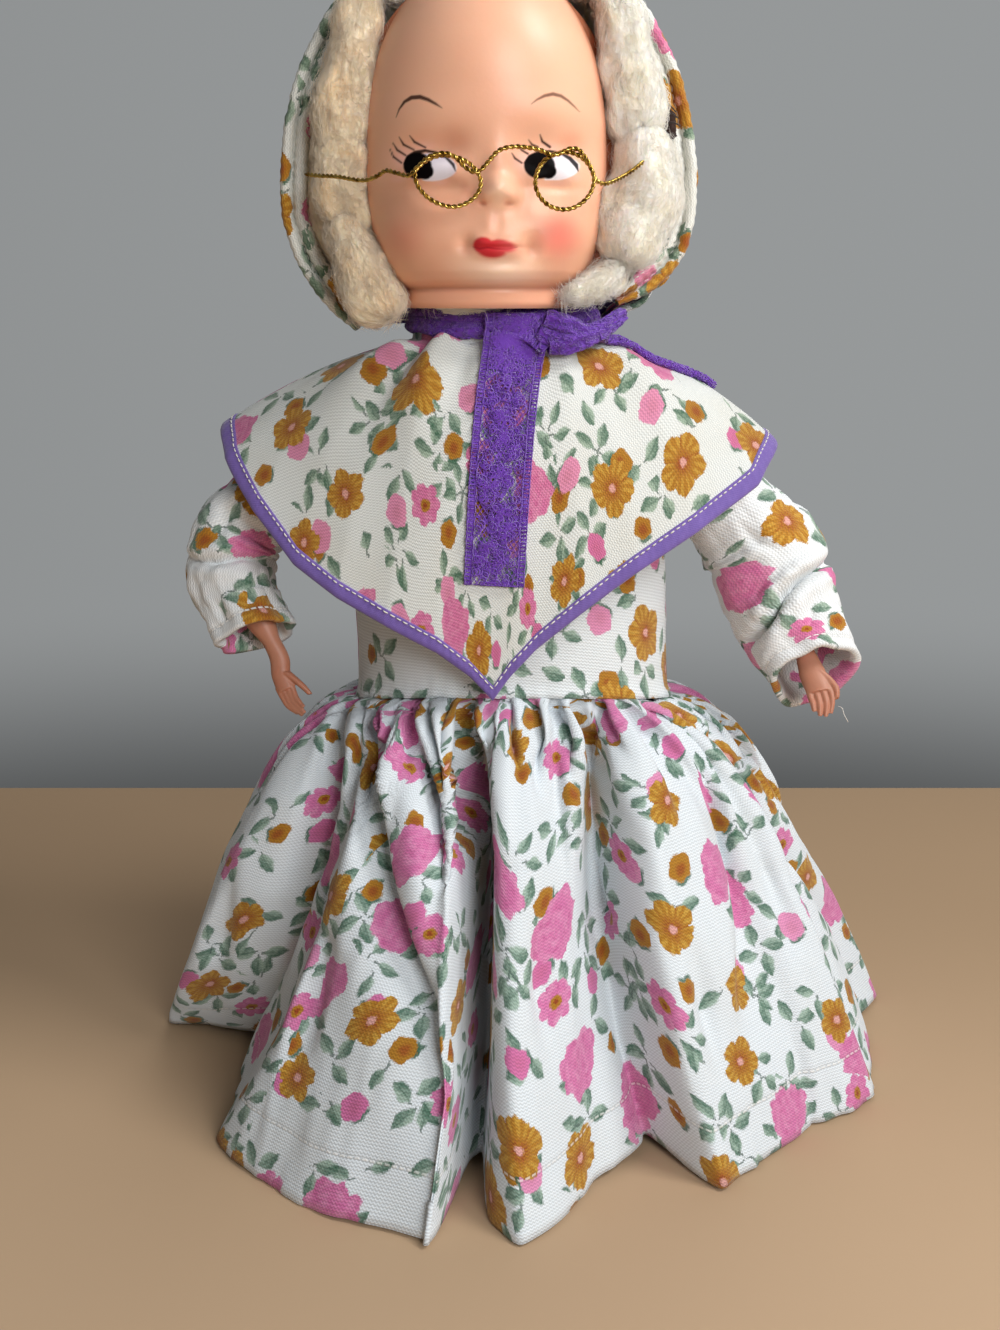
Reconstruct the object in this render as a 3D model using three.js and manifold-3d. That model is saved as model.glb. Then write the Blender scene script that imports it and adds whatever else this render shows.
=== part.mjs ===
import * as THREE from 'three';
import { mergeVertices } from 'three/addons/utils/BufferGeometryUtils.js';
import Module from 'manifold-3d';

const wasm = await Module();
wasm.setup();

// Cloth doll over a bottle body. Millimetres, +Z up, the doll faces -Y and
// stands on z = 0. "left" and "right" are the doll's own, so left is +X.

// ---- driving dimensions -------------------------------------------------
const AXIS_X = 1;              // body axis, also the head's turning axis
const GAP = 0.45;              // clearance between neighbouring pieces
const CLOTH = 1.5;             // modelled thickness of a cloth layer

const BOTTLE_R = 44;           // outside radius of the bottle body
const BOTTLE_WALL = 1.3;
const BOTTLE_NECK_R = 14;
const BOTTLE_TOP = 262;
const BALLAST_TOP = 68;

const WAIST_Z = 121;
const WAIST_CX = 5;            // the dress sits a little to the doll's left
const WAIST_A = 52.5;          // half width of the bodice
const WAIST_B = 48.5;          // half depth of the bodice
const WAIST_RISE = 12;         // how much higher the waist seam runs at the front

const HEAD_CX = -4;
const HEAD_CY = -10;
const HEAD_CZ = 298;
const HEAD_HALF = 49;          // half the head's height
// head section by height: z, half width, depth in front of HEAD_CY
const HEAD = [
  [249, 10, 10], [251, 17, 20], [254, 24.5, 27], [258, 29.5, 31.5], [264, 33, 34],
  [272, 35.4, 35], [282, 36.3, 36.3], [292, 36.3, 37.6], [302, 35.8, 38.6],
  [312, 34, 38.8], [320, 31.8, 37.6], [328, 28, 34.5], [335, 23, 30], [341, 17, 23],
  [345, 10, 14.5], [347, 4, 6],
];
const MASK_WALL = 1.5;

const SHOULDER_R = new THREE.Vector3(-49, 0, 213);
const SHOULDER_L = new THREE.Vector3(52, 0, 212);
const ARMHOLE_R = 17;

const WIRE_R = 0.9;
const SPEC_R = 0.8;

// skirt hem radius by azimuth in degrees (0 = front, + toward +X)
const HEM = [
  [-180, 124], [-168, 110], [-154, 127], [-138, 108], [-122, 125], [-108, 104],
  [-96, 117], [-86, 119], [-79, 92], [-70, 99], [-60, 108], [-47, 117],
  [-28, 124], [-19, 128], [-11, 132], [-7.5, 128], [-4.5, 102], [-2, 116],
  [3, 130], [9, 122], [15, 111], [20, 104], [25, 99], [28, 104], [32, 121],
  [45, 128], [54, 126], [63, 133], [73, 130], [86, 129], [95, 143], [106, 118],
  [119, 130], [132, 107], [146, 128], [160, 109], [171, 124],
];

// cape edge: azimuth, x, y, z
const CAPE_EDGE = [
  [-180, 0, 56, 138], [-163, -22, 53, 150], [-146, -43, 46, 163],
  [-126, -66, 36, 178], [-108, -84, 20, 198], [-93.5, -92.3, 0, 215],
  [-79, -87.5, -16, 201], [-66, -76.5, -29, 186], [-54, -63, -40, 171],
  [-43, -49, -47, 162], [-31, -33.5, -52, 154], [-19, -19, -54, 146.5],
  [-8, -9, -54.5, 139], [-1, -2.2, -55, 131.5], [6, 3, -54.5, 139],
  [15, 11, -54, 147.5], [28, 25.5, -53, 159], [42, 42, -49, 170.5],
  [56, 60, -42, 181.5], [72, 80, -27, 194], [88, 92.4, -4, 208.5],
  [106, 82, 19, 196], [124, 65, 35, 180], [144, 43, 46, 165],
  [162, 21, 53, 150],
];

// bonnet outline: z, half width, depth behind y = 0
const BONNET = [
  [243, 42, 36], [250, 52, 41], [262, 60, 47], [274, 64, 52], [290, 64, 55],
  [305, 62, 55], [320, 57, 51], [335, 48, 44], [347, 37, 34], [355, 26, 24],
  [360, 14, 13],
];
const BONNET_CX = -3.5;
const BONNET_TOP = 362;
const BRIM_BACK = 2.2;         // y where the brim ends and the crown starts
const BRIM_FRONT = -9;

// ---- helpers ------------------------------------------------------------
const V = (x, y, z) => new THREE.Vector3(x, y, z);
const D2R = Math.PI / 180;

function waistZ(a) {
  return WAIST_Z + WAIST_RISE * Math.pow(Math.max(0, Math.cos(a)), 1.2);
}

function table(rows, x, col = 1) {
  if (x <= rows[0][0]) return rows[0][col];
  for (let i = 1; i < rows.length; i++) {
    if (x <= rows[i][0]) {
      const t = (x - rows[i - 1][0]) / (rows[i][0] - rows[i - 1][0]);
      return rows[i - 1][col] + t * (rows[i][col] - rows[i - 1][col]);
    }
  }
  return rows[rows.length - 1][col];
}

function tableRound(rows, deg, col = 1) {
  let d = ((deg + 180) % 360 + 360) % 360 - 180;
  const wrap = rows.concat([[rows[0][0] + 360, ...rows[0].slice(1)]]);
  return table(wrap, d, col);
}

// closed solid from rings of equal length; ring loop always closes, the rings
// either end in flat fans ('caps') or run round to the first ring ('loop')
function gridSolid(rings, mode = 'caps') {
  const n = rings[0].length, m = rings.length;
  const pos = [], idx = [];
  for (const ring of rings) for (const p of ring) pos.push(p.x, p.y, p.z);
  const at = (i, j) => i * n + (j % n);
  const spans = mode === 'loop' ? m : m - 1;
  for (let i = 0; i < spans; i++) {
    const k = (i + 1) % m;
    for (let j = 0; j < n; j++) {
      idx.push(at(i, j), at(k, j), at(k, j + 1), at(i, j), at(k, j + 1), at(i, j + 1));
    }
  }
  if (mode === 'caps') {
    for (const end of [0, m - 1]) {
      const c = V(0, 0, 0);
      for (const p of rings[end]) c.add(p);
      c.multiplyScalar(1 / n);
      const ci = pos.length / 3;
      pos.push(c.x, c.y, c.z);
      for (let j = 0; j < n; j++) {
        if (end === 0) idx.push(ci, at(0, j), at(0, j + 1));
        else idx.push(ci, at(end, j + 1), at(end, j));
      }
    }
  }
  let vol = 0;
  for (let t = 0; t < idx.length; t += 3) {
    const [a, b, c] = [idx[t], idx[t + 1], idx[t + 2]].map((q) => V(pos[3 * q], pos[3 * q + 1], pos[3 * q + 2]));
    vol += a.dot(b.cross(c));
  }
  if (vol < 0) {
    for (let t = 0; t < idx.length; t += 3) [idx[t + 1], idx[t + 2]] = [idx[t + 2], idx[t + 1]];
  }
  const g = new THREE.BufferGeometry();
  g.setAttribute('position', new THREE.Float32BufferAttribute(pos, 3));
  g.setIndex(idx);
  return g;
}

function solid(geo) {
  const g0 = geo.clone();
  g0.deleteAttribute('normal');
  g0.deleteAttribute('uv');
  const g = mergeVertices(g0, 1e-5);
  return new wasm.Manifold(new wasm.Mesh({
    numProp: 3,
    vertProperties: new Float32Array(g.attributes.position.array),
    triVerts: new Uint32Array(g.index.array),
  }));
}

function geometry(man) {
  const mesh = man.getMesh();
  const g = new THREE.BufferGeometry();
  const n = mesh.numProp, vp = mesh.vertProperties;
  const pos = new Float32Array((vp.length / n) * 3);
  for (let i = 0; i < vp.length / n; i++) {
    for (let k = 0; k < 3; k++) pos[3 * i + k] = vp[n * i + k];
  }
  g.setAttribute('position', new THREE.BufferAttribute(pos, 3));
  g.setIndex(new THREE.BufferAttribute(new Uint32Array(mesh.triVerts), 1));
  return g;
}

// keeps the largest body of a cut, so that a node stays one solid
function largest(man) {
  const parts = man.decompose();
  let best = parts[0], bestV = -1;
  for (const p of parts) {
    const v = p.volume();
    if (v > bestV) { best = p; bestV = v; }
  }
  return best;
}

function ellipseRing(cx, cy, z, a, b, n, bBack = b) {
  const ring = [];
  for (let j = 0; j < n; j++) {
    const t = (j / n) * 2 * Math.PI;
    const y = -Math.cos(t);
    ring.push(V(cx + a * Math.sin(t), cy + (y > 0 ? bBack : b) * y, z));
  }
  return ring;
}

function frameAt(T, ref) {
  const u = ref.clone().addScaledVector(T, -ref.dot(T)).normalize();
  const v = T.clone().cross(u).normalize();
  return [u, v];
}

// rings along a path; radii is a list of [along-ref, across] pairs per point
function pathRings(pts, radii, n, ref = V(0, 1, 0), endNormals = {}) {
  const rings = [];
  for (let i = 0; i < pts.length; i++) {
    let T = pts[Math.min(i + 1, pts.length - 1)].clone().sub(pts[Math.max(i - 1, 0)]).normalize();
    if (endNormals[i]) T = endNormals[i].clone().normalize();
    const [u, v] = frameAt(T, ref);
    const [ru, rv] = Array.isArray(radii[i]) ? radii[i] : [radii[i], radii[i]];
    const ring = [];
    for (let j = 0; j < n; j++) {
      const t = (j / n) * 2 * Math.PI;
      ring.push(pts[i].clone().addScaledVector(u, ru * Math.cos(t)).addScaledVector(v, rv * Math.sin(t)));
    }
    rings.push(ring);
  }
  return rings;
}

function resample(pts, count) {
  return new THREE.CatmullRomCurve3(pts, false, 'centripetal').getSpacedPoints(count - 1);
}

function wire(pts, r, n = 6, count = 20) {
  const path = resample(pts, count);
  // a twist-free frame along the wire
  let ref = V(0, 1, 0);
  const rings = [];
  for (let i = 0; i < path.length; i++) {
    const T = path[Math.min(i + 1, path.length - 1)].clone().sub(path[Math.max(i - 1, 0)]).normalize();
    if (Math.abs(ref.dot(T)) > 0.95) ref = V(1, 0, 0);
    const [u, v] = frameAt(T, ref);
    ref = u.clone();
    const ring = [];
    for (let j = 0; j < n; j++) {
      const t = (j / n) * 2 * Math.PI;
      ring.push(path[i].clone().addScaledVector(u, r * Math.cos(t)).addScaledVector(v, r * Math.sin(t)));
    }
    rings.push(ring);
  }
  return gridSolid(rings);
}

// flat strip: centre points, side directions and up directions per station
function strip(stations) {
  return gridSolid(stations.map(({ p, side, up, w, t }) => [
    p.clone().addScaledVector(side, -w / 2).addScaledVector(up, -t / 2),
    p.clone().addScaledVector(side, w / 2).addScaledVector(up, -t / 2),
    p.clone().addScaledVector(side, w / 2).addScaledVector(up, t / 2),
    p.clone().addScaledVector(side, -w / 2).addScaledVector(up, t / 2),
  ]));
}

function blob(pts, radii, n = 12, count = 6, squash = 1) {
  const path = resample(pts, count);
  const rr = path.map((_, i) => table(radii.map((r, k) => [k / (radii.length - 1), r]), i / (count - 1)));
  const a = path[0], b = path[count - 1];
  const Ta = path[1].clone().sub(a).normalize(), Tb = b.clone().sub(path[count - 2]).normalize();
  const pts2 = [a.clone().addScaledVector(Ta, -0.85 * rr[0]), a.clone().addScaledVector(Ta, -0.5 * rr[0]), ...path,
    b.clone().addScaledVector(Tb, 0.5 * rr[count - 1]), b.clone().addScaledVector(Tb, 0.85 * rr[count - 1])];
  const r2 = [0.5 * rr[0], 0.86 * rr[0], ...rr, 0.86 * rr[count - 1], 0.5 * rr[count - 1]];
  return gridSolid(pathRings(pts2, r2.map((r) => [r * squash, r]), n));
}

const group = new THREE.Group();
group.name = 'grandma_doll';
function add(name, geo, color, roughness, metalness = 0) {
  const g = geo.toNonIndexed();
  g.computeVertexNormals();
  const mesh = new THREE.Mesh(g, new THREE.MeshStandardMaterial({ color, roughness, metalness }));
  mesh.name = name;
  group.add(mesh);
  return mesh;
}

const FABRIC = 0xe9e4da, VIOLET = 0x5a2b9c, BINDING = 0x7f63b8, HAIR = 0xefe3c8;
const SKIN = 0xe8b391, GOLD = 0xc9a24a, STEEL = 0x8d8f92, WADDING = 0xf2efe8;

// ---- body: bottle, ballast, stopper -------------------------------------
function lathe(profile, n, cx = AXIS_X, cy = 0) {
  return gridSolid(profile.map(([r, z]) => ellipseRing(cx, cy, z, r, r, n)));
}
const bottleOut = [[12, 0], [40.5, 0], [BOTTLE_R, 3], [BOTTLE_R, 150], [42, 168], [35, 185], [24, 197], [BOTTLE_NECK_R, 203], [BOTTLE_NECK_R, BOTTLE_TOP]];
const w = BOTTLE_WALL;
const bottleIn = [[BOTTLE_NECK_R - w, BOTTLE_TOP], [BOTTLE_NECK_R - w, 202.2], [23.4, 195.6], [34, 184], [42 - w - 0.1, 167.4], [BOTTLE_R - w, 149.7], [BOTTLE_R - w, 3.6], [39.8, w], [12, w]];
add('body_bottle', lathe([...bottleOut, ...bottleIn], 24), 0xe6e2d6, 0.45);
add('ballast_sand', lathe([[12, w + GAP], [39.5, w + GAP], [BOTTLE_R - w - GAP, 4.2], [BOTTLE_R - w - GAP, BALLAST_TOP - 3], [20, BALLAST_TOP]], 20), 0xb9a47c, 0.95);
add('neck_stopper', lathe([[6, 246], [BOTTLE_NECK_R - w - GAP - 0.4, 246], [BOTTLE_NECK_R - w - GAP, BOTTLE_TOP - 0.5], [6, BOTTLE_TOP - 0.5]], 14), 0xb98c5d, 0.9);

// ---- shoulder wire, padding, bodice -------------------------------------
const axisR = V(-27, 0, -25).normalize();   // shoulder to elbow, doll's right
const axisL = V(25, 0, -26).normalize();    // shoulder to elbow, doll's left

const loopPts = [SHOULDER_R.clone().addScaledVector(axisR, -2), V(-38, 0, 214), V(-26, -2, 208)];
for (let k = 0; k <= 10; k++) {
  const t = (-115 + k * 53) * D2R;
  loopPts.push(V(AXIS_X + 16.9 * Math.sin(t), -16.9 * Math.cos(t), 205.5 + k * 0.46));
}
loopPts.push(V(28, -7, 211.5), V(40, -1, 214), SHOULDER_L.clone().addScaledVector(axisL, -2));
const loopGeo = wire(loopPts, WIRE_R, 5, 36);
add('arm_wire_yoke', loopGeo, STEEL, 0.4, 0.9);
const loopCut = solid(wire(loopPts, WIRE_R + 0.8, 5, 36));

const TORSO = [
  // z, half width, half depth, of the bodice's outside
  [WAIST_Z + 0.4, WAIST_A, WAIST_B, WAIST_CX], [150, 52, 48.5, 4], [176, 51.5, 47.5, 3],
  [198, 51, 44, 2], [212, 50, 38, 1.5], [222, 45, 31, 1.5], [230, 37, 26, 1.5], [236, 29, 23, 1.5], [242, 23.5, 22, 1.5],
];
function torsoRings(inset, zs, n) {
  return zs.map((z) => ellipseRing(table(TORSO, z, 3), 0, z,
    table(TORSO, z, 1) - inset, table(TORSO, z, 2) - inset, n));
}
function armholes(man, r) {
  let out = man;
  for (const [s, a] of [[SHOULDER_R, axisR], [SHOULDER_L, axisL]]) {
    out = out.subtract(solid(gridSolid(pathRings([s.clone().addScaledVector(a, -6), s.clone().addScaledVector(a, 60)], [r, r], 18))));
  }
  return out;
}

{
  const zs = TORSO.map((t) => t[0]);
  const outer = torsoRings(0, zs, 26);
  const inner = torsoRings(CLOTH, zs, 26).reverse();
  for (const ring of [outer[0], inner[inner.length - 1]]) {
    ring.forEach((p, j) => { p.z = waistZ((j / 26) * 2 * Math.PI) + 0.4; });
  }
  const shell = gridSolid([...outer, ...inner], 'loop');
  add('dress_bodice', geometry(largest(armholes(solid(shell), ARMHOLE_R))), FABRIC, 0.9);
}
{
  const zs = [136, 150, 176, 198, 211, 220, 227, 233, 238.5];
  const outer = torsoRings(CLOTH + GAP + 0.5, zs, 22);
  const inner = [];
  for (const [r, z] of [[BOTTLE_NECK_R + GAP, 238.5], [BOTTLE_NECK_R + GAP, 203.6], [24.6, 197.4], [35.6, 185.4], [42.5, 168.3], [BOTTLE_R + GAP, 150.2], [BOTTLE_R + GAP, 136]]) {
    inner.push(ellipseRing(AXIS_X, 0, z, r / Math.cos(Math.PI / 22), r / Math.cos(Math.PI / 22), 22));
  }
  let pad = solid(gridSolid([...outer, ...inner], 'loop')).subtract(loopCut);
  pad = armholes(pad, ARMHOLE_R + 0.3);
  add('torso_padding', geometry(largest(pad)), WADDING, 1.0);
}

// ---- skirt ---------------------------------------------------------------
function skirtPoint(deg, t, inset) {
  // t = 0 at the waist, 1 at the hem
  const a = deg * D2R;
  const hem = tableRound(HEM, deg);
  const side = Math.pow(Math.abs(Math.sin(a)), 1.2);
  const back = Math.max(0, -Math.cos(a));
  const pow = 0.74 - 0.22 * Math.max(side, 0.8 * back);
  const s = Math.pow(t, pow);
  const wa = WAIST_A - 0.6, wb = WAIST_B - 0.6;
  const rw = 1 / Math.sqrt((Math.sin(a) / wa) ** 2 + (Math.cos(a) / wb) ** 2);
  const fold = hem - 120;
  const r = rw + (120 - rw) * s + fold * Math.pow(t, 0.9) - inset;
  const cx = WAIST_CX * (1 - s);
  return V(cx + r * Math.sin(a), -r * Math.cos(a), (waistZ(a) - 0.4) * (1 - t));
}
{
  const degs = [];
  for (let k = 0; k < 76; k++) degs.push(-180 + (k * 360) / 76);
  const ts = [0, 0.04, 0.13, 0.32, 0.64, 1];
  const outer = ts.map((t) => degs.map((d) => skirtPoint(d, t, 0)));
  const inner = ts.map((t) => degs.map((d) => skirtPoint(d, t, 1.9))).reverse();
  add('dress_skirt', gridSolid([...outer, ...inner], 'loop'), FABRIC, 0.9);
}

// ---- cape, binding, ribbons ----------------------------------------------
const NECK_A = 27.5, NECK_B = 25.5;
function capeEdge(deg) {
  return V(tableRound(CAPE_EDGE, deg, 1), tableRound(CAPE_EDGE, deg, 2), tableRound(CAPE_EDGE, deg, 3));
}
// cape surface point: t = 0 at the top of the neck, 1 at the edge
function capePoint(deg, t) {
  const a = deg * D2R;
  const n0 = V(AXIS_X + NECK_A * Math.sin(a), -NECK_B * Math.cos(a), 246.5);
  const n1 = V(AXIS_X + (NECK_A + 1) * Math.sin(a), -(NECK_B + 1) * Math.cos(a), 237.5);
  const e = capeEdge(deg);
  const front = Math.pow(Math.abs(Math.cos(a)), 2);
  const c1 = V(AXIS_X + 42 * Math.sin(a), -34 * Math.cos(a), 236);
  const c2 = V(n1.x * 0.3 + e.x * 0.7, 0, 0);
  c2.y = e.y * (0.55 + 0.42 * front);
  c2.z = 226 * (1 - front) + 208 * front;
  if (t < 0.08) return n0.lerp(n1, t / 0.08);
  const s = (t - 0.08) / 0.92, q = 1 - s;
  return V(0, 0, 0).addScaledVector(n1, q * q * q).addScaledVector(c1, 3 * q * q * s)
    .addScaledVector(c2, 3 * q * s * s).addScaledVector(e, s * s * s);
}
function capeNormal(deg, t) {
  const d = 0.01;
  const dt = capePoint(deg, Math.min(1, t + d)).sub(capePoint(deg, Math.max(0, t - d)));
  const da = capePoint(deg + 1, t).sub(capePoint(deg - 1, t));
  const n = dt.cross(da).normalize();
  const p = capePoint(deg, t);
  const out = V(p.x - AXIS_X, p.y, 20);
  return n.dot(out) < 0 ? n.negate() : n;
}
const capeDegs = [];
for (let k = 0; k < 48; k++) capeDegs.push(-181 + k * 7.5);
const BIND_W = 6.5;
function capeInsetT(deg, mm) {
  // t at the given distance in from the edge
  let t = 1, len = 0, prev = capePoint(deg, 1);
  while (len < mm && t > 0.2) {
    t -= 0.004;
    const p = capePoint(deg, t);
    len += p.distanceTo(prev);
    prev = p;
  }
  return t;
}
{
  const rows = [0, 0.08, 0.24, 0.46, 0.72, 1];
  const top = [], under = [];
  for (const f of rows) {
    const a = [], b = [];
    for (const d of capeDegs) {
      const t = f * capeInsetT(d, BIND_W + 2 * GAP);
      const p = capePoint(d, t), nn = capeNormal(d, t);
      a.push(p.clone().addScaledVector(nn, CLOTH / 2));
      b.push(p.clone().addScaledVector(nn, -CLOTH / 2));
    }
    top.push(a); under.push(b);
  }
  add('cape_collar', gridSolid([...top, ...under.reverse()], 'loop'), FABRIC, 0.9);
}
{
  const rings = [[], [], [], []];
  for (const d of capeDegs) {
    const ti = capeInsetT(d, BIND_W), tn = 1;
    const pi = capePoint(d, ti), pe = capePoint(d, tn), ni = capeNormal(d, ti), ne = capeNormal(d, 0.985);
    rings[0].push(pi.clone().addScaledVector(ni, 1.1));
    rings[1].push(pe.clone().addScaledVector(ne, 1.1));
    rings[2].push(pe.clone().addScaledVector(ne, -1.1));
    rings[3].push(pi.clone().addScaledVector(ni, -1.1));
  }
  add('cape_binding', gridSolid(rings, 'loop'), BINDING, 0.75);
}
{
  const rings = [[], [], [], []];
  for (let k = 0; k < 30; k++) {
    const a = (k * 12) * D2R, s = Math.sin(a), c = -Math.cos(a);
    const wob = 0.8 * Math.sin(3 * a + 1);
    rings[0].push(V(AXIS_X + (NECK_A + 3) * s, (NECK_B + 3) * c, 239.4 + 0.5 * wob));
    rings[1].push(V(AXIS_X + (NECK_A + 4.4) * s, (NECK_B + 4.4) * c, 239.4 + 0.5 * wob));
    rings[2].push(V(AXIS_X + (NECK_A + 3.4) * s, (NECK_B + 3.4) * c, 246.8 + 0.3 * wob));
    rings[3].push(V(AXIS_X + (NECK_A + 2) * s, (NECK_B + 2) * c, 246.8 + 0.3 * wob));
  }
  add('neck_ribbon', gridSolid(rings, 'loop'), VIOLET, 0.8);
}
{
  // front tail lies on the cape from the band to its cut end
  const st = [];
  for (let k = 0; k <= 10; k++) {
    const f = k / 10;
    const t = 0.15 + f * 0.68;
    const p = capePoint(2 - 3 * f, t), nn = capeNormal(1, t);
    p.x = 5 - 6.5 * f;
    const lift = 1.9 + 2.2 * (1 - f) * (1 - f);
    st.push({ p: p.addScaledVector(nn, lift), side: V(1, 0, 0), up: nn.clone().setX(0).normalize(), w: 19, t: 1.2 });
  }
  add('ribbon_tail_front', strip(st), VIOLET, 0.8);
}
{
  // folded side tail over the doll's left shoulder
  const st = [];
  for (let k = 0; k <= 8; k++) {
    const f = k / 8;
    const d = 58 + 32 * f;
    const t = 0.18 + 0.45 * f;
    const p = capePoint(d, t), nn = capeNormal(d, t);
    const q = capePoint(d + 2, t + 0.03);
    const T = q.sub(p).normalize();
    st.push({ p: p.clone().addScaledVector(nn, 2.4), side: T.clone().cross(nn).normalize(), up: nn, w: 4, t: 1.4 });
  }
  add('ribbon_tail_side', strip(st), VIOLET, 0.8);
}
{
  add('ribbon_knot', blob([V(26.5, -25.8, 242.5), V(30.5, -22, 241.5)], [3.2, 3.2], 10, 3), VIOLET, 0.8);
}

// ---- arms ------------------------------------------------------------------
const ARM = {
  right: {
    s: SHOULDER_R, a: axisR,
    c: [SHOULDER_R, V(-62, 0, 201), V(-76, 0, 188), V(-87, -1, 175), V(-88.5, -5, 163), V(-84.5, -11, 153), V(-79.5, -17, 144.5)],
    endN: V(0.3, -0.5, -0.8),
    r: [15, 15.5, 16, 16.5, 15.5, 13.5, 12.5],
    wire: [V(-61, 0, 202), V(-76, 0, 188), V(-85, -2, 175), V(-86, -6, 165.5)],
    hand: [[V(-86, -8, 163), 4.4, 4.4], [V(-81.5, -12.5, 156), 4.6, 4.6], [V(-77, -16.5, 148.5), 4.1, 4.1], [V(-71.8, -20, 138.5), 3.4, 3.2],
      [V(-68.5, -22, 132.5), 3.1, 4.6], [V(-65.8, -24.5, 128), 2.7, 4.6], [V(-63.5, -26.5, 123.5), 2.0, 3.4], [V(-62.4, -27.5, 120.6), 1.2, 1.8]],
    thumb: [V(-67, -22, 132), V(-62.8, -21.5, 130), V(-60.6, -23, 126.5)],
  },
  left: {
    s: SHOULDER_L, a: axisL,
    c: [SHOULDER_L, V(64, 0, 199.5), V(76, 0, 187), V(87, -1, 173), V(91, -5, 158), V(96, -13, 145), V(102, -21, 132.5)],
    endN: V(0.3, -0.6, -0.74),
    r: [15, 16, 18.5, 21, 20, 16.5, 14.5],
    wire: [V(62, 0, 201.6), V(77, 0, 186), V(88, -2, 171), V(92, -6, 158.5)],
    hand: [[V(92.8, -7, 156.5), 4.4, 4.4], [V(95.5, -12, 149), 4.6, 4.6], [V(98, -17.5, 142), 4.1, 4.1], [V(100, -23, 135.5), 3.3, 3.4],
      [V(101, -26.5, 132), 3.2, 4.8], [V(102, -30, 128.8), 3.2, 5], [V(102.5, -33, 125.5), 3, 4.6], [V(102.3, -34, 122), 1.6, 2.8]],
    thumb: [V(103, -26, 133), V(107, -29, 130.5), V(107, -32.5, 127.5)],
  },
};
for (const side of ['right', 'left']) {
  const A = ARM[side];
  const path = resample(A.c, 8);
  const rr = path.map((_, i) => table(A.r.map((r, k) => [k / (A.r.length - 1), r]), i / 7));
  const ends = { 0: A.a, 7: A.endN };
  const outer = pathRings(path, rr, 16, V(0, 1, 0), ends);
  const inner = pathRings(path, rr.map((r) => r - CLOTH), 16, V(0, 1, 0), ends).reverse();
  add(`sleeve_${side}`, gridSolid([...outer, ...inner], 'loop'), FABRIC, 0.9);
  add(`arm_wire_${side}`, wire(A.wire, WIRE_R, 5, 9), STEEL, 0.4, 0.9);
  const pts = A.hand.map((h) => h[0]);
  let hand = solid(gridSolid(pathRings(pts, A.hand.map((h) => [h[1], h[2]]), 10, V(0, 1, 0))));
  hand = hand.add(solid(wire(A.thumb, 1.5, 6, 6)));
  add(`forearm_${side}`, geometry(largest(hand)), SKIN, 0.5);
}

// ---- head -------------------------------------------------------------------
function headRings(grow, zs, n, back = 1) {
  return zs.map((z) => {
    const a = table(HEAD, z, 1) + grow, b = table(HEAD, z, 2) + grow;
    const zz = HEAD_CZ + ((z - HEAD_CZ) * (HEAD_HALF + grow)) / HEAD_HALF;
    return ellipseRing(HEAD_CX, HEAD_CY, zz, a, b, n, b * back);
  });
}
const headZs = [249, 251, 254, 258, 264, 272, 286, 302, 314, 324, 333, 340, 345, 347];
const CORE_INSET = -(MASK_WALL + GAP + 0.15);
const BACK = 1.18;
function headSolid(grow, n = 24) {
  return solid(gridSolid(headRings(grow, headZs, n, BACK)));
}
function boxSolid(x0, x1, y0, y1, z0, z1) {
  const g = new THREE.BoxGeometry(x1 - x0, y1 - y0, z1 - z0);
  g.translate((x0 + x1) / 2, (y0 + y1) / 2, (z0 + z1) / 2);
  return solid(g);
}
const MASK_RIM_Y = -8;
{
  const socket = solid(lathe([[8, 240], [BOTTLE_NECK_R + GAP, 240], [BOTTLE_NECK_R + GAP, BOTTLE_TOP + 0.4], [8, BOTTLE_TOP + 0.4]], 24));
  add('head_core', geometry(largest(headSolid(CORE_INSET - 0.4, 20).subtract(socket))), 0xf0d9c2, 0.9);
}
{
  const outer = headSolid(0, 24);
  const inner = headSolid(-MASK_WALL, 24);
  const front = boxSolid(-80, 80, -90, MASK_RIM_Y, 200, 400);
  const neckNotch = solid(lathe([[6, 235], [BOTTLE_NECK_R + GAP + 0.6, 235], [BOTTLE_NECK_R + GAP + 0.6, BOTTLE_TOP + 0.6], [6, BOTTLE_TOP + 0.6]], 24));
  let mask = outer.subtract(inner).intersect(front).subtract(neckNotch);
  add('face_mask', geometry(largest(mask)), SKIN, 0.45);
}
const facePlus = headSolid(GAP + 0.35, 24);

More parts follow.
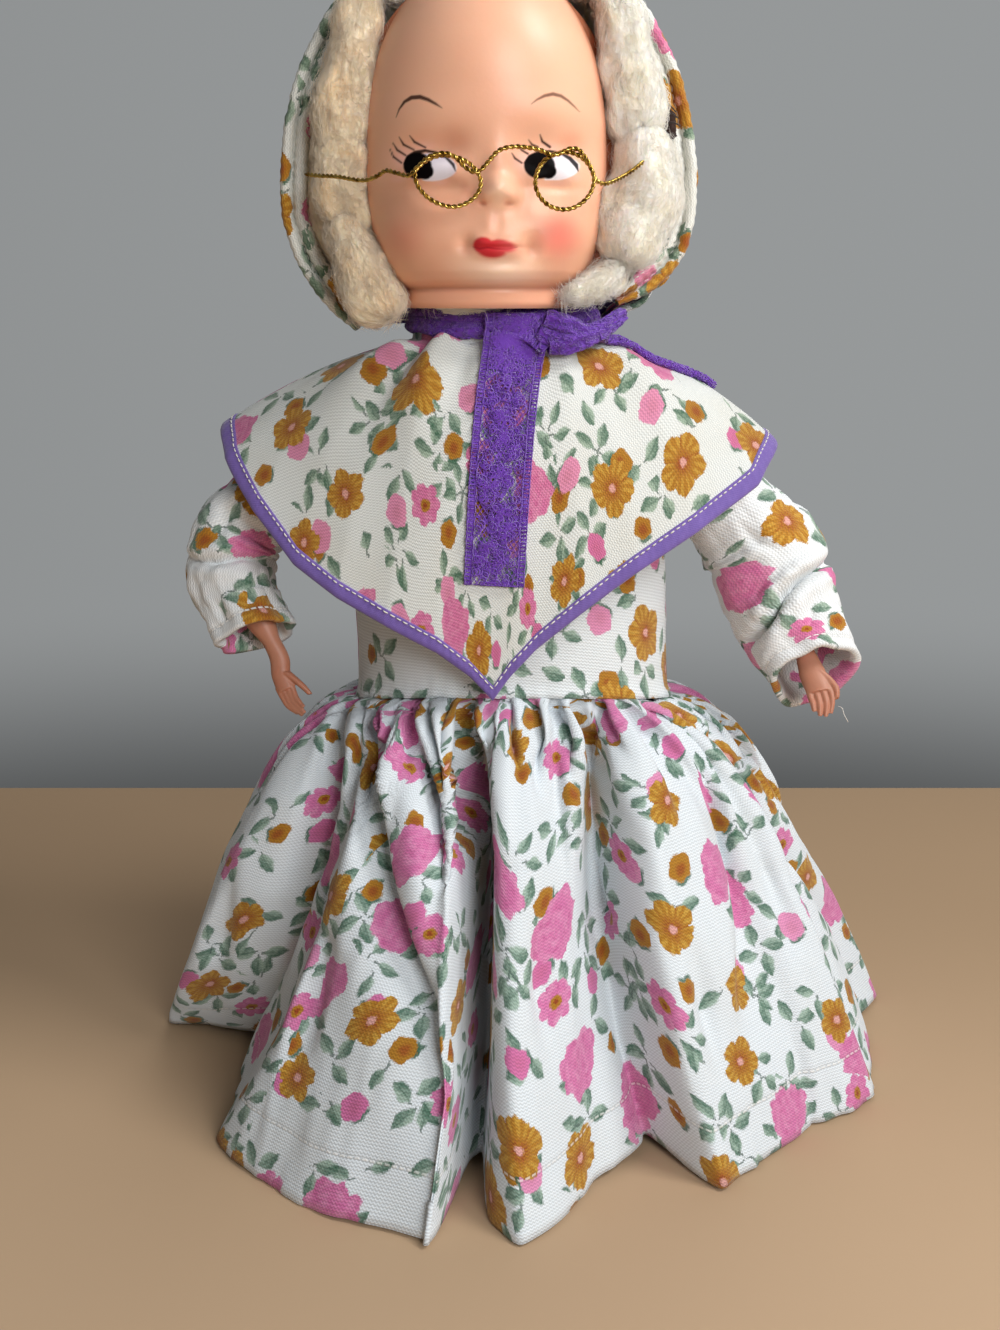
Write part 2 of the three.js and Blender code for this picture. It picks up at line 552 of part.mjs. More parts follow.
// bonnet: crown shell, rolled brim, lace along the neck edge
function bonnetRings(inset, zs, n, depthScale = 1) {
  return zs.map((z) => {
    const a = table(BONNET, z, 1) - inset, b = (table(BONNET, z, 2) - inset) * depthScale;
    return ellipseRing(BONNET_CX, 0, z, Math.max(a, 1), Math.max(b, 1), n);
  });
}
const bz = [243, 250, 262, 274, 290, 305, 320, 335, 347, 355, 360];
const bonnetOuter = solid(gridSolid(bonnetRings(0, bz, 24)));
const bonnetInner = solid(gridSolid(bonnetRings(1.8, [242, ...bz.slice(1, -1), 358.2], 24)));
{
  const crown = bonnetOuter.subtract(bonnetInner).intersect(boxSolid(-90, 90, BRIM_BACK + GAP, 90, 200, 400));
  add('bonnet_crown', geometry(largest(crown)), FABRIC, 0.9);
}
{
  // horseshoe path of the brim, bottom right round the top to bottom left
  const loop = [[-44.5, 241.5], [-55, 252], [-61.8, 263], [-65.4, 276], [-65.2, 291], [-62.6, 306], [-57.5, 320], [-49, 334], [-37.5, 346.5], [-22, 356.5], [-3.5, 360.8],
    [15, 356.5], [30.5, 346.5], [42, 334], [50.5, 320], [55.6, 306], [58.2, 291], [58.4, 276], [54.8, 263], [46, 254], [36.5, 249.5]];
  const st = loop.map(([x, z], i) => {
    const a = loop[Math.max(0, i - 1)], b = loop[Math.min(loop.length - 1, i + 1)];
    const T = V(b[0] - a[0], 0, b[1] - a[1]).normalize();
    const out = V(-T.z, 0, T.x);
    const pull = Math.max(0, (262 - z) / 22);
    const y0 = BRIM_FRONT - 6 * pull, y1 = BRIM_BACK - 4 * pull;
    return { p: V(x, (y0 + y1) / 2, z), side: V(0, 1, 0), up: out, w: y1 - y0, t: 3.2 };
  });
  add('bonnet_brim', strip(st), FABRIC, 0.9);
}
{
  // lace inside the neck edge of the crown
  const rings = [];
  const n = 15;
  for (let k = 0; k < n; k++) {
    const t = (98 + (164 * k) / (n - 1)) * D2R;
    const s = Math.sin(t), c = -Math.cos(t);
    const at = (z, inset) => V(BONNET_CX + (table(BONNET, z, 1) - inset) * s, (table(BONNET, z, 2) - inset) * c, z);
    rings.push([at(253, 2.8), at(253, 4), at(243.8, 4), at(243.8, 2.8)]);
  }
  add('bonnet_neck_lace', gridSolid(rings), VIOLET, 0.8);
}

// hair: cotton rolls round the face and a pad behind the head
const brimClear = bonnetInner.subtract(boxSolid(-90, 90, -90, -200, 0, 1));
const hairRolls = {
  hair_roll_upper_right: [[V(-36, -18, 338), V(-44, -18, 318), V(-47, -17, 302)], [8.5, 11, 10.5]],
  hair_roll_middle_right: [[V(-49, -17, 284.5), V(-47.5, -17, 279.2)], [7.6, 7.6]],
  hair_roll_lower_right: [[V(-46, -20, 264), V(-40, -25, 254), V(-35, -29, 248.5)], [8.6, 10, 9]],
  hair_roll_upper_left: [[V(29, -18, 337), V(36.5, -18, 322), V(40, -17, 307.5)], [8, 9.5, 10]],
  hair_roll_lower_left: [[V(42, -18, 287), V(41.5, -20, 276), V(38, -22, 266.5)], [10.5, 12, 10]],
  hair_roll_neck_left: [[V(31, -25.5, 254.5), V(25.5, -30, 252.5)], [4.6, 3.6]],
  hair_fringe: [[V(-21, -20, 348.5), V(-4, -25, 351.5), V(13, -20, 348.5)], [4, 5, 4]],
};
const brimBand = (() => {
  // space taken by the brim, with clearance
  const outerR = solid(gridSolid(bonnetRings(-6, bz, 28)));
  return outerR.subtract(solid(gridSolid(bonnetRings(2.6, [238, ...bz.slice(1, -1), 359], 28))));
})();
for (const [name, [pts, radii]] of Object.entries(hairRolls)) {
  let m = solid(blob(pts, radii, 10, 4));
  m = m.subtract(facePlus).subtract(brimBand);
  add(name, geometry(largest(m)), HAIR, 1.0);
}
{
  const pad = solid(gridSolid(bonnetRings(2.6, [258, 266, 274, 290, 305, 320, 335, 347, 354], 24)))
    .intersect(boxSolid(-90, 90, 4, 90, 200, 400)).subtract(facePlus)
    .subtract(boxSolid(-20, 22, 0, 17, 240, 264));
  add('hair_back_pad', geometry(largest(pad)), HAIR, 1.0);
}

// spectacles: one bent wire, two loops, bridge and temples
{
  const loops = [[-13.8, -52, 281.6, 11, 9.2], [18.5, -52, 282.2, 10.4, 10.2]];
  let m = null;
  for (const [x, y, z, a, b] of loops) {
    const rings = [];
    for (let k = 0; k < 18; k++) {
      const t = (k / 18) * 2 * Math.PI;
      const c = V(x + a * Math.cos(t), y + 0.02 * (a * Math.cos(t)) ** 2, z + b * Math.sin(t));
      const o = V(Math.cos(t), 0, Math.sin(t));
      const ring = [];
      for (let j = 0; j < 6; j++) {
        const s = (j / 6) * 2 * Math.PI;
        ring.push(c.clone().addScaledVector(o, SPEC_R * Math.cos(s)).addScaledVector(V(0, 1, 0), SPEC_R * Math.sin(s)));
      }
      rings.push(ring);
    }
    const s = solid(gridSolid(rings, 'loop'));
    m = m ? m.add(s) : s;
  }
  m = m.add(solid(wire([V(-3.4, -50, 283.5), V(-2.2, -51, 286.5), V(1.5, -52, 288.9), V(6, -52, 290.3), V(12, -51.8, 290.6)], SPEC_R, 5, 8)));
  m = m.add(solid(wire([V(-23.9, -49.9, 284), V(-29.3, -47, 285.7), V(-36.8, -41.5, 283), V(-44.5, -35, 284.5), V(-52, -29.5, 284.6)], SPEC_R, 5, 10)));
  m = m.add(solid(wire([V(28.2, -49.8, 281.7), V(31.7, -45, 283), V(38, -38, 287.5), V(43, -32, 291)], SPEC_R, 5, 8)));
  add('spectacles', geometry(largest(m)), GOLD, 0.3, 1.0);
}

export default group;
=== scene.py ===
import math

import bpy
import mathutils
import numpy as np
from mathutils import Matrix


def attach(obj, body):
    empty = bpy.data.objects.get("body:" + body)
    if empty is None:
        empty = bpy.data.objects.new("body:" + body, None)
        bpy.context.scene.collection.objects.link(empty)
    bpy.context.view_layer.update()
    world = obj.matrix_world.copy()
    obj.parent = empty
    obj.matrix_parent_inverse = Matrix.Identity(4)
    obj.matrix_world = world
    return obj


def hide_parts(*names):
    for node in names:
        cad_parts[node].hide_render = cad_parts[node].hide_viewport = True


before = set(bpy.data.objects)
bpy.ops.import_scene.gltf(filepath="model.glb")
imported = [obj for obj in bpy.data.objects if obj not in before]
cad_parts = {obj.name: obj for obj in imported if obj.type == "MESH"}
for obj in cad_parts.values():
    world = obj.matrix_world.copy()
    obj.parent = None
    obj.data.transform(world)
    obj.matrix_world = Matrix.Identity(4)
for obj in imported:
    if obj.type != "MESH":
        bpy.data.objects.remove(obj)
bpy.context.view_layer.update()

MM = 0.001
rng = np.random.default_rng(20)

# ------------------------------------------------------------------ camera
CAM_POS = np.array([0.0, -460.0, 250.0])      # mm
CAM_PITCH = math.radians(14.6)                # looking down
CAM_F = 1400.0                                # pixels, for an image 1000 x 1330


def cam_ray(px, py):
    x = (px - 500.0) / CAM_F
    y = -(py - 665.0) / CAM_F
    fw = np.array([0, math.cos(CAM_PITCH), -math.sin(CAM_PITCH)])
    up = np.array([0, math.sin(CAM_PITCH), math.cos(CAM_PITCH)])
    return fw + x * np.array([1.0, 0, 0]) + y * up


def at_y(px, py, y):
    """the point of the pixel's line of sight that has this y, in mm"""
    d = cam_ray(px, py)
    return CAM_POS + d * ((y - CAM_POS[1]) / d[1])


def to_px(P):
    """pixel places of points in mm, (n, 3) to (n, 2)"""
    P = np.asarray(P, float) - CAM_POS
    fw = np.array([0, math.cos(CAM_PITCH), -math.sin(CAM_PITCH)])
    up = np.array([0, math.sin(CAM_PITCH), math.cos(CAM_PITCH)])
    z = P @ fw
    return np.stack([500 + CAM_F * P[..., 0] / z, 665 - CAM_F * (P @ up) / z], -1)


cam_data = bpy.data.cameras.new("camera")
cam_data.sensor_width = 36.0
cam_data.lens = 36.0 * CAM_F / 1330.0
cam = bpy.data.objects.new("camera", cam_data)
cam.location = (0, -0.460, 0.250)
cam.rotation_euler = (math.radians(90 - 14.6), 0, 0)
bpy.context.scene.collection.objects.link(cam)
bpy.context.scene.camera = cam

# ------------------------------------------------------------------- noise


def _hash(ix, iy, iz, seed):
    h = (ix.astype(np.int64) * 374761393 + iy.astype(np.int64) * 668265263 + iz.astype(np.int64) * 2147483647 + seed * 974634777)
    h = (h ^ (h >> 13)) * 1274126177
    h = h ^ (h >> 16)
    return (h & 0xFFFFFF).astype(np.float64) / float(0xFFFFFF)


def vnoise(P, scale=1.0, seed=0):
    """smooth value noise, -1 to 1, of points (n, 2) or (n, 3)"""
    P = np.asarray(P, float) * scale
    if P.shape[-1] == 2:
        P = np.concatenate([P, np.zeros(P.shape[:-1] + (1,))], -1)
    i = np.floor(P)
    f = P - i
    f = f * f * (3 - 2 * f)
    out = 0
    for dx in (0, 1):
        for dy in (0, 1):
            for dz in (0, 1):
                w = (f[..., 0] if dx else 1 - f[..., 0]) * (f[..., 1] if dy else 1 - f[..., 1]) * (f[..., 2] if dz else 1 - f[..., 2])
                out = out + w * _hash(i[..., 0] + dx, i[..., 1] + dy, i[..., 2] + dz, seed)
    return out * 2 - 1


def fbm(P, scale=1.0, seed=0, octaves=3):
    a, s, out = 1.0, scale, 0
    for k in range(octaves):
        out = out + a * vnoise(P, s, seed + k)
        a *= 0.5
        s *= 2.03
    return out


def interp(x, rows, col=1):
    rows = np.asarray(rows, float)
    return np.interp(x, rows[:, 0], rows[:, col])


def smooth_interp(x, rows, col=1, wrap=None, soft=6.0):
    """interp of a table, rounded off by averaging over +-soft"""
    rows = np.asarray(rows, float)
    xs, ys = rows[:, 0], rows[:, col]
    if wrap:
        xs = np.concatenate([xs - wrap, xs, xs + wrap])
        ys = np.concatenate([ys, ys, ys])
    out = 0
    ks = np.linspace(-1, 1, 9)
    ws = 1 - ks ** 2 + 0.05
    for k, w in zip(ks, ws):
        out = out + w * np.interp(x + k * soft, xs, ys)
    return out / ws.sum()


def smoothstep(a, b, x):
    t = np.clip((x - a) / (b - a), 0, 1)
    return t * t * (3 - 2 * t)


# -------------------------------------------------------------- mesh makers


def grid(P, closed_u=False, closed_v=False, uv=None, flip=False):
    P = np.asarray(P, float)
    m, n = P.shape[:2]
    idx = np.arange(m * n).reshape(m, n)
    ii, jj = (m if closed_v else m - 1), (n if closed_u else n - 1)
    I, J = np.meshgrid(np.arange(ii), np.arange(jj), indexing="ij")
    F = np.stack([idx[I, J], idx[I, (J + 1) % n], idx[(I + 1) % m, (J + 1) % n], idx[(I + 1) % m, J]], -1).reshape(-1, 4)
    U = None
    if uv is not None:
        U = np.stack([uv[I, J], uv[I, J + 1], uv[I + 1, J + 1], uv[I + 1, J]], -2).reshape(-1, 4, 2)
    if flip:
        F = F[:, ::-1]
        U = U[:, ::-1] if U is not None else None
    return P.reshape(-1, 3), F, U


def join(parts):
    """joins (V, F, U) quads"""
    V, F, U, base = [], [], [], 0
    has_uv = all(p[2] is not None for p in parts)
    for v, f, u in parts:
        V.append(v)
        F.append(f + base)
        if has_uv:
            U.append(u)
        base += len(v)
    return np.concatenate(V), np.concatenate(F), (np.concatenate(U) if has_uv else None)


def make(name, data, mats, body, smooth=True, colors=None, mat_index=None):
    V, F, U = data
    me = bpy.data.meshes.new(name)
    V = np.ascontiguousarray(np.asarray(V, np.float32) * MM)
    F = np.ascontiguousarray(F, dtype=np.int32)
    me.vertices.add(len(V))
    me.vertices.foreach_set("co", V.ravel())
    me.loops.add(F.size)
    me.loops.foreach_set("vertex_index", F.ravel())
    me.polygons.add(len(F))
    me.polygons.foreach_set("loop_start", np.arange(0, F.size, F.shape[1], dtype=np.int32))
    me.update(calc_edges=True)
    if U is not None:
        layer = me.uv_layers.new(name="UVMap")
        layer.data.foreach_set("uv", np.ascontiguousarray(U, dtype=np.float32).ravel())
    if colors is not None:
        ca = me.color_attributes.new(name="Paint", type="FLOAT_COLOR", domain="POINT")
        ca.data.foreach_set("color", np.ascontiguousarray(colors, dtype=np.float32).ravel())
    for mt in (mats if isinstance(mats, (list, tuple)) else [mats]):
        me.materials.append(mt)
    if mat_index is not None:
        me.polygons.foreach_set("material_index", np.ascontiguousarray(mat_index, dtype=np.int32))
    me.polygons.foreach_set("use_smooth", np.full(len(me.polygons), smooth))
    me.validate()
    ob = bpy.data.objects.new(name, me)
    bpy.context.scene.collection.objects.link(ob)
    if body:
        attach(ob, body)
    return ob


def modifier(ob, kind, **props):
    m = ob.modifiers.new(kind.lower(), kind)
    for k, v in props.items():
        setattr(m, k, v)
    return m


def apply_modifiers(ob):
    dg = bpy.context.evaluated_depsgraph_get()
    me = bpy.data.meshes.new_from_object(ob.evaluated_get(dg), preserve_all_data_layers=True, depsgraph=dg)
    ob.modifiers.clear()
    old = ob.data
    ob.data = me
    bpy.data.meshes.remove(old)


def normalize(v):
    return v / np.maximum(np.linalg.norm(v, axis=-1, keepdims=True), 1e-9)


def catmull(pts, count, closed=False):
    """evenly spaced points on a smooth curve through pts"""
    pts = np.asarray(pts, float)
    n = len(pts)
    fine = []
    spans = n if closed else n - 1
    for i in range(spans):
        if closed:
            p0, p1, p2, p3 = pts[(i - 1) % n], pts[i], pts[(i + 1) % n], pts[(i + 2) % n]
        else:
            p0, p1, p2, p3 = pts[max(i - 1, 0)], pts[i], pts[i + 1], pts[min(i + 2, n - 1)]
        t = np.linspace(0, 1, 24, endpoint=False)[:, None]
        fine.append(0.5 * ((2 * p1) + (-p0 + p2) * t + (2 * p0 - 5 * p1 + 4 * p2 - p3) * t ** 2 + (-p0 + 3 * p1 - 3 * p2 + p3) * t ** 3))
    fine.append(pts[:1] if closed else pts[-1:])
    fine = np.concatenate(fine)
    seg = np.linalg.norm(np.diff(fine, axis=0), axis=1)
    s = np.concatenate([[0], np.cumsum(seg)])
    x = np.linspace(0, s[-1], count, endpoint=not closed)
    return np.stack([np.interp(x, s, fine[:, k]) for k in range(fine.shape[1])], -1)


def frames(path, ref=(0, 0, 1), closed=False):
    """tangent, u, v along a path, without twist"""
    if closed:
        T = normalize(np.roll(path, -1, 0) - np.roll(path, 1, 0))
    else:
        T = normalize(np.gradient(path, axis=0))
    u = np.zeros_like(T)
    r = np.asarray(ref, float)
    for i in range(len(path)):
        w = r - T[i] * (r @ T[i])
        if np.linalg.norm(w) < 1e-3:
            w = np.array([1.0, 0.3, 0.2]) - T[i] * (T[i] @ np.array([1.0, 0.3, 0.2]))
        u[i] = w / np.linalg.norm(w)
        r = u[i]
    return T, u, np.cross(T, u)


def tube(path, radius, sides=8, closed=False, ref=(0, 0, 1), caps=True):
    T, u, v = frames(path, ref, closed)
    t = np.arange(sides) / sides * 2 * math.pi
    rad = np.broadcast_to(np.asarray(radius, float), (len(path),))
    P = path[:, None] + rad[:, None, None] * (np.cos(t)[None, :, None] * u[:, None] + np.sin(t)[None, :, None] * v[:, None])
    if caps and not closed:
        P = np.concatenate([np.repeat(path[:1, None], sides, 1) * 0.999 + P[:1] * 0.001, P, np.repeat(path[-1:, None], sides, 1) * 0.999 + P[-1:] * 0.001])
    s = np.concatenate([[0], np.cumsum(np.linalg.norm(np.diff(P[:, 0], axis=0), axis=1))]) * MM
    if closed:
        s = np.append(s, s[-1])
    uv = np.stack(np.broadcast_arrays(np.linspace(0, 1, sides + 1)[None, :] * 2 * math.pi * float(rad.mean()) * MM, s[:, None]), -1)
    return grid(P, closed_u=True, closed_v=closed, uv=uv)


# ---------------------------------------------------------------- materials


def srgb(r, g, b):
    c = np.array([r, g, b], float) / 255.0
    lin = np.where(c <= 0.04045, c / 12.92, ((c + 0.055) / 1.055) ** 2.4)
    return tuple(float(x) for x in lin) + (1.0,)


class Nodes:
    """short names for shader nodes"""

    def __init__(self, tree):
        self.t = tree

    def new(self, kind, **props):
        n = self.t.nodes.new(kind)
        for k, v in props.items():
            setattr(n, k, v)
        return n

    def link(self, a, b):
        self.t.links.new(a, b)

    def put(self, sock, val):
        if hasattr(val, "links") or isinstance(val, bpy.types.NodeSocket):
            self.link(val, sock)
        else:
            sock.default_value = val

    def m(self, op, a, b=None, c=None, clamp=False):
        n = self.new("ShaderNodeMath", operation=op, use_clamp=clamp)
        self.put(n.inputs[0], a)
        if b is not None:
            self.put(n.inputs[1], b)
        if c is not None:
            self.put(n.inputs[2], c)
        return n.outputs[0]

    def v(self, op, a, b=None, scale=None):
        n = self.new("ShaderNodeVectorMath", operation=op)
        self.put(n.inputs[0], a)
        if b is not None:
            self.put(n.inputs[1], b)
        if scale is not None:
            self.put(n.inputs["Scale"], scale)
        return n.outputs["Value"] if op in ("LENGTH", "DOT_PRODUCT", "DISTANCE") else n.outputs["Vector"]

    def xyz(self, vec):
        n = self.new("ShaderNodeSeparateXYZ")
        self.put(n.inputs[0], vec)
        return n.outputs[0], n.outputs[1], n.outputs[2]

    def vec(self, x, y, z=0.0):
        n = self.new("ShaderNodeCombineXYZ")
        self.put(n.inputs[0], x)
        self.put(n.inputs[1], y)
        self.put(n.inputs[2], z)
        return n.outputs[0]

    def noise(self, vec, scale, detail=2.0, rough=0.5, dims="3D", distortion=0.0):
        n = self.new("ShaderNodeTexNoise", noise_dimensions=dims)
        if vec is not None:
            self.put(n.inputs["Vector"], vec)
        n.inputs["Scale"].default_value = scale
        n.inputs["Detail"].default_value = detail
        n.inputs["Roughness"].default_value = rough
        n.inputs["Distortion"].default_value = distortion
        return n.outputs["Fac"] if "Fac" in n.outputs else n.outputs[0]

    def noise_color(self, vec, scale, detail=1.0):
        n = self.new("ShaderNodeTexNoise", noise_dimensions="3D")
        self.put(n.inputs["Vector"], vec)
        n.inputs["Scale"].default_value = scale
        n.inputs["Detail"].default_value = detail
        return n.outputs["Color"]

    def mix(self, fac, a, b, blend="MIX"):
        n = self.new("ShaderNodeMix", data_type="RGBA", blend_type=blend, clamp_factor=True)
        self.put(n.inputs[0], fac)
        self.put(n.inputs[6], a)
        self.put(n.inputs[7], b)
        return n.outputs[2]

    def step(self, a, b, x):
        """0 at a, 1 at b, smooth"""
        n = self.new("ShaderNodeMapRange", interpolation_type="SMOOTHSTEP", clamp=True)
        self.put(n.inputs["Value"], x)
        n.inputs["From Min"].default_value = a
        n.inputs["From Max"].default_value = b
        return n.outputs[0]

    def ramp(self, fac, stops):
        n = self.new("ShaderNodeValToRGB")
        self.put(n.inputs[0], fac)
        cr = n.color_ramp
        while len(cr.elements) > 1:
            cr.elements.remove(cr.elements[-1])
        cr.elements[0].position = stops[0][0]
        cr.elements[0].color = stops[0][1]
        for p, c in stops[1:]:
            e = cr.elements.new(p)
            e.color = c
        return n.outputs[0]

    def bump(self, height, strength, dist, normal=None):
        n = self.new("ShaderNodeBump")
        n.inputs["Strength"].default_value = strength
        n.inputs["Distance"].default_value = dist
        self.put(n.inputs["Height"], height)
        if normal is not None:
            self.put(n.inputs["Normal"], normal)
        return n.outputs[0]


def material(name):
    mt = bpy.data.materials.new(name)
    mt.use_nodes = True
    nt = mt.node_tree
    nt.nodes.clear()
    N = Nodes(nt)
    out = N.new("ShaderNodeOutputMaterial")
    bs = N.new("ShaderNodeBsdfPrincipled")
    N.link(bs.outputs[0], out.inputs[0])
    return mt, N, bs, out


def uv_mm(N):
    """the cloth's own flat coordinates in mm"""
    n = N.new("ShaderNodeUVMap", uv_map="UVMap")
    return N.v("SCALE", n.outputs[0], scale=1000.0)


# ---- floral print ----------------------------------------------------------
CREAM = srgb(240, 243, 244)
PINK = srgb(224, 122, 172)
PINK_D = srgb(196, 84, 140)
PINK_L = srgb(236, 152, 190)
GOLD = srgb(184, 126, 36)
GOLD_L = srgb(208, 158, 62)
RUST = srgb(158, 72, 28)
LEAF = srgb(66, 110, 86)
LEAF_L = srgb(172, 194, 176)
STEM = srgb(88, 108, 98)


def floral_group():
    g = bpy.data.node_groups.new("floral_print", "ShaderNodeTree")
    g.interface.new_socket("Vector", in_out="INPUT", socket_type="NodeSocketVector")
    g.interface.new_socket("Color", in_out="OUTPUT", socket_type="NodeSocketColor")
    g.interface.new_socket("Weave", in_out="OUTPUT", socket_type="NodeSocketFloat")
    N = Nodes(g)
    gi = N.new("NodeGroupInput")
    go = N.new("NodeGroupOutput")
    p0 = gi.outputs[0]
    x0, y0, _ = N.xyz(p0)
    # pebble weave: two crossed waves, a little uneven
    wob = N.noise(p0, 0.35, 1.0)
    xs = N.m("ADD", N.m("MULTIPLY", x0, 2 * math.pi / 1.2), N.m("MULTIPLY", wob, 2.2))
    ys = N.m("ADD", N.m("MULTIPLY", y0, 2 * math.pi / 0.98), N.m("MULTIPLY", wob, -2.0))
    ridge = N.m("SINE", N.m("ADD", ys, N.m("MULTIPLY", N.m("SINE", xs), 1.15)))
    weave = N.m("MULTIPLY_ADD", N.m("ADD", N.m("MULTIPLY", ridge, 0.75), N.m("MULTIPLY", N.m("MULTIPLY", N.m("SINE", xs), N.m("SINE", ys)), 0.25)), 0.5, 0.5)
    # the print is laid on the threads, so its edges step with them
    snap = N.v("SNAP", p0, (1.2 / 2, 0.98 / 2, 1.0))
    jag = N.v("SCALE", N.v("SUBTRACT", N.noise_color(p0, 0.55, 2.0), (0.5, 0.5, 0.5)), scale=1.5)
    n_mix = N.new("ShaderNodeMix", data_type="VECTOR", factor_mode="UNIFORM")
    n_mix.inputs[0].default_value = 0.8
    N.put(n_mix.inputs[4], p0)
    N.put(n_mix.inputs[5], snap)
    p = N.v("ADD", n_mix.outputs[1], jag)
    rot = N.new("ShaderNodeVectorRotate", rotation_type="Z_AXIS")
    N.put(rot.inputs["Vector"], p)
    rot.inputs["Angle"].default_value = 0.62
    p = rot.outputs[0]

    def cells(scale_mm, randomness, offset):
        q = N.v("ADD", p, offset)
        n = N.new("ShaderNodeTexVoronoi", voronoi_dimensions="2D", feature="F1")
        N.put(n.inputs["Vector"], q)
        n.inputs["Scale"].default_value = 1.0 / scale_mm
        if "Detail" in n.inputs:
            n.inputs["Detail"].default_value = 0
        n.inputs["Randomness"].default_value = randomness
        d = N.v("SUBTRACT", q, n.outputs["Position"])
        dx, dy, _ = N.xyz(d)
        d = N.vec(dx, dy, 0.0)
        sc = N.new("ShaderNodeSeparateColor")
        N.put(sc.inputs[0], n.outputs["Color"])
        return d, sc.outputs[0], sc.outputs[1], sc.outputs[2]

    def polar(d, turn):
        dx, dy, _ = N.xyz(d)
        r = N.v("LENGTH", d)
        th = N.m("ADD", N.m("ARCTAN2", dy, dx), N.m("MULTIPLY", turn, 6.2832))
        return r, th

    col = CREAM

    # leaf sprigs
    def sprigs(col, scale_mm, rnd, offset, count, reach, half_len, half_w, keep):
        d, c1, c2, c3 = cells(scale_mm, rnd, offset)
        r, th = polar(d, c1)
        ph = N.m("MULTIPLY", th, count / 6.28318)
        k = N.m("FLOOR", ph)
        f = N.m("MULTIPLY", N.m("SUBTRACT", N.m("FRACT", ph), 0.5), 6.28318 / count)
        lx = N.m("MULTIPLY", r, N.m("COSINE", f))
        ly = N.m("MULTIPLY", r, N.m("SINE", f))
        ly = N.m("ADD", ly, N.m("MULTIPLY", N.m("SUBTRACT", lx, reach), N.m("MULTIPLY", N.m("SUBTRACT", c3, 0.5), 0.5)))
        wn = N.new("ShaderNodeTexWhiteNoise", noise_dimensions="2D")
        N.put(wn.inputs["Vector"], N.vec(k, N.m("MULTIPLY", c2, 37.0)))
        on = N.m("GREATER_THAN", wn.outputs["Value"], 1 - keep)
        t = N.m("DIVIDE", N.m("SUBTRACT", lx, reach), half_len)
        w = N.m("MULTIPLY", N.m("SUBTRACT", 1.0, N.m("MULTIPLY", t, t)), half_w)
        w = N.m("MULTIPLY", w, N.m("MULTIPLY_ADD", t, -0.22, 1.0))
        edge = N.m("SUBTRACT", w, N.m("ABSOLUTE", ly))
        leaf = N.m("MULTIPLY", N.step(-0.15, 0.75, edge), on)
        tone = N.m("MULTIPLY_ADD", N.m("DIVIDE", ly, half_w), 0.42, N.m("MULTIPLY_ADD", t, -0.22, 0.5))
        tone = N.m("ADD", tone, N.m("MULTIPLY", N.m("SUBTRACT", N.noise(p0, 0.9, 1.0), 0.5), 0.7))
        lc = N.mix(N.step(0.05, 0.95, tone), LEAF, LEAF_L)
        mid = N.step(0.42, 0.12, N.m("ABSOLUTE", ly))
        lc = N.mix(N.m("MULTIPLY", mid, 0.45), lc, srgb(48, 92, 70))
        bend = N.m("MULTIPLY", N.m("SINE", N.m("MULTIPLY", lx, 0.55)), 0.5)
        stem = N.step(0.5, 0.22, N.m("ABSOLUTE", N.m("SUBTRACT", ly, bend)))
        stem = N.m("MULTIPLY", stem, N.step(reach + half_len * 0.2, reach - half_len * 0.4, lx))
        stem = N.m("MULTIPLY", N.m("MULTIPLY", stem, on), N.step(-0.2, 0.3, lx))
        col = N.mix(N.m("MULTIPLY", stem, 0.8), col, STEM)
        return N.mix(N.m("MULTIPLY", leaf, 0.95), col, lc)

    col = sprigs(col, 21.0, 0.75, (3.1, 8.7, 0.0), 4.0, 5.6, 4.3, 2.6, 0.64)
    col = sprigs(col, 26.0, 0.8, (41.0, 17.0, 0.0), 5.0, 6.6, 3.7, 2.2, 0.5)

    # buds
    def buds(col, scale_mm, rnd, offset, radius, keep, a_col, b_col, heart):
        d, c1, c2, c3 = cells(scale_mm, rnd, offset)
        r, th = polar(d, c1)
        rad = N.m("MULTIPLY", N.m("MULTIPLY_ADD", N.m("COSINE", th), 0.14, 1.0), N.m("MULTIPLY_ADD", c3, 1.3, radius - 0.6))
        rad = N.m("ADD", rad, N.m("MULTIPLY", N.m("SINE", N.m("MULTIPLY", th, 5.0)), 0.22))
        on = N.m("GREATER_THAN", keep, c2)
        mask = N.m("MULTIPLY", N.step(-0.12, 0.3, N.m("SUBTRACT", rad, r)), on)
        bc = N.mix(N.m("GREATER_THAN", c3, 0.5), a_col, b_col)
        bc = N.mix(N.m("MULTIPLY", N.step(radius * 0.75, radius * 0.2, r), heart), bc, RUST)
        # a sepal at the bud's foot
        a2 = N.m("MULTIPLY", N.m("COSINE", th), -1.0)
        sep = N.m("MULTIPLY", N.step(0.55, 0.9, a2), N.step(0.9, 0.2, N.m("ABSOLUTE", N.m("SUBTRACT", r, N.m("ADD", rad, 0.3)))))
        col = N.mix(N.m("MULTIPLY", N.m("MULTIPLY", sep, on), 0.9), col, LEAF)
        return N.mix(mask, col, bc)

    col = buds(col, 29.0, 0.9, (7.0, 23.0, 0.0), 3.7, 0.75, GOLD, GOLD, 0.75)
    col = buds(col, 34.0, 0.9, (19.0, 61.0, 0.0), 4.3, 0.7, PINK, PINK_L, 0.15)

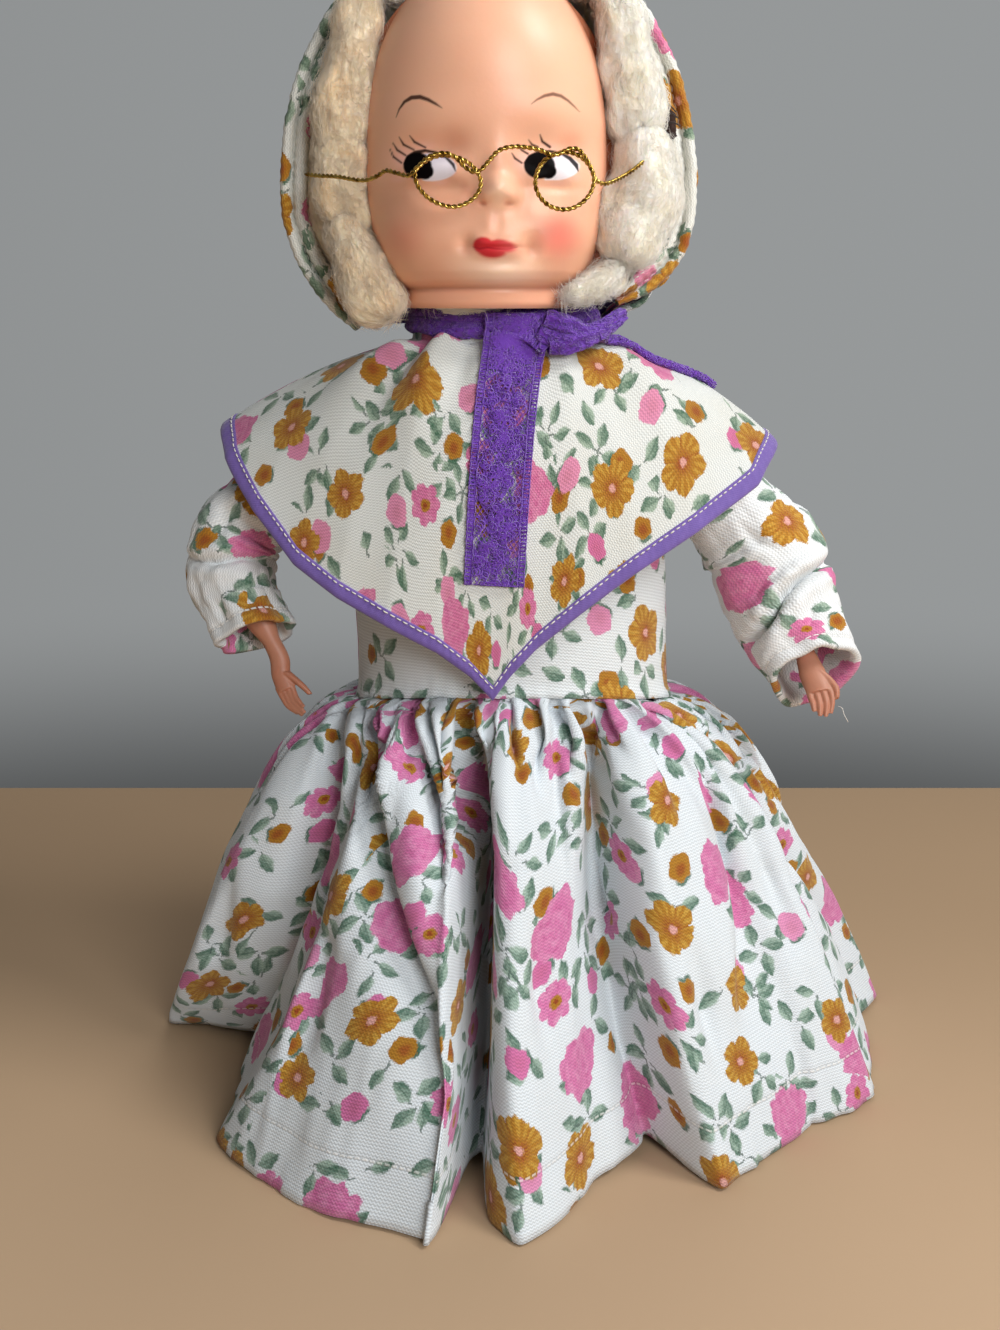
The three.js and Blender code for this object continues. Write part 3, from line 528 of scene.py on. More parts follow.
    # open flowers
    d, c1, c2, c3 = cells(30.0, 0.62, (0.0, 0.0, 0.0))
    r, th = polar(d, c1)
    big = N.m("LESS_THAN", c2, 0.25)
    gold = N.m("MULTIPLY", N.m("GREATER_THAN", c2, 0.25), N.m("LESS_THAN", c2, 0.72))
    jitter = N.m("MULTIPLY", N.m("SUBTRACT", N.noise(N.v("ADD", p, (90.0, 0.0, 0.0)), 0.33, 2.0), 0.5), 3.4)
    jag5 = N.m("POWER", N.m("ABSOLUTE", N.m("COSINE", N.m("MULTIPLY", th, 2.5))), 0.7)
    jag7 = N.m("POWER", N.m("ABSOLUTE", N.m("COSINE", N.m("MULTIPLY", th, 3.5))), 0.8)
    lump = N.m("ADD", N.m("MULTIPLY", N.m("SINE", N.m("MULTIPLY", th, 3.0)), 0.9), N.m("MULTIPLY", N.m("SINE", N.m("MULTIPLY", th, 8.0)), 0.55))
    R_big = N.m("ADD", N.m("ADD", 9.4, lump), jitter)
    R_gold = N.m("ADD", N.m("MULTIPLY_ADD", jag5, 2.4, 5.8), N.m("MULTIPLY", jitter, 0.85))
    R_gold = N.m("ADD", R_gold, N.m("MULTIPLY", N.m("SUBTRACT", c3, 0.5), 2.4))
    R_small = N.m("ADD", N.m("MULTIPLY_ADD", jag7, 1.5, 5.0), N.m("MULTIPLY", jitter, 0.7))
    R = N.m("ADD", N.m("MULTIPLY", big, R_big), N.m("ADD", N.m("MULTIPLY", gold, R_gold),
            N.m("MULTIPLY", N.m("SUBTRACT", 1.0, N.m("ADD", big, gold)), R_small)))
    mask = N.step(-0.15, 0.3, N.m("SUBTRACT", R, r))
    tex = N.noise(N.v("ADD", p, (0.0, 55.0, 0.0)), 0.42, 3.0)
    # pink rose: soft folded petals
    fold = N.noise(N.vec(N.m("MULTIPLY", r, 0.5), N.m("MULTIPLY", th, 1.6)), 0.8, 2.0)
    rose = N.mix(N.step(0.35, 0.75, fold), PINK, PINK_L)
    rose = N.mix(N.m("MULTIPLY", N.step(0.52, 0.66, tex), 0.45), rose, PINK_D)
    # gold flower: streaks from a pale heart
    streak = N.m("MULTIPLY_ADD", N.m("SINE", N.m("MULTIPLY", th, 16.0)), 0.22, tex)
    gl = N.mix(N.step(0.38, 0.7, streak), GOLD, GOLD_L)
    gl = N.mix(N.m("MULTIPLY", N.step(5.6, 1.4, r), N.m("MULTIPLY_ADD", N.step(0.35, 0.62, streak), 0.75, 0.2)), gl, RUST)
    seam = N.m("MULTIPLY", N.step(0.32, 0.05, jag5), N.step(2.0, 5.0, r))
    gl = N.mix(N.m("MULTIPLY", seam, 0.55), gl, RUST)
    gl = N.mix(N.step(1.7, 0.9, r), gl, srgb(232, 170, 160))
    # small pink flower with a gold heart
    sm = N.mix(N.step(0.4, 0.7, tex), PINK, PINK_L)
    sm = N.mix(N.m("MULTIPLY", N.step(0.3, 0.05, jag7), 0.5), sm, PINK_D)
    sm = N.mix(N.step(2.3, 1.7, r), sm, GOLD)
    sm = N.mix(N.step(1.1, 0.6, r), sm, RUST)
    fl = N.mix(big, N.mix(gold, sm, gl), rose)
    col = N.mix(mask, col, fl)
    # thread shading
    shade = N.m("MULTIPLY_ADD", weave, 0.32, 0.755)
    col = N.mix(1.0, col, N.vec(shade, shade, shade), blend="MULTIPLY")
    N.link(col, go.inputs[0])
    N.link(weave, go.inputs[1])
    return g


FLORAL = floral_group()


def floral_material(name, offset=(0, 0), turn=0.0, stitch=None, dirt=0.0, tint=None, edge_stitch=None):
    """cream cotton with the floral print; stitch = (v in mm, run length mm, strength)"""
    mt, N, bs, out = material(name)
    p = uv_mm(N)
    q = N.new("ShaderNodeMapping", vector_type="POINT")
    N.put(q.inputs["Vector"], p)
    q.inputs["Location"].default_value = (offset[0], offset[1], 0)
    q.inputs["Rotation"].default_value = (0, 0, turn)
    gn = N.new("ShaderNodeGroup")
    gn.node_tree = FLORAL
    N.link(q.outputs[0], gn.inputs[0])
    col, weave = gn.outputs[0], gn.outputs[1]
    soft = N.noise(p, 0.035, 2.0)
    col = N.mix(N.m("MULTIPLY", N.step(0.4, 0.75, soft), 0.07 + dirt), col, N.mix(1.0, col, srgb(236, 222, 196), blend="MULTIPLY"))
    if tint is not None:
        col = N.mix(1.0, col, tint, blend="MULTIPLY")
    height = weave
    if stitch is not None:
        x, y, _ = N.xyz(p)
        for v0, run, amount in stitch:
            dy = N.m("ABSOLUTE", N.m("SUBTRACT", y, v0))
            fr = N.m("FRACT", N.m("DIVIDE", x, run))
            on = N.m("MULTIPLY", N.step(0.46, 0.2, dy), N.m("MULTIPLY", N.step(0.04, 0.14, fr), N.step(0.82, 0.7, fr)))
            # painted shade: the cloth is darkened in the furrow along the stitch line
            furrow_shade = N.m("MULTIPLY", N.step(1.2, 0.3, dy), 0.16)
            col = N.mix(furrow_shade, col, N.mix(1.0, col, srgb(150, 140, 130), blend="MULTIPLY"))
            on = N.m("MULTIPLY", on, amount)
            col = N.mix(on, col, srgb(250, 248, 244))
            height = N.m("ADD", height, N.m("MULTIPLY", on, 2.4))
            height = N.m("SUBTRACT", height, N.m("MULTIPLY", N.step(1.6, 0.2, dy), 0.9))
    slub = N.noise(p, 0.8, 2.0)
    height = N.m("ADD", height, N.m("MULTIPLY", slub, 0.5))
    N.link(col, bs.inputs["Base Color"])
    bs.inputs["Roughness"].default_value = 0.82
    bs.inputs["Specular IOR Level"].default_value = 0.25
    bs.inputs["Sheen Weight"].default_value = 0.18
    bs.inputs["Sheen Roughness"].default_value = 0.5
    N.link(N.bump(height, 0.5, 0.00028), bs.inputs["Normal"])
    return mt


def plain_cloth(name, color, dark, pitch=0.55, rough=0.75, sheen=0.3, bump=0.00012, pucker=None):
    mt, N, bs, out = material(name)
    p = uv_mm(N)
    x, y, _ = N.xyz(p)
    k = 2 * math.pi / pitch
    w = N.m("MULTIPLY_ADD", N.m("MULTIPLY", N.m("SINE", N.m("MULTIPLY", x, k)), N.m("SINE", N.m("MULTIPLY", y, k))), 0.5, 0.5)
    n = N.noise(p, 0.3, 3.0)
    fine = N.noise(p, 1.6, 2.0)
    col = N.mix(N.m("MULTIPLY_ADD", n, 0.7, N.m("MULTIPLY", w, 0.25)), dark, color)
    N.link(col, bs.inputs["Base Color"])
    bs.inputs["Roughness"].default_value = rough
    bs.inputs["Specular IOR Level"].default_value = 0.3
    bs.inputs["Sheen Weight"].default_value = sheen
    h = N.m("ADD", w, N.m("MULTIPLY", fine, 0.8))
    nb = N.bump(h, 0.5, bump)
    if pucker:
        ripple = N.m("SINE", N.m("MULTIPLY", y, 2 * math.pi / pucker))
        nb = N.bump(N.m("MULTIPLY_ADD", ripple, 0.10, N.noise(p, 0.25, 2.0)), 0.3, 0.0006, nb)
    N.link(nb, bs.inputs["Normal"])
    return mt


def lace_material(name, half_w, density=1.0):
    """u across the ribbon in mm from its middle, v along it"""
    mt, N, bs, out = material(name)
    p = uv_mm(N)
    x, y, _ = N.xyz(p)
    ax = N.m("ABSOLUTE", x)
    # net ground
    k1 = N.m("ABSOLUTE", N.m("SINE", N.m("MULTIPLY", N.m("ADD", x, N.m("MULTIPLY", y, 0.64)), math.pi / 1.7)))
    k2 = N.m("ABSOLUTE", N.m("SINE", N.m("MULTIPLY", N.m("SUBTRACT", x, N.m("MULTIPLY", y, 0.64)), math.pi / 1.7)))
    net = N.step(0.27, 0.15, N.m("MINIMUM", k1, k2))
    # dense motif: overlapping petals down the middle
    per = 11.5
    fy = N.m("MULTIPLY", N.m("SUBTRACT", N.m("FRACT", N.m("DIVIDE", y, per)), 0.5), per)
    row = N.m("FLOOR", N.m("DIVIDE", y, per))
    sx = N.m("MULTIPLY", N.m("SUBTRACT", N.m("MULTIPLY", N.m("FRACT", N.m("MULTIPLY", row, 0.5)), 2.0), 0.5), 3.2)
    dx = N.m("SUBTRACT", x, sx)
    r = N.v("LENGTH", N.vec(dx, fy))
    th = N.m("ARCTAN2", fy, dx)
    petal = N.m("MULTIPLY_ADD", N.m("ABSOLUTE", N.m("COSINE", N.m("MULTIPLY", th, 3.0))), 2.1, 3.7)
    motif = N.step(-0.3, 0.3, N.m("SUBTRACT", petal, r))
    hole = N.step(1.5, 1.1, r)
    blot = N.m("MAXIMUM", N.step(0.60, 0.64, N.noise(p, 0.34, 2.0)), N.step(15.0, 11.0, y))
    motif = N.m("MAXIMUM", N.m("SUBTRACT", motif, hole), N.m("MULTIPLY", blot, N.step(half_w - 2.6, half_w - 3.2, ax)))
    thread = N.noise(N.vec(N.m("MULTIPLY", x, 1.3), N.m("MULTIPLY", y, 0.8)), 0.9, 2.0)
    motif = N.m("MULTIPLY", motif, N.step(0.40, 0.47, thread))
    # laddered edges: two cords and the rungs between them
    e1 = N.step(0.42, 0.2, N.m("ABSOLUTE", N.m("SUBTRACT", ax, half_w - 0.35)))
    e2 = N.step(0.36, 0.16, N.m("ABSOLUTE", N.m("SUBTRACT", ax, half_w - 2.4)))
    rung = N.m("MULTIPLY", N.step(0.3, 0.55, N.m("ABSOLUTE", N.m("SINE", N.m("MULTIPLY", y, math.pi / 1.1)))), N.step(half_w - 2.5, half_w - 2.3, ax))
    cover = N.m("MAXIMUM", N.m("MAXIMUM", net, motif), N.m("MAXIMUM", N.m("MAXIMUM", e1, e2), rung), clamp=True)
    if density > 1:
        cover = N.m("MAXIMUM", cover, N.step(0.36, 0.42, N.noise(p, 0.75, 2.0)), clamp=True)
    col = N.mix(N.m("MULTIPLY_ADD", N.noise(p, 0.5, 2.0), 0.9, N.m("MULTIPLY", motif, 0.1)), srgb(66, 20, 130), srgb(122, 56, 196))
    N.link(col, bs.inputs["Base Color"])
    bs.inputs["Roughness"].default_value = 0.6
    bs.inputs["Sheen Weight"].default_value = 0.25
    relief = N.m("ADD", N.m("MULTIPLY", motif, 0.7), N.m("ADD", N.m("MULTIPLY", thread, 0.9), N.m("MAXIMUM", e1, e2)))
    N.link(N.bump(relief, 0.7, 0.0004), bs.inputs["Normal"])
    tr = N.new("ShaderNodeBsdfTransparent")
    mx = N.new("ShaderNodeMixShader")
    N.link(cover, mx.inputs[0])
    N.link(tr.outputs[0], mx.inputs[1])
    N.link(bs.outputs[0], mx.inputs[2])
    N.link(mx.outputs[0], out.inputs[0])
    return mt


def vinyl_material(name, painted=False, base=None, rough=0.36):
    mt, N, bs, out = material(name)
    tc = N.new("ShaderNodeTexCoord")
    obj = tc.outputs["Object"]
    if painted:
        at = N.new("ShaderNodeAttribute", attribute_name="Paint", attribute_type="GEOMETRY")
        col = at.outputs["Color"]
        paint = at.outputs["Alpha"]
        N.link(N.m("MULTIPLY_ADD", paint, -0.10, rough + 0.04), bs.inputs["Roughness"])
        N.link(N.m("MULTIPLY_ADD", paint, -0.40, 0.42), bs.inputs["Specular IOR Level"])
        N.link(N.m("MULTIPLY_ADD", paint, -0.22, 0.22), bs.inputs["Subsurface Weight"])
    else:
        n = N.noise(obj, 60.0, 2.0)
        tip = N.noise(obj, 260.0, 2.0)
        col = N.mix(N.step(0.35, 0.7, n), base, tuple(c * k for c, k in zip(base[:3], (0.92, 0.80, 0.74))) + (1.0,))
        N.link(N.m("MULTIPLY_ADD", tip, 0.12, rough - 0.02), bs.inputs["Roughness"])
    N.link(col, bs.inputs["Base Color"])
    if not painted:
        bs.inputs["Subsurface Weight"].default_value = 0.22
        bs.inputs["Specular IOR Level"].default_value = 0.42
    bs.inputs["Subsurface Radius"].default_value = (1.0, 0.42, 0.24)
    bs.inputs["Subsurface Scale"].default_value = 0.0022
    h = N.m("ADD", N.noise(obj, 900.0, 3.0), N.m("MULTIPLY", N.noise(obj, 120.0, 2.0), 1.5))
    N.link(N.bump(h, 0.12, 0.00025), bs.inputs["Normal"])
    return mt


def hair_material(name, a, b, fibre=False):
    mt, N, bs, out = material(name)
    if fibre:
        tc = N.new("ShaderNodeTexCoord")
        n = N.noise(tc.outputs["Object"], 140.0, 2.0)
        N.link(N.mix(n, a, b), bs.inputs["Base Color"])
        bs.inputs["Roughness"].default_value = 0.55
    else:
        p = uv_mm(N)
        x, y, _ = N.xyz(p)
        warp = N.v("ADD", N.vec(N.m("MULTIPLY", x, 1.1), N.m("MULTIPLY", y, 0.22)), N.v("SCALE", N.noise_color(p, 0.12, 1.0), scale=3.0))
        st = N.noise(warp, 1.0, 5.0, 0.62)
        lump = N.noise(p, 0.10, 3.0)
        tone = N.m("MULTIPLY_ADD", st, 0.15, N.m("MULTIPLY", lump, 0.9))
        N.link(N.mix(N.step(0.34, 0.62, tone), b, a), bs.inputs["Base Color"])
        bs.inputs["Roughness"].default_value = 0.95
        fuzz = N.noise(p, 1.1, 4.0, 0.7)
        nb = N.bump(fuzz, 0.4, 0.0009, N.bump(st, 0.2, 0.0005))
        N.link(N.bump(lump, 0.35, 0.0018, nb), bs.inputs["Normal"])
    bs.inputs["Subsurface Weight"].default_value = 0.5
    bs.inputs["Subsurface Radius"].default_value = (1.0, 0.8, 0.55)
    bs.inputs["Subsurface Scale"].default_value = 0.003
    bs.inputs["Sheen Weight"].default_value = 0.5
    bs.inputs["Specular IOR Level"].default_value = 0.2
    return mt


def gilt_material():
    mt, N, bs, out = material("gilt_wire")
    tc = N.new("ShaderNodeTexCoord")
    n = N.noise(tc.outputs["Object"], 420.0, 3.0)
    m = N.noise(tc.outputs["Object"], 90.0, 2.0)
    N.link(N.mix(N.step(0.40, 0.66, n), srgb(206, 176, 96), srgb(128, 98, 36)), bs.inputs["Base Color"])
    N.link(N.m("MULTIPLY_ADD", m, 0.25, 0.16), bs.inputs["Roughness"])
    bs.inputs["Metallic"].default_value = 1.0
    N.link(N.bump(n, 0.25, 0.0001), bs.inputs["Normal"])
    return mt


def simple_material(name, a, b, rough, scale=40.0, metallic=0.0, bump=0.0003):
    mt, N, bs, out = material(name)
    tc = N.new("ShaderNodeTexCoord")
    n = N.noise(tc.outputs["Object"], scale, 4.0)
    N.link(N.mix(n, a, b), bs.inputs["Base Color"])
    N.link(N.m("MULTIPLY_ADD", n, 0.2, rough - 0.1), bs.inputs["Roughness"])
    bs.inputs["Metallic"].default_value = metallic
    N.link(N.bump(n, 0.4, bump), bs.inputs["Normal"])
    return mt


# painted shade: the skirt's copy of the print is tinted cooler and a little darker, as the skirt faces the light less
# than the cape
M_SKIRT = floral_material("print_skirt", (12, 31), 0.0, stitch=[(16.5, 2.3, 0.45)], tint=srgb(238, 243, 248))
M_BODICE = floral_material("print_bodice", (70, 9), 0.1, tint=srgb(242, 246, 248))
M_CAPE = floral_material("print_cape", (33, 52), 0.35, dirt=0.10, tint=srgb(238, 238, 233))
M_SLEEVE_R = floral_material("print_sleeve_right", (5, 77), 1.2, stitch=[(4.2, 2.6, 1.0)])
M_SLEEVE_L = floral_material("print_sleeve_left", (91, 43), 1.9, stitch=[(4.2, 2.6, 1.0)])
M_BONNET = floral_material("print_bonnet", (57, 15), 0.8)
M_BRIM = floral_material("print_brim", (21, 88), 1.45, tint=srgb(250, 248, 240))
M_BIND = plain_cloth("binding_cotton", srgb(128, 104, 178), srgb(98, 76, 150), pitch=0.9, pucker=2.6)
M_THREAD = plain_cloth("white_thread", srgb(250, 248, 242), srgb(214, 208, 200), pitch=0.3, rough=0.6)
M_LACE = lace_material("lace_ribbon", 9.5)
M_LACE_DENSE = lace_material("lace_ribbon_folded", 6.0, density=2.0)
M_LACE_THREAD = plain_cloth("lace_thread", srgb(136, 70, 208), srgb(84, 32, 152), pitch=0.4, rough=0.5, sheen=0.5)
M_FACE = vinyl_material("vinyl_face", painted=True)
M_HAND = vinyl_material("vinyl_hand", base=srgb(184, 127, 102), rough=0.42)
M_HAIR = hair_material("cotton_wool", srgb(255, 253, 244), srgb(255, 245, 224))
M_FIBRE = hair_material("cotton_fibre", srgb(255, 254, 247), srgb(255, 247, 228), fibre=True)
# painted shade: the wool at the doll's right, the side turned from the lamps, gets a warmer, darker copy
M_HAIR_SHADE = hair_material("cotton_wool_painted_shade", srgb(254, 238, 210), srgb(248, 220, 180))
M_FIBRE_SHADE = hair_material("cotton_fibre_painted_shade", srgb(254, 241, 216), srgb(250, 228, 194), fibre=True)
M_GILT = gilt_material()

# -------------------------------------------------------- dimensions, in mm
AXIS_X = 1.0
HEAD_CX, HEAD_CY = -4.0, -10.0
# head section by height: z, half width, depth in front of HEAD_CY
HEAD = [[249, 10, 10], [251, 17, 20], [254, 24.5, 27], [258, 29.5, 31.5], [264, 33, 34], [272, 35.4, 35], [282, 36.3, 36.3],
        [292, 36.3, 37.6], [302, 35.8, 38.6], [312, 34, 38.8], [320, 31.8, 37.6], [328, 28, 34.5], [335, 23, 30],
        [341, 17, 23], [345, 10, 14.5], [347, 4, 6]]
TORSO = [[100, 52.5, 48.5, 5], [121.4, 52.5, 48.5, 5], [150, 52, 48.5, 4], [176, 51.5, 47.5, 3], [198, 51, 44, 2], [212, 50, 38, 1.5],
         [222, 45, 31, 1.5], [230, 37, 26, 1.5], [236, 29, 23, 1.5], [242, 23.5, 22, 1.5]]
HEM = [[-180, 124], [-168, 110], [-154, 127], [-138, 108], [-122, 125], [-108, 104], [-96, 117], [-86, 119], [-79, 89],
       [-70, 92], [-60, 98.5], [-53, 107], [-47, 119.5], [-28, 125], [-19, 128], [-11, 132.5], [-8.2, 129.5], [-6.6, 100], [-3.4, 94],
       [-2.0, 118], [2.2, 131], [5.5, 127], [10.5, 113], [15, 106], [20.5, 100], [25.4, 95], [28, 106], [30.5, 125], [38, 121.5],
       [52, 121.5], [64.5, 133.5], [73, 130], [86, 129], [95, 143], [106, 118], [119, 130], [132, 107], [146, 128], [160, 109],
       [171, 124]]
CAPE_EDGE = [[-180, 0, 56, 138], [-163, -22, 53, 150], [-146, -43, 46, 163], [-126, -66, 36, 178], [-108, -84, 20, 198],
             [-93.5, -92.3, 0, 215], [-79, -87.5, -16, 201], [-66, -76.5, -29, 186], [-54, -63, -40, 171],
             [-43, -49, -47, 162], [-31, -33.5, -52, 154], [-19, -19, -54, 146.5], [-8, -9, -54.5, 139],
             [-1, -2.2, -55, 131.5], [6, 3, -54.5, 139], [15, 11, -54, 147.5], [28, 25.5, -53, 159],
             [42, 42, -49, 170.5], [56, 60, -42, 181.5], [72, 80, -27, 194], [88, 92.4, -4, 208.5],
             [106, 82, 19, 196], [124, 65, 35, 180], [144, 43, 46, 165], [162, 21, 53, 150], [180, 0, 56, 138]]
BONNET = [[238, 38, 33], [243, 42, 36], [250, 52, 41], [262, 60, 47], [274, 64, 52], [290, 64, 55], [305, 62, 55],
          [320, 57, 51], [335, 48, 44], [347, 37, 34], [355, 26, 24], [360, 14, 13], [361.6, 7.5, 7], [362.1, 1.0, 1.0]]
BONNET_CX = -3.5


def waist_z(a):
    return 121.0 + 12.0 * np.maximum(0, np.cos(a)) ** 1.2


def area_of(ob, layers=1):
    n = len(ob.data.polygons)
    a = np.zeros(n, np.float32)
    ob.data.polygons.foreach_get("area", a)
    return float(a.sum()) / layers


def solidify(ob, mm, offset=-1.0):
    modifier(ob, "SOLIDIFY", thickness=mm * MM, offset=offset, use_rim=True, use_even_offset=False)
    apply_modifiers(ob)
    ob.data.polygons.foreach_set("use_smooth", np.full(len(ob.data.polygons), True))


def grid_normals(P, closed_u=False):
    if closed_u:
        du = np.roll(P, -1, 1) - np.roll(P, 1, 1)
    else:
        du = np.gradient(P, axis=1)
    dv = np.gradient(P, axis=0)
    return normalize(np.cross(du, dv))


def traced(P, Nn, lines):
    """height in mm to add along Nn for folds given as lines of pixels; each line is
    (points, depth at its two ends and middle, half width in pixels)"""
    pp = to_px(P.reshape(-1, 3))
    view = normalize(CAM_POS - P.reshape(-1, 3))
    face = smoothstep(0.0, 0.35, (Nn.reshape(-1, 3) * view).sum(-1))
    out = np.zeros(len(pp))
    for pts, dep, wid in lines:
        pts = np.asarray(pts, float)
        seg = np.linalg.norm(np.diff(pts, axis=0), axis=1)
        acc = np.concatenate([[0], np.cumsum(seg)])
        best = np.full(len(pp), 1e9)
        where = np.zeros(len(pp))
        for k in range(len(pts) - 1):
            ab = pts[k + 1] - pts[k]
            t = np.clip(((pp - pts[k]) @ ab) / (ab @ ab), 0, 1)
            d = np.linalg.norm(pp - (pts[k] + t[:, None] * ab), axis=1)
            m = d < best
            best = np.where(m, d, best)
            where = np.where(m, (acc[k] + t * seg[k]) / acc[-1], where)
        q = np.linspace(0, 1, len(dep))
        w = np.interp(where, np.linspace(0, 1, len(np.atleast_1d(wid))), np.atleast_1d(wid))
        out += np.interp(where, q, dep) * np.exp(-(best / w) ** 2)
    return (out * face).reshape(P.shape[:2])


# ------------------------------------------------------------------- skirt
NU, NV = 640, 66
az = np.linspace(-180, 180, NU, endpoint=False)
tt = np.concatenate([np.linspace(0, 0.12, 16, endpoint=False), np.linspace(0.12, 1, NV - 16)])
A, T = np.meshgrid(az, tt)
a = np.radians(A)
# where the three big valleys of the front run, by t
V_T = [0, 0.05, 0.12, 0.25, 0.5, 0.75, 1]
V_AZ = [[-72, -66, -60, -56, -58, -66, -79], [-17.5, -15.5, -12, -8.6, -6.3, -5.2, -4.9], [29, 27.5, 25, 22, 18.5, 19.5, 22.5]]
A_HEM = np.zeros_like(A)
for i, t in enumerate(tt):
    xs = [-180, -112] + [np.interp(t, V_T, v) for v in V_AZ] + [60, 110, 180]
    A_HEM[i] = np.interp(az, xs, [-180, -112, -79, -4.9, 22.5, 60, 110, 180])


def around(deg, rows, soft):
    rows = np.asarray(rows, float)
    x = np.concatenate([rows[:, 0] - 360, rows[:, 0], rows[:, 0] + 360])
    y = np.tile(rows[:, 1], 3)
    out = 0
    ks = np.linspace(-1, 1, 7)
    w = 1.1 - ks ** 2
    for k, q in zip(ks, w):
        out = out + q * np.interp(deg + k * soft, x, y)
    return out / w.sum()


side = np.abs(np.sin(a)) ** 1.2
back = np.maximum(0, -np.cos(a))
pw = 0.74 - 0.22 * np.maximum(side, 0.8 * back)
s = T ** pw
rw = 1 / np.sqrt((np.sin(a) / 51.9) ** 2 + (np.cos(a) / 47.9) ** 2)
hem = around(A_HEM, HEM, 1.1) * smoothstep(0.3, 0.9, T) + around(A_HEM, HEM, 2.2) * (1 - smoothstep(0.3, 0.9, T))
fold = hem - 121
R = rw + (121 - rw) * s + np.where(fold > 0, fold * T ** 0.95, fold * T ** 0.55)


def groove(line, depth, width, lean=0.0, sharp=1.0):
    """a furrow that runs down the skirt; line is (t, azimuth), depth and width (t, mm)"""
    c = np.interp(T, [p[0] for p in line], [p[1] for p in line])
    d = np.interp(T, [p[0] for p in depth], [p[1] for p in depth])
    w = np.interp(T, [p[0] for p in width], [p[1] for p in width])
    x = (((A - c + 180) % 360) - 180) * math.pi / 180 * R
    g = np.exp(-np.abs(x / w) ** (2 * sharp))
    return d * g, lean * g * w


DR = np.zeros_like(R)
DX = np.zeros_like(R)
GROOVES = [
    # line, depth, width, lean
    ([(0, -42), (0.08, -40), (0.23, -33), (0.35, -28), (0.44, -23), (0.57, -18), (0.74, -13)], [(0, 3), (0.08, 6), (0.3, 7.5), (0.5, 6), (0.66, 3), (0.85, 0)], [(0, 3), (0.3, 4.5), (0.6, 8)], 0.7),
    ([(0, -38), (0.09, -29), (0.2, -20), (0.4, -14)], [(0, 3), (0.06, 6), (0.2, 6), (0.36, 0)], [(0, 2.5), (0.3, 4)], 0.4),
    ([(0, -17.5), (0.05, -15.5), (0.12, -12), (0.25, -8.6), (0.5, -6.3), (0.75, -5.2), (1, -4.9)], [(0, 4), (0.08, 12), (0.25, 24), (0.5, 26), (0.8, 19), (1, 5)], [(0, 3), (0.2, 4.6), (1, 5.0)], 0.0),
    ([(0, -6.7), (0.09, -5.3), (0.16, -5)], [(0, 4), (0.08, 5), (0.22, 0)], [(0, 2.2), (0.3, 3.2)], 0.3),
    ([(0, 4), (0.1, 5.3), (0.2, 6)], [(0, 3.5), (0.06, 4.5), (0.19, 0)], [(0, 2.2), (0.3, 3)], -0.2),
    ([(0, 14), (0.14, 11.5), (0.3, 11)], [(0, 4), (0.08, 6), (0.2, 4.5), (0.36, 0)], [(0, 2.3), (0.3, 3.4)], 0.3),
    ([(0, 23), (0.1, 21.7), (0.2, 20)], [(0, 4), (0.08, 6), (0.22, 2), (0.3, 0)], [(0, 2.3), (0.3, 3.2)], 0.0),
    ([(0, 29), (0.05, 27.5), (0.12, 25), (0.25, 22), (0.5, 18.5), (0.75, 19.5), (1, 22.5)], [(0, 4), (0.06, 9), (0.2, 15), (0.4, 12), (0.6, 8), (0.8, 3), (1, 0)], [(0, 2.6), (0.2, 3.6), (0.6, 5.5)], 0.9),
    ([(0, 37), (0.03, 39), (0.07, 43), (0.14, 46.5), (0.25, 50), (0.35, 52), (0.47, 53), (0.59, 51), (0.8, 49)], [(0, 3), (0.07, 5), (0.2, 5.5), (0.5, 4), (0.85, 0)], [(0, 3), (0.2, 6), (0.6, 10)], 0.5),
    ([(0.2, 60), (0.39, 56), (0.51, 52), (0.65, 47), (0.8, 43)], [(0.2, 0), (0.35, 3), (0.6, 4.5), (0.85, 0)], [(0, 6), (0.6, 8)], -0.5),
    ([(0, 62), (0.1, 68), (0.3, 72), (0.5, 80), (0.7, 88), (1, 91)], [(0, 3), (0.1, 6), (0.4, 9), (0.7, 8), (1, 5)], [(0, 3.5), (0.3, 6), (1, 7)], -0.6),
    ([(0, 78), (0.2, 86), (0.5, 97), (0.8, 103), (1, 106)], [(0, 3), (0.15, 6), (0.5, 8), (0.9, 4)], [(0, 3.5), (0.3, 6), (1, 8)], 0.3),
    ([(0, -72), (0.05, -66), (0.12, -60), (0.25, -56), (0.5, -58), (0.75, -66), (1, -79)], [(0, 4), (0.1, 9), (0.3, 14), (0.6, 10), (0.9, 3)], [(0, 3), (0.3, 5.5), (1, 7)], 0.6),
    ([(0, -52), (0.1, -47), (0.3, -41), (0.55, -36), (0.8, -33)], [(0, 3), (0.1, 4.5), (0.3, 3.2), (0.75, 1.8), (0.95, 0)], [(0, 3), (0.4, 7)], -0.3),
    ([(0, -86), (0.2, -90), (0.6, -98), (1, -108)], [(0, 3), (0.15, 6), (0.5, 7), (0.9, 3)], [(0, 3), (0.3, 6), (1, 8)], -0.3),
]
for k, deg in enumerate([-160, -138, -118, 118, 133, 150, 168]):
    GROOVES.append(([(0, deg - 3), (0.5, deg), (1, deg + 3)], [(0, 3), (0.15, 6), (0.5, 7 + k % 3), (1, 4)], [(0, 3), (0.3, 6), (1, 8)], 0.4 * (-1) ** k))
# folds traced as lines on the image; each is put where the plain skirt shows it
B0 = np.stack([5 * (1 - s) + R * np.sin(a), -R * np.cos(a), (waist_z(a) - 0.2) * (1 - T)], -1)
BPX = to_px(B0)
fr = (np.abs(A) < 100)


def on_skirt(points):
    out = []
    for x_, y_ in points:
        d = np.where(fr, (BPX[..., 0] - x_) ** 2 + (BPX[..., 1] - y_) ** 2, 1e9)
        k_ = np.unravel_index(np.argmin(d), d.shape)
        out.append((float(T[k_]), float(A[k_])))
    out.sort()
    return out


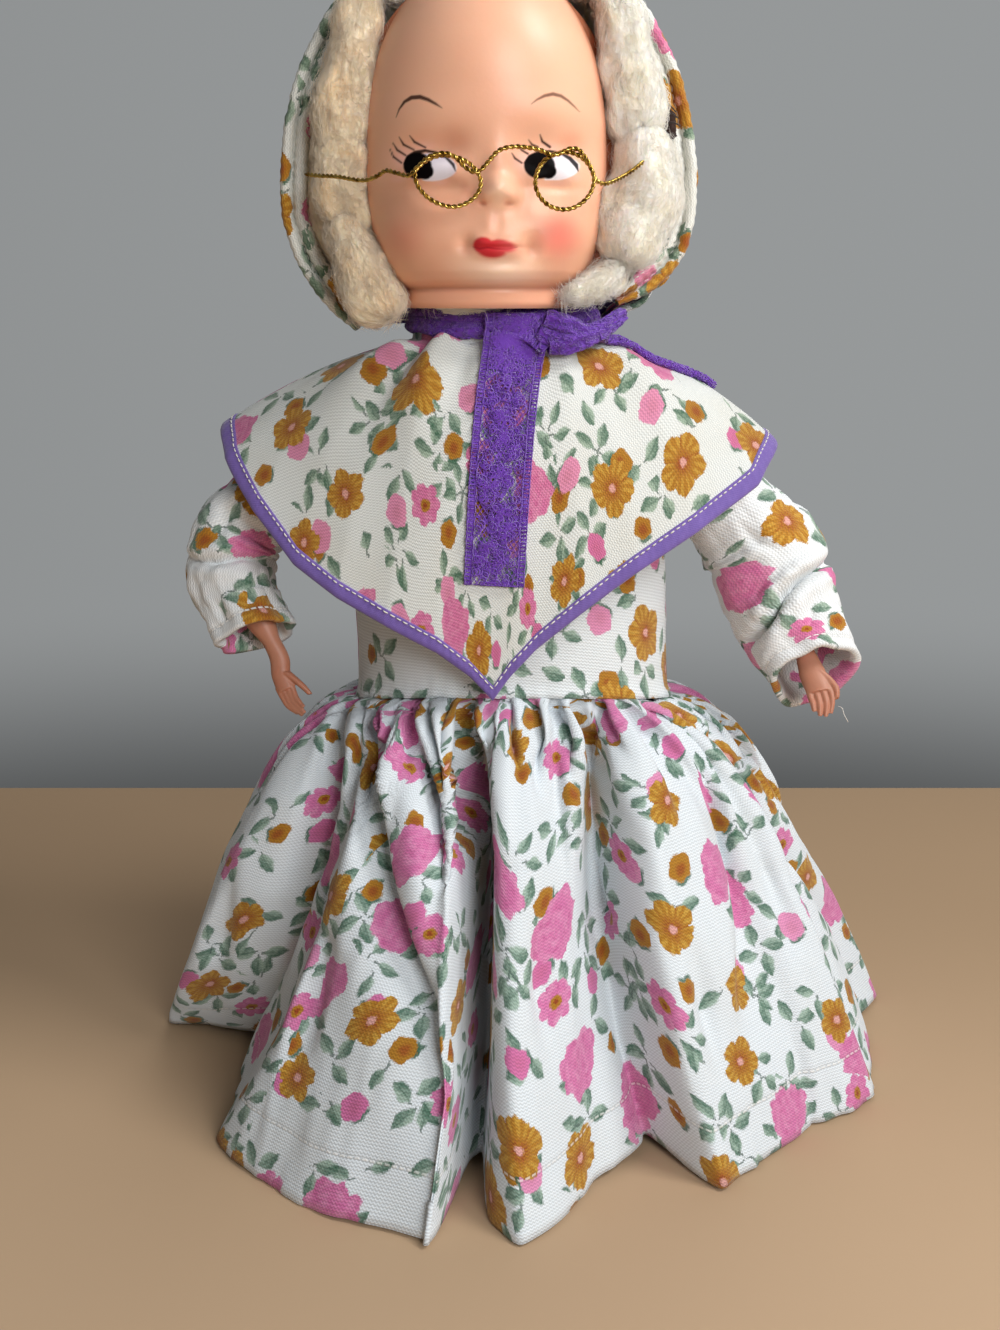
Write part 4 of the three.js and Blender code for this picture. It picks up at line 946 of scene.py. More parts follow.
for pts, depth, width, lean in (
        ([(376, 706), (369, 755), (367, 803), (372, 860), (380, 909), (389, 955), (399, 1004), (412, 1070)], [(0, 3), (0.1, 6.5), (0.3, 7.0), (0.55, 5.0), (0.8, 0)], [(0, 2.4), (0.3, 3.4), (0.7, 5.0)], 0.5),
        ([(712, 706), (745, 765), (772, 818), (797, 875), (820, 928), (845, 1000)], [(0, 2), (0.12, 5.5), (0.45, 6.5), (0.8, 4.0), (1, 1)], [(0, 2.8), (0.4, 4.2), (1, 6)], -0.4),
        ([(604, 910), (612, 955), (622, 1000), (640, 1060), (657, 1135)], [(0.25, 0), (0.45, 4.0), (0.8, 5.5), (1, 4)], [(0.3, 3.5), (1, 6)], 0.5),
        ([(648, 708), (680, 740), (706, 775), (730, 835), (748, 890), (756, 957)], [(0, 2), (0.1, 4.5), (0.35, 4.0), (0.6, 0)], [(0, 2.6), (0.4, 4.5)], 0.3),
        ([(330, 740), (322, 800), (326, 880), (335, 960), (330, 1050)], [(0.05, 0), (0.2, 3.0), (0.5, 2.6), (0.85, 0)], [(0.1, 3.5), (0.8, 6.0)], -0.3),
        ([(540, 760), (548, 830), (552, 900), (560, 985)], [(0.08, 0), (0.2, 2.4), (0.45, 2.0), (0.65, 0)], [(0.1, 3.0), (0.6, 6.0)], 0.2),
        ([(420, 735), (428, 800), (430, 880), (424, 960)], [(0.05, 0), (0.15, 3.6), (0.4, 2.6), (0.62, 0)], [(0.1, 2.8), (0.6, 5.0)], 0.2)):
    GROOVES.append((on_skirt(pts), depth, width, lean))
for gi_, (line, depth, width, lean) in enumerate(GROOVES):
    g, x = groove(line, depth, width, lean, 1.7 if gi_ == 2 else 1.0)
    DR -= g
    DX += x
# the many small pleats of the gathering
deg = -180.0
k = 0
while deg < 178:
    step = rng.uniform(4.8, 8.2)
    deg += step
    reach = rng.choice([0.14, 0.2, 0.3, 0.42, 0.55], p=[0.15, 0.25, 0.25, 0.2, 0.15])
    dep = rng.uniform(5.0, 8.6)
    drift = rng.uniform(-3, 3)
    if abs(deg) < 72:
        continue
    g, x = groove([(0, deg), (reach, deg + drift)], [(0, dep * 0.5), (0.02, dep), (reach * 0.5, dep * 0.75), (reach, 0)], [(0, 1.25), (0.1, 1.7), (0.3, 2.8)], rng.uniform(-0.5, 0.5))
    DR -= g
    DX += x
    k += 1
# the cloth springs out a little below the seam
DR += 6.2 * (T / (T + 0.02)) * np.exp(-T / 0.36) - 0.6
# soft unevenness that runs down with the folds
N2 = np.stack([np.cos(a) * 7 + T * 0.8, np.sin(a) * 7, T * 2.2], -1)
DR += 1.5 * fbm(N2, 1.0, 5) * smoothstep(0.05, 0.5, T)
N3 = np.stack([np.cos(a) * 22, np.sin(a) * 22, T * 4.0], -1)
DR += 0.5 * fbm(N3, 1.0, 9) * smoothstep(0.05, 0.3, T)
R2 = np.maximum(R + DR, 42.2 + 4 * T)
cx = 5 * (1 - s)
Zs = (waist_z(a) - 0.2) * (1 - T)
# the hem: a turned-up edge that lifts a little inside the valleys
Zs = Zs + 2.2 * smoothstep(0.7, 1.0, T) * smoothstep(-4, -24, fold) + 0.35
Zs = Zs + 0.5 * smoothstep(0.85, 1.0, T) * (1 + vnoise(np.stack([np.cos(a) * 9, np.sin(a) * 9], -1), 1.0, 3))
ang = a + DX / np.maximum(R2, 1)
SK = np.stack([cx + R2 * np.sin(ang), -R2 * np.cos(ang), Zs], -1)
GATHER = [
    ([(346, 704), (335, 735), (312, 800), (294, 890)], [-4.0, -6.0, -5.0, 0.0], [4, 8]), ([(359, 706), (356, 745), (352, 800)], [-4.5, -5.5, 0.0], [3.5, 5]),
    ([(374, 706), (369, 745), (366, 805), (370, 880)], [-6.0, -8.5, -6.5, 0.0], [4, 6.5]), ([(391, 706), (386, 735), (378, 768)], [-6.0, -5.5, 0.0], [3.5, 4.5]),
    ([(407, 706), (412, 738), (408, 782)], [-6.0, -6.5, 0.0], [3.5, 5]), ([(421, 708), (431, 762), (444, 811), (447, 880)], [-6.0, -9.0, -8.0, -3.0], [4, 6]),
    ([(446, 706), (442, 742), (450, 790)], [-6.0, -6.0, 0.0], [3.5, 5]), ([(467, 706), (468, 760), (470, 830)], [-7.0, -9.5, -8.0], [5, 9]),
    ([(489, 706), (486, 744), (483, 795)], [-5.0, -5.0, 0.0], [3.5, 5]), ([(508, 706), (515, 742), (524, 786)], [-6.0, -6.5, 0.0], [3.5, 5]),
    ([(532, 706), (541, 747), (541, 800)], [-6.0, -7.0, 0.0], [3.5, 5.5]), ([(555, 706), (566, 742), (580, 800)], [-6.0, -6.5, 0.0], [3.5, 5]),
    ([(577, 706), (591, 738), (600, 782), (604, 850), (601, 940)], [-6.0, -9.5, -9.5, -7.5, 0.0], [4.5, 6.5]), ([(600, 706), (611, 730), (628, 765)], [-5.0, -5.5, 0.0], [3.5, 5]),
    ([(622, 704), (650, 732), (676, 778), (692, 835)], [-4.5, -6.5, -4.5, 0.0], [4, 8]), ([(648, 702), (690, 732), (735, 788), (765, 855)], [-4.5, -6.5, -5.0, 0.0], [4, 8]),
    ([(676, 697), (722, 722), (765, 775), (790, 830)], [-4.5, -5.5, -3.5, 0.0], [4, 7]),
    ([(383, 712), (382, 760), (382, 850)], [2.0, 3.4, 0.0], [5, 9]), ([(478, 712), (480, 770), (488, 840)], [2.0, 3.0, 1.5], [5, 8]),
    ([(498, 712), (500, 760), (506, 850)], [2.0, 3.6, 2.0], [6, 12]), ([(575, 712), (582, 760), (586, 830)], [1.6, 2.2, 1.5], [4, 6]),
    ([(612, 712), (622, 770), (640, 840)], [2.0, 3.9, 0.0], [7, 14]), ([(326, 712), (318, 770), (300, 850)], [2.0, 3.9, 0.0], [7, 14]),
    ([(410, 760), (416, 860), (428, 980)], [0.0, 4.2, 0.0], [10, 16]), ([(740, 800), (775, 880), (800, 960)], [0.0, -5.2, 0.0], [9, 12]),
    ([(330, 900), (312, 1000), (300, 1090)], [0.0, -4.5, 0.0], [10, 12]), ([(232, 850), (215, 960), (200, 1040)], [0.0, -5.2, 0.0], [10, 12]),
    ([(540, 900), (545, 1000), (560, 1090)], [0.0, -3.8, 0.0], [8, 12]), ([(690, 930), (715, 1030), (730, 1100)], [0.0, -4.5, 0.0], [9, 12]),
]
SKN = -grid_normals(SK, True)
SKN *= np.sign((SKN[..., :2] * SK[..., :2]).sum(-1, keepdims=True))
SK = SK + normalize(SKN * [1, 1, 0.3]) * traced(SK, SKN, GATHER)[..., None]
rr_ = np.hypot(SK[..., 0] - cx, SK[..., 1])
kk_ = np.maximum(1, (42.2 + 4 * T) / rr_)
SK[..., 0] = cx + (SK[..., 0] - cx) * kk_
SK[..., 1] = SK[..., 1] * kk_
for _ in range(1):
    SK[1:-1] = 0.5 * SK[1:-1] + 0.25 * (np.roll(SK, 1, 1) + np.roll(SK, -1, 1))[1:-1]
SK[..., 2] = np.maximum(SK[..., 2], 0.3)
# a shallow hollow where the right hand comes past
near = np.exp(-(np.linalg.norm(SK - np.array([-61.0, -16.0, 118.0]), axis=-1) / 9.0) ** 2)
SK[..., 0] += 3.4 * near
SK[..., 1] += 0.8 * near
# flat coordinates: each big fold is laid flat by itself, and they meet in the valleys
edges = np.array([-180, -168, -154 + 16, -108, -79, -42, -4.9, 22.5, 50, 90, 106, 132, 160, 180.0])
ring = np.linalg.norm(np.roll(SK, -1, 1) - SK, axis=-1)
S_ARC = np.concatenate([np.zeros((NV, 1)), np.cumsum(ring, 1)], 1)
down = np.concatenate([np.zeros((1, NU)), np.cumsum(np.linalg.norm(np.diff(SK, axis=0), axis=-1), 0)], 0)
V_ARC = down[-1] - down
V_ARC = np.concatenate([V_ARC, V_ARC[:, :1]], 1)
mids = 0.5 * (edges[1:] + edges[:-1])
MID_ARC = np.stack([[np.interp(m, A_HEM[i], S_ARC[i, :-1]) for m in mids] for i in range(NV)])
AC = np.concatenate([A_HEM, A_HEM[:, :1] + 360], 1)
fc = 0.25 * (AC[:-1, :-1] + AC[1:, :-1] + AC[:-1, 1:] + AC[1:, 1:])
sec = np.clip(np.searchsorted(edges, fc) - 1, 0, len(mids) - 1)
ii, jj = np.meshgrid(np.arange(NV - 1), np.arange(NU), indexing="ij")


def corner(i, j):
    return np.stack([MID_ARC[-8, sec] + S_ARC[i, j] - MID_ARC[i, sec], V_ARC[i, j]], -1) * MM


V_, F_, _ = grid(SK, closed_u=True)
U_ = np.stack([corner(ii, jj), corner(ii, jj + 1), corner(ii + 1, jj + 1), corner(ii + 1, jj)], -2).reshape(-1, 4, 2)
skirt = make("skirt_cloth", (V_, F_[:, ::-1], U_[:, ::-1]), M_SKIRT, "base")
solidify(skirt, 0.7)
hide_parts("dress_skirt")
SKIRT_FLAT = (float(S_ARC[-1, -1]) * MM, float(V_ARC[0].mean()) * MM)

# ------------------------------------------------------------------ bodice
nu, nv = 260, 70
th = np.linspace(0, 2 * math.pi, nu, endpoint=False)
f = np.linspace(0, 1, nv)
TH, Fv = np.meshgrid(th, f)
zb = waist_z(TH) - 0.6
Z = zb + (242 - zb) * Fv
hw = smooth_interp(Z, [r[:2] for r in TORSO], soft=4)
hd = smooth_interp(Z, [[r[0], r[2]] for r in TORSO], soft=4)
cxs = smooth_interp(Z, [[r[0], r[3]] for r in TORSO], soft=4)
wr = 0.9 * fbm(np.stack([np.sin(TH) * 2.2, np.cos(TH) * 2.2, Z / 26 + np.sin(TH) * 0.6], -1), 1.0, 31)
wr += 0.5 * np.sin(Z / 7.0 + 3 * TH + 2 * vnoise(np.stack([TH, Z / 30], -1), 1.0, 8)) * smoothstep(150, 128, Z)
wr += 0.55 * np.abs(np.sin(TH * 27 + 2 * vnoise(np.stack([TH * 3, Z * 0], -1), 2.0, 8))) * smoothstep(8, 0, Z - zb)
out = wr * 0.8 - 0.3 + 0.9 * smoothstep(4.0, 0.0, Z - zb)
BP = np.stack([cxs + (hw + out) * np.sin(TH), -(hd + out) * np.cos(TH), Z], -1)
arc = np.concatenate([np.zeros((nv, 1)), np.cumsum(np.linalg.norm(np.roll(BP, -1, 1) - BP, axis=-1), 1)], 1)
uvb = np.stack([np.repeat(arc[nv // 3][None], nv, 0), np.repeat((Z - zb)[:, :1], nu + 1, 1)], -1) * MM
V_, F_, U_ = grid(BP, closed_u=True, uv=uvb)
cen = V_[F_].mean(1)
keep = np.ones(len(F_), bool)
for sh, ax in (((-49, 0, 213), (-27, 0, -25)), ((52, 0, 212), (25, 0, -26))):
    d = cen - np.array(sh, float)
    ax = np.array(ax, float) / np.linalg.norm(ax)
    along = d @ ax
    off = np.linalg.norm(d - along[:, None] * ax, axis=1)
    keep &= ~((along > -6) & (off < 15.6))
bodice = make("bodice_cloth", (V_, F_[keep], U_[keep]), M_BODICE, "base")
solidify(bodice, 0.7)
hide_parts("dress_bodice")


# -------------------------------------------------------------------- cape
def cape_point(deg, t):
    deg, t = np.broadcast_arrays(np.asarray(deg, float), np.asarray(t, float))
    a = np.radians(deg)
    d = (deg + 180) % 360 - 180
    e = np.stack([np.interp(d, [r[0] for r in CAPE_EDGE], [r[k] for r in CAPE_EDGE]) for k in (1, 2, 3)], -1)
    es = sum(np.stack([np.interp((deg + o_ + 180) % 360 - 180, [r[0] for r in CAPE_EDGE], [r[k] for r in CAPE_EDGE]) for k in (1, 2, 3)], -1)
             for o_ in (-8, -5.3, -2.7, 0, 2.7, 5.3, 8)) / 7
    we = np.exp(-((np.abs(d) - 91) / 13.0) ** 4)[..., None]
    e = e * (1 - we) + es * we
    n0 = np.stack([AXIS_X + 27.5 * np.sin(a), -25.5 * np.cos(a), np.full_like(a, 246.5)], -1)
    n1 = np.stack([AXIS_X + 28.5 * np.sin(a), -26.5 * np.cos(a), np.full_like(a, 237.5)], -1)
    front = np.cos(a) ** 2
    c1 = np.stack([AXIS_X + 42 * np.sin(a), -34 * np.cos(a), np.full_like(a, 236)], -1)
    c2 = np.stack([n1[..., 0] * 0.3 + e[..., 0] * 0.7, e[..., 1] * (0.55 + 0.42 * front), 226 * (1 - front) + 208 * front], -1)
    q0 = np.clip(t / 0.08, 0, 1)[..., None]
    s = np.clip((t - 0.08) / 0.92, 0, 1)[..., None]
    q = 1 - s
    low = n0 * (1 - q0) + n1 * q0
    high = n1 * q ** 3 + c1 * 3 * q * q * s + c2 * 3 * q * s * s + e * s ** 3
    return np.where((t < 0.08)[..., None], low, high)


def cape_surface(deg, t):
    """the cape's middle surface with its soft folds, and its normal"""
    def shape(deg, t):
        P = cape_point(deg, t)
        a = np.radians(deg)
        w = smoothstep(0.05, 0.3, t)
        lift = 1.1 * fbm(np.stack([np.cos(a) * 1.7 + 3, np.sin(a) * 1.7, t * 1.3], -1), 1.0, 14) * w
        lift += 4.5 * np.exp(-((deg + 33) / 7.0) ** 2) * smoothstep(0.06, 0.16, t) * smoothstep(0.75, 0.22, t)
        lift -= 1.7 * np.exp(-((deg + 19) / 6.0) ** 2) * smoothstep(0.1, 0.25, t) * smoothstep(0.7, 0.3, t)
        lift += 3.1 * np.exp(-((deg + 60) / 7.0) ** 2) * smoothstep(0.1, 0.25, t) * smoothstep(0.9, 0.35, t)
        lift -= 2.1 * np.exp(-((deg + 47) / 5.0) ** 2) * smoothstep(0.1, 0.25, t) * smoothstep(0.8, 0.35, t)
        lift += 2.7 * np.exp(-((deg - 30) / 6.0) ** 2) * smoothstep(0.1, 0.2, t) * smoothstep(0.6, 0.25, t)
        lift += 3.1 * np.exp(-((deg - 62) / 8.0) ** 2) * smoothstep(0.1, 0.3, t) * smoothstep(1.0, 0.4, t)
        lift += 0.45 * np.sin(np.radians(deg) * 23) * np.exp(-((t - 0.08) / 0.05) ** 2)
        out = P - np.array([AXIS_X, 0, 190.0])
        out[..., 2] = np.maximum(out[..., 2], 10)
        return P + normalize(out) * lift[..., None]
    P = shape(deg, t)
    dt = shape(deg, np.minimum(t + 0.012, 1)) - shape(deg, np.maximum(t - 0.012, 0))
    da = shape(deg + 0.7, t) - shape(deg - 0.7, t)
    n = normalize(np.cross(dt, da))
    out = P - np.array([AXIS_X, 0, 200.0])
    flip = np.where((n * out).sum(-1) < 0, -1.0, 1.0)
    return P, n * flip[..., None]


nu, nv = 480, 90
dg = np.linspace(-181, 179, nu, endpoint=False)
ts = np.linspace(0, 1, 121)
DG, TS = np.meshgrid(dg, ts)
CP, CN = cape_surface(DG, TS)
seg = np.linalg.norm(np.diff(CP, axis=0), axis=-1)
cum = np.concatenate([np.zeros((1, nu)), np.cumsum(seg, 0)], 0)
total = cum[-1]


def cape_at(deg_index, inset):
    """t at a distance in from the edge, for each column"""
    return np.array([np.interp(total[j] - inset, cum[:, j], ts) for j in deg_index])


t_in = cape_at(range(nu), 4.0)
ff = np.linspace(0, 1, nv)
TC = ff[:, None] * t_in[None]
P, n = cape_surface(np.repeat(dg[None], nv, 0), TC)
dist = np.stack([np.interp(TC[:, j], ts, cum[:, j]) for j in range(nu)], 1)
rad = dist + 22
ar = np.radians(dg)[None]
uvc = np.stack([rad * np.sin(ar), -rad * np.cos(ar)], -1) * MM
uvc = np.concatenate([uvc, uvc[:, :1]], 1)
cape = make("cape_cloth", grid(P, closed_u=True, uv=uvc), M_CAPE, "base")
solidify(cape, 0.7, 0.0)
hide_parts("cape_collar")

# binding folded over the edge, with small puckers
t_b = cape_at(range(nu), 6.5)
Pi, ni = cape_surface(dg, t_b)
Pe, ne = cape_surface(dg, np.full(nu, 0.992))
inw = normalize(Pi - Pe)
arcE = np.concatenate([[0], np.cumsum(np.linalg.norm(np.roll(Pe, -1, 0) - Pe, axis=-1))])
puck = 0.05 * np.sin(arcE[:-1] / 2.6 * 2 * math.pi) + 0.22 * vnoise(np.stack([arcE[:-1] / 6, arcE[:-1] * 0], -1), 1.0, 4)
SEC = [(6.5, 0.0), (6.55, 0.62), (6.2, 0.92), (5.2, 0.80), (3.8, 1.0), (2.2, 1.08), (0.9, 1.0), (0.0, 0.62), (-0.3, 0.0),
       (0.0, -0.62), (0.9, -1.0), (2.6, -1.05), (4.6, -0.9), (6.2, -0.9), (6.55, -0.5)]
rows = []
for along, up in SEC:
    nm = normalize(ne * (1 - along / 6.5) + ni * (along / 6.5))
    k = np.clip(along / 6.5, 0, 1)
    rows.append(Pe + (Pi - Pe) * (along / 6.5) + nm * (up + np.sign(up) * puck * math.sin(math.pi * k))[:, None])
BND = np.stack(rows, 1)
w_ = np.concatenate([[0], np.cumsum([math.dist(SEC[i], SEC[(i + 1) % len(SEC)]) for i in range(len(SEC))])])
uvn = np.stack(np.broadcast_arrays(w_[None, :], arcE[:, None]), -1) * MM
binding = make("cape_binding_tape", grid(BND, closed_u=True, closed_v=True, uv=uvn), M_BIND, "base")
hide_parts("cape_binding")

# white topstitch on the binding, near its inner edge
line = Pe + (Pi - Pe) * (5.35 / 6.5) + ni * 0.86
parts = []
L = arcE[-1]
x = 0.0
closed_line = np.concatenate([line, line[:1]])
closed_n = np.concatenate([ni, ni[:1]])
while x < L - 2.4:
    q = np.linspace(x, x + 1.55 + rng.uniform(-0.15, 0.15), 5)
    pts = np.stack([np.interp(q, arcE, closed_line[:, k]) for k in range(3)], -1)
    nn = np.stack([np.interp(q, arcE, closed_n[:, k]) for k in range(3)], -1)
    pts = pts + nn * np.array([-0.16, 0.12, 0.17, 0.12, -0.16])[:, None]
    parts.append(tube(pts, [0.17, 0.22, 0.23, 0.22, 0.17], 6))
    x += 2.3 + rng.uniform(-0.1, 0.1)
topstitch = make("binding_topstitch", join(parts), M_THREAD, "base")


# ----------------------------------------------------------- lace and ribbon
def many_tubes(C, radius, sides=3):
    """thin fibres, all at once; C is (count, points, 3)"""
    n, m = C.shape[:2]
    T = normalize(np.gradient(C, axis=1))
    ref = np.where(np.abs(T[..., 1:2]) < 0.8, np.array([0, 1.0, 0]), np.array([1.0, 0, 0]))
    u = normalize(np.cross(T, ref))
    v = np.cross(T, u)
    r = np.broadcast_to(np.asarray(radius, float).reshape(-1, 1), (n, 1)) * np.array([0.25] + [1.0] * (m - 2) + [0.1])[None, :]
    t = np.arange(sides) / sides * 2 * math.pi
    P = C[:, :, None] + r[:, :, None, None] * (np.cos(t)[None, None, :, None] * u[:, :, None] + np.sin(t)[None, None, :, None] * v[:, :, None])
    base = (np.arange(n) * m * sides)[:, None, None]
    i = np.arange(m - 1)[None, :, None]
    j = np.arange(sides)[None, None, :]
    a0 = base + i * sides + j
    a1 = base + i * sides + (j + 1) % sides
    b0, b1 = a0 + sides, a1 + sides
    F = np.stack([a0, a1, b1, b0], -1).reshape(-1, 4)
    uv = np.zeros((len(F), 4, 2))
    uv[:, 1:3, 0] = 0.0002
    uv[:, 2:, 1] = 0.002
    return P.reshape(-1, 3), F, uv


def ribbon(path, side, up, width, wave=0.0, wave_len=3.0, across=24, seed=0, curl=0.0):
    """a flat ribbon along path; returns grid data with u across from its middle and v along it"""
    n = len(path)
    T = normalize(np.gradient(path, axis=0))
    side = normalize(side - T * (side * T).sum(-1, keepdims=True))
    up = np.cross(side, T)
    up = up * np.sign((up * up0(n, up)).sum(-1, keepdims=True))
    x = np.linspace(-0.5, 0.5, across)
    s = np.concatenate([[0], np.cumsum(np.linalg.norm(np.diff(path, axis=0), axis=1))])
    W = np.broadcast_to(np.asarray(width, float), (n,))
    X = x[None, :] * W[:, None]
    H = wave * np.sin(s[:, None] / wave_len * 2 * math.pi + 3 * np.sin(x[None, :] * 4)) * np.abs(x[None, :] * 2) ** 1.5
    H = H + wave * 0.8 * vnoise(np.stack([X / 3.0, np.repeat(s[:, None], across, 1) / 3.5], -1), 1.0, seed) - curl * (2 * x[None, :]) ** 2
    P = path[:, None] + side[:, None] * X[..., None] + up[:, None] * H[..., None]
    uv = np.stack([X, np.repeat(s[:, None], across, 1)], -1) * MM
    return grid(P, uv=uv)


def up0(n, up):
    return np.repeat(UP_HINT[None], n, 0)


UP_HINT = np.array([0, -0.7, 0.7])

def lay_on(P, uu, vv, u, v, lift=0.15):
    """points on a grid surface at coordinates u (columns) and v (rows), a little off it"""
    ju = np.clip(np.interp(u, uu, np.arange(len(uu))), 0, len(uu) - 1.001)
    iv = np.clip(np.interp(v, vv, np.arange(len(vv))), 0, len(vv) - 1.001)
    j, i = ju.astype(int), iv.astype(int)
    fu, fv = (ju - j)[..., None], (iv - i)[..., None]
    Nn = grid_normals(P)

    def at(G):
        return (G[i, j] * (1 - fv) + G[i + 1, j] * fv) * (1 - fu) + (G[i, j + 1] * (1 - fv) + G[i + 1, j + 1] * fv) * fu
    C, n = at(P), normalize(at(Nn))
    n = n * np.sign((n * normalize(CAM_POS - C)).sum(-1, keepdims=True))
    return C + n * lift


def loops(count, u0, v0, ur, vr, k, loop, step, seed):
    """short looping threads: coordinates (count, k) that start at u0, v0 and wander"""
    g_ = np.random.default_rng(seed)
    t = np.linspace(0, 1, k)[None]
    w = g_.uniform(2.4, 3.4, (count, 1)) * 2 * math.pi
    p = g_.uniform(0, 6.28, (count, 1))
    d = g_.uniform(0, 6.28, (count, 1))
    lp_ = loop * g_.uniform(0.7, 1.3, (count, 1))
    u = u0[:, None] + step * t * np.cos(d) * g_.uniform(0.6, 1.4, (count, 1)) + lp_ * np.cos(w * t + p)
    v = v0[:, None] + step * t * np.sin(d) * g_.uniform(0.6, 1.4, (count, 1)) + lp_ * np.sin(w * t + p)
    return np.clip(u, ur[0], ur[1]), np.clip(v, vr[0], vr[1])


# the front tail hangs from the band over the cape
fs = np.linspace(0, 1, 110)
tcp = 0.10 + 0.735 * fs
pp, nn = cape_surface(2 - 3 * fs, tcp)
pp[:, 0] = 5.4 - 7.2 * fs
lift = 1.35 + 3.4 * (1 - smoothstep(0.0, 0.3, fs)) + 0.35 * np.sin(fs * 9)
path = pp + nn * lift[:, None]
path[:14] += np.array([0, -1.6, 1.2]) * (1 - smoothstep(0, 0.13, fs[:14]))[:, None]
top_ = np.stack([np.full(16, 5.6), np.linspace(-31.2, -31.6, 16), np.linspace(246.4, 239.0, 16)], -1)
path = np.concatenate([top_, path[6:]])
for _ in range(6):
    path[1:-1] = 0.5 * path[1:-1] + 0.25 * (path[:-2] + path[2:])
acc_ = np.concatenate([[0], np.cumsum(np.linalg.norm(np.diff(path, axis=0), axis=1))])
path = np.stack([np.interp(np.linspace(0, acc_[-1], 110), acc_, path[:, c]) for c in range(3)], -1)
wid = 18.6 + 1.8 * (1 - smoothstep(0.0, 0.18, fs)) - 0.7 * fs
tail_data = ribbon(path, np.repeat([[1.0, 0, 0]], 110, 0), None, wid, wave=0.35, wave_len=5.5, across=60, seed=3)
tail_front = make("lace_tail_front", tail_data, M_LACE, "base")
TP = np.asarray(tail_data[0]).reshape(110, 60, 3)
tv = np.concatenate([[0], np.cumsum(np.linalg.norm(np.diff(path, axis=0), axis=1))])
tu = np.linspace(-9.5, 9.5, 60)
TL = tv[-1]
parts = []
# cords along both laddered edges, and the rungs
for u_ in (-9.25, -7.1, 7.1, 9.25):
    vs = np.linspace(0.2, TL - 0.2, 260)
    parts.append(many_tubes(lay_on(TP, tu, tv, (u_ + 0.12 * np.sin(vs * 2.4))[None], vs[None], 0.12), 0.17, 4))
vs = np.arange(0.5, TL - 0.3, 1.15)
for a_, b_ in ((-9.25, -7.1), (7.1, 9.25)):
    parts.append(many_tubes(lay_on(TP, tu, tv, np.linspace(a_, b_, 5)[None] + 0 * vs[:, None], vs[:, None] + 0.25 * np.sin(np.linspace(0, 3.1, 5))[None], 0.1), 0.16, 3))
# net of fine crossing threads
c_ = np.arange(-22, TL + 22, 2.1)
uu_ = np.linspace(-7.1, 7.1, 22)
for sg in (1, -1):
    vv_ = c_[:, None] + sg * 1.35 * uu_[None]
    C_ = lay_on(TP, tu, tv, np.broadcast_to(uu_, vv_.shape), np.clip(vv_, 0.2, TL - 0.2), 0.06)
    parts.append(many_tubes(C_, 0.12, 3))
# raised medallions down the middle, worked in loops, and denser work near the neck
g_ = np.random.default_rng(8)
us, vs2 = [], []
for r_ in range(int(TL / 11.5) + 1):
    n_ = 17
    th_ = g_.uniform(0, 6.283, n_)
    rd = (3.5 + 1.7 * np.abs(np.cos(1.5 * th_))) * np.sqrt(g_.uniform(0.25, 1.0, n_))
    us.append((-1.6 if r_ % 2 == 0 else 1.6) + rd * np.cos(th_))
    vs2.append((r_ + 0.5) * 11.5 + rd * np.sin(th_))
us.append(g_.uniform(-6.8, 6.8, 95))
vs2.append(g_.uniform(0, 16, 95))
us.append(g_.uniform(-6.8, 6.8, 36))
vs2.append(g_.uniform(16, TL, 36))
us, vs2 = np.concatenate(us), np.concatenate(vs2)
lu, lv = loops(len(us), us, vs2, (-7.3, 7.3), (0.2, TL - 0.2), 20, 1.0, 3.6, 9)
parts.append(many_tubes(lay_on(TP, tu, tv, lu, lv, 0.22), 0.23, 3))
make("lace_tail_threads", join(parts), M_LACE_THREAD, "base")
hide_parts("ribbon_tail_front")


# the band round the neck: two crushed strands of the same ribbon
def neck_ring(az_deg, z_mid, r_add, seed):
    az_ = np.radians(az_deg)
    rise = 4.6 * smoothstep(30, 62, az_deg) * smoothstep(120, 85, az_deg) + 1.5 * smoothstep(-30, -60, az_deg) * smoothstep(-120, -85, az_deg)
    wob = 0.5 * vnoise(np.stack([az_deg / 22.0, az_deg * 0], -1), 1.0, seed)
    c = np.stack([AXIS_X + (28.6 + r_add) * np.sin(az_), -(26.8 + r_add) * np.cos(az_), z_mid + rise * 0.8 + wob], -1)
    return c, np.stack([np.sin(az_), -np.cos(az_), 0 * az_], -1)


def crushed(c, outw, width, depth, seed, rows=26, folds=3):
    """a ribbon crushed into a soft cord with lengthwise folds; the section is an open curl"""
    n = len(c)
    T = normalize(np.gradient(c, axis=0))
    v = normalize(np.cross(T, outw))
    v = v * np.where(v[:, 2:3] < 0, -1, 1)
    q = np.linspace(0, 1, rows)
    s = np.concatenate([[0], np.cumsum(np.linalg.norm(np.diff(c, axis=0), axis=1))])
    ang = (q[None] * 1.75 - 0.12) * math.pi
    wv = np.broadcast_to(np.asarray(width, float), (n,))[:, None]
    rad_v = wv / 2 * (1 + 0.08 * vnoise(np.stack(np.broadcast_arrays(q[None] * 5, s[:, None] / 5), -1), 1.0, seed))
    rad_o = depth * (1 + 0.28 * np.sin(q[None] * folds * 2 * math.pi + 1.5 * vnoise(np.stack([s / 9, s * 0], -1), 1.0, seed + 5)[:, None]))
    rad_o = rad_o + 0.30 * vnoise(np.stack(np.broadcast_arrays(q[None] * 14, s[:, None] / 1.5), -1), 1.0, seed + 2)
    P = c[:, None] + v[:, None] * (rad_v * np.cos(ang))[..., None] + outw[:, None] * (rad_o * np.sin(ang))[..., None]
    uv = np.stack(np.broadcast_arrays((q[None] - 0.5) * 19.0, s[:, None]), -1) * MM
    return grid(P, uv=uv)


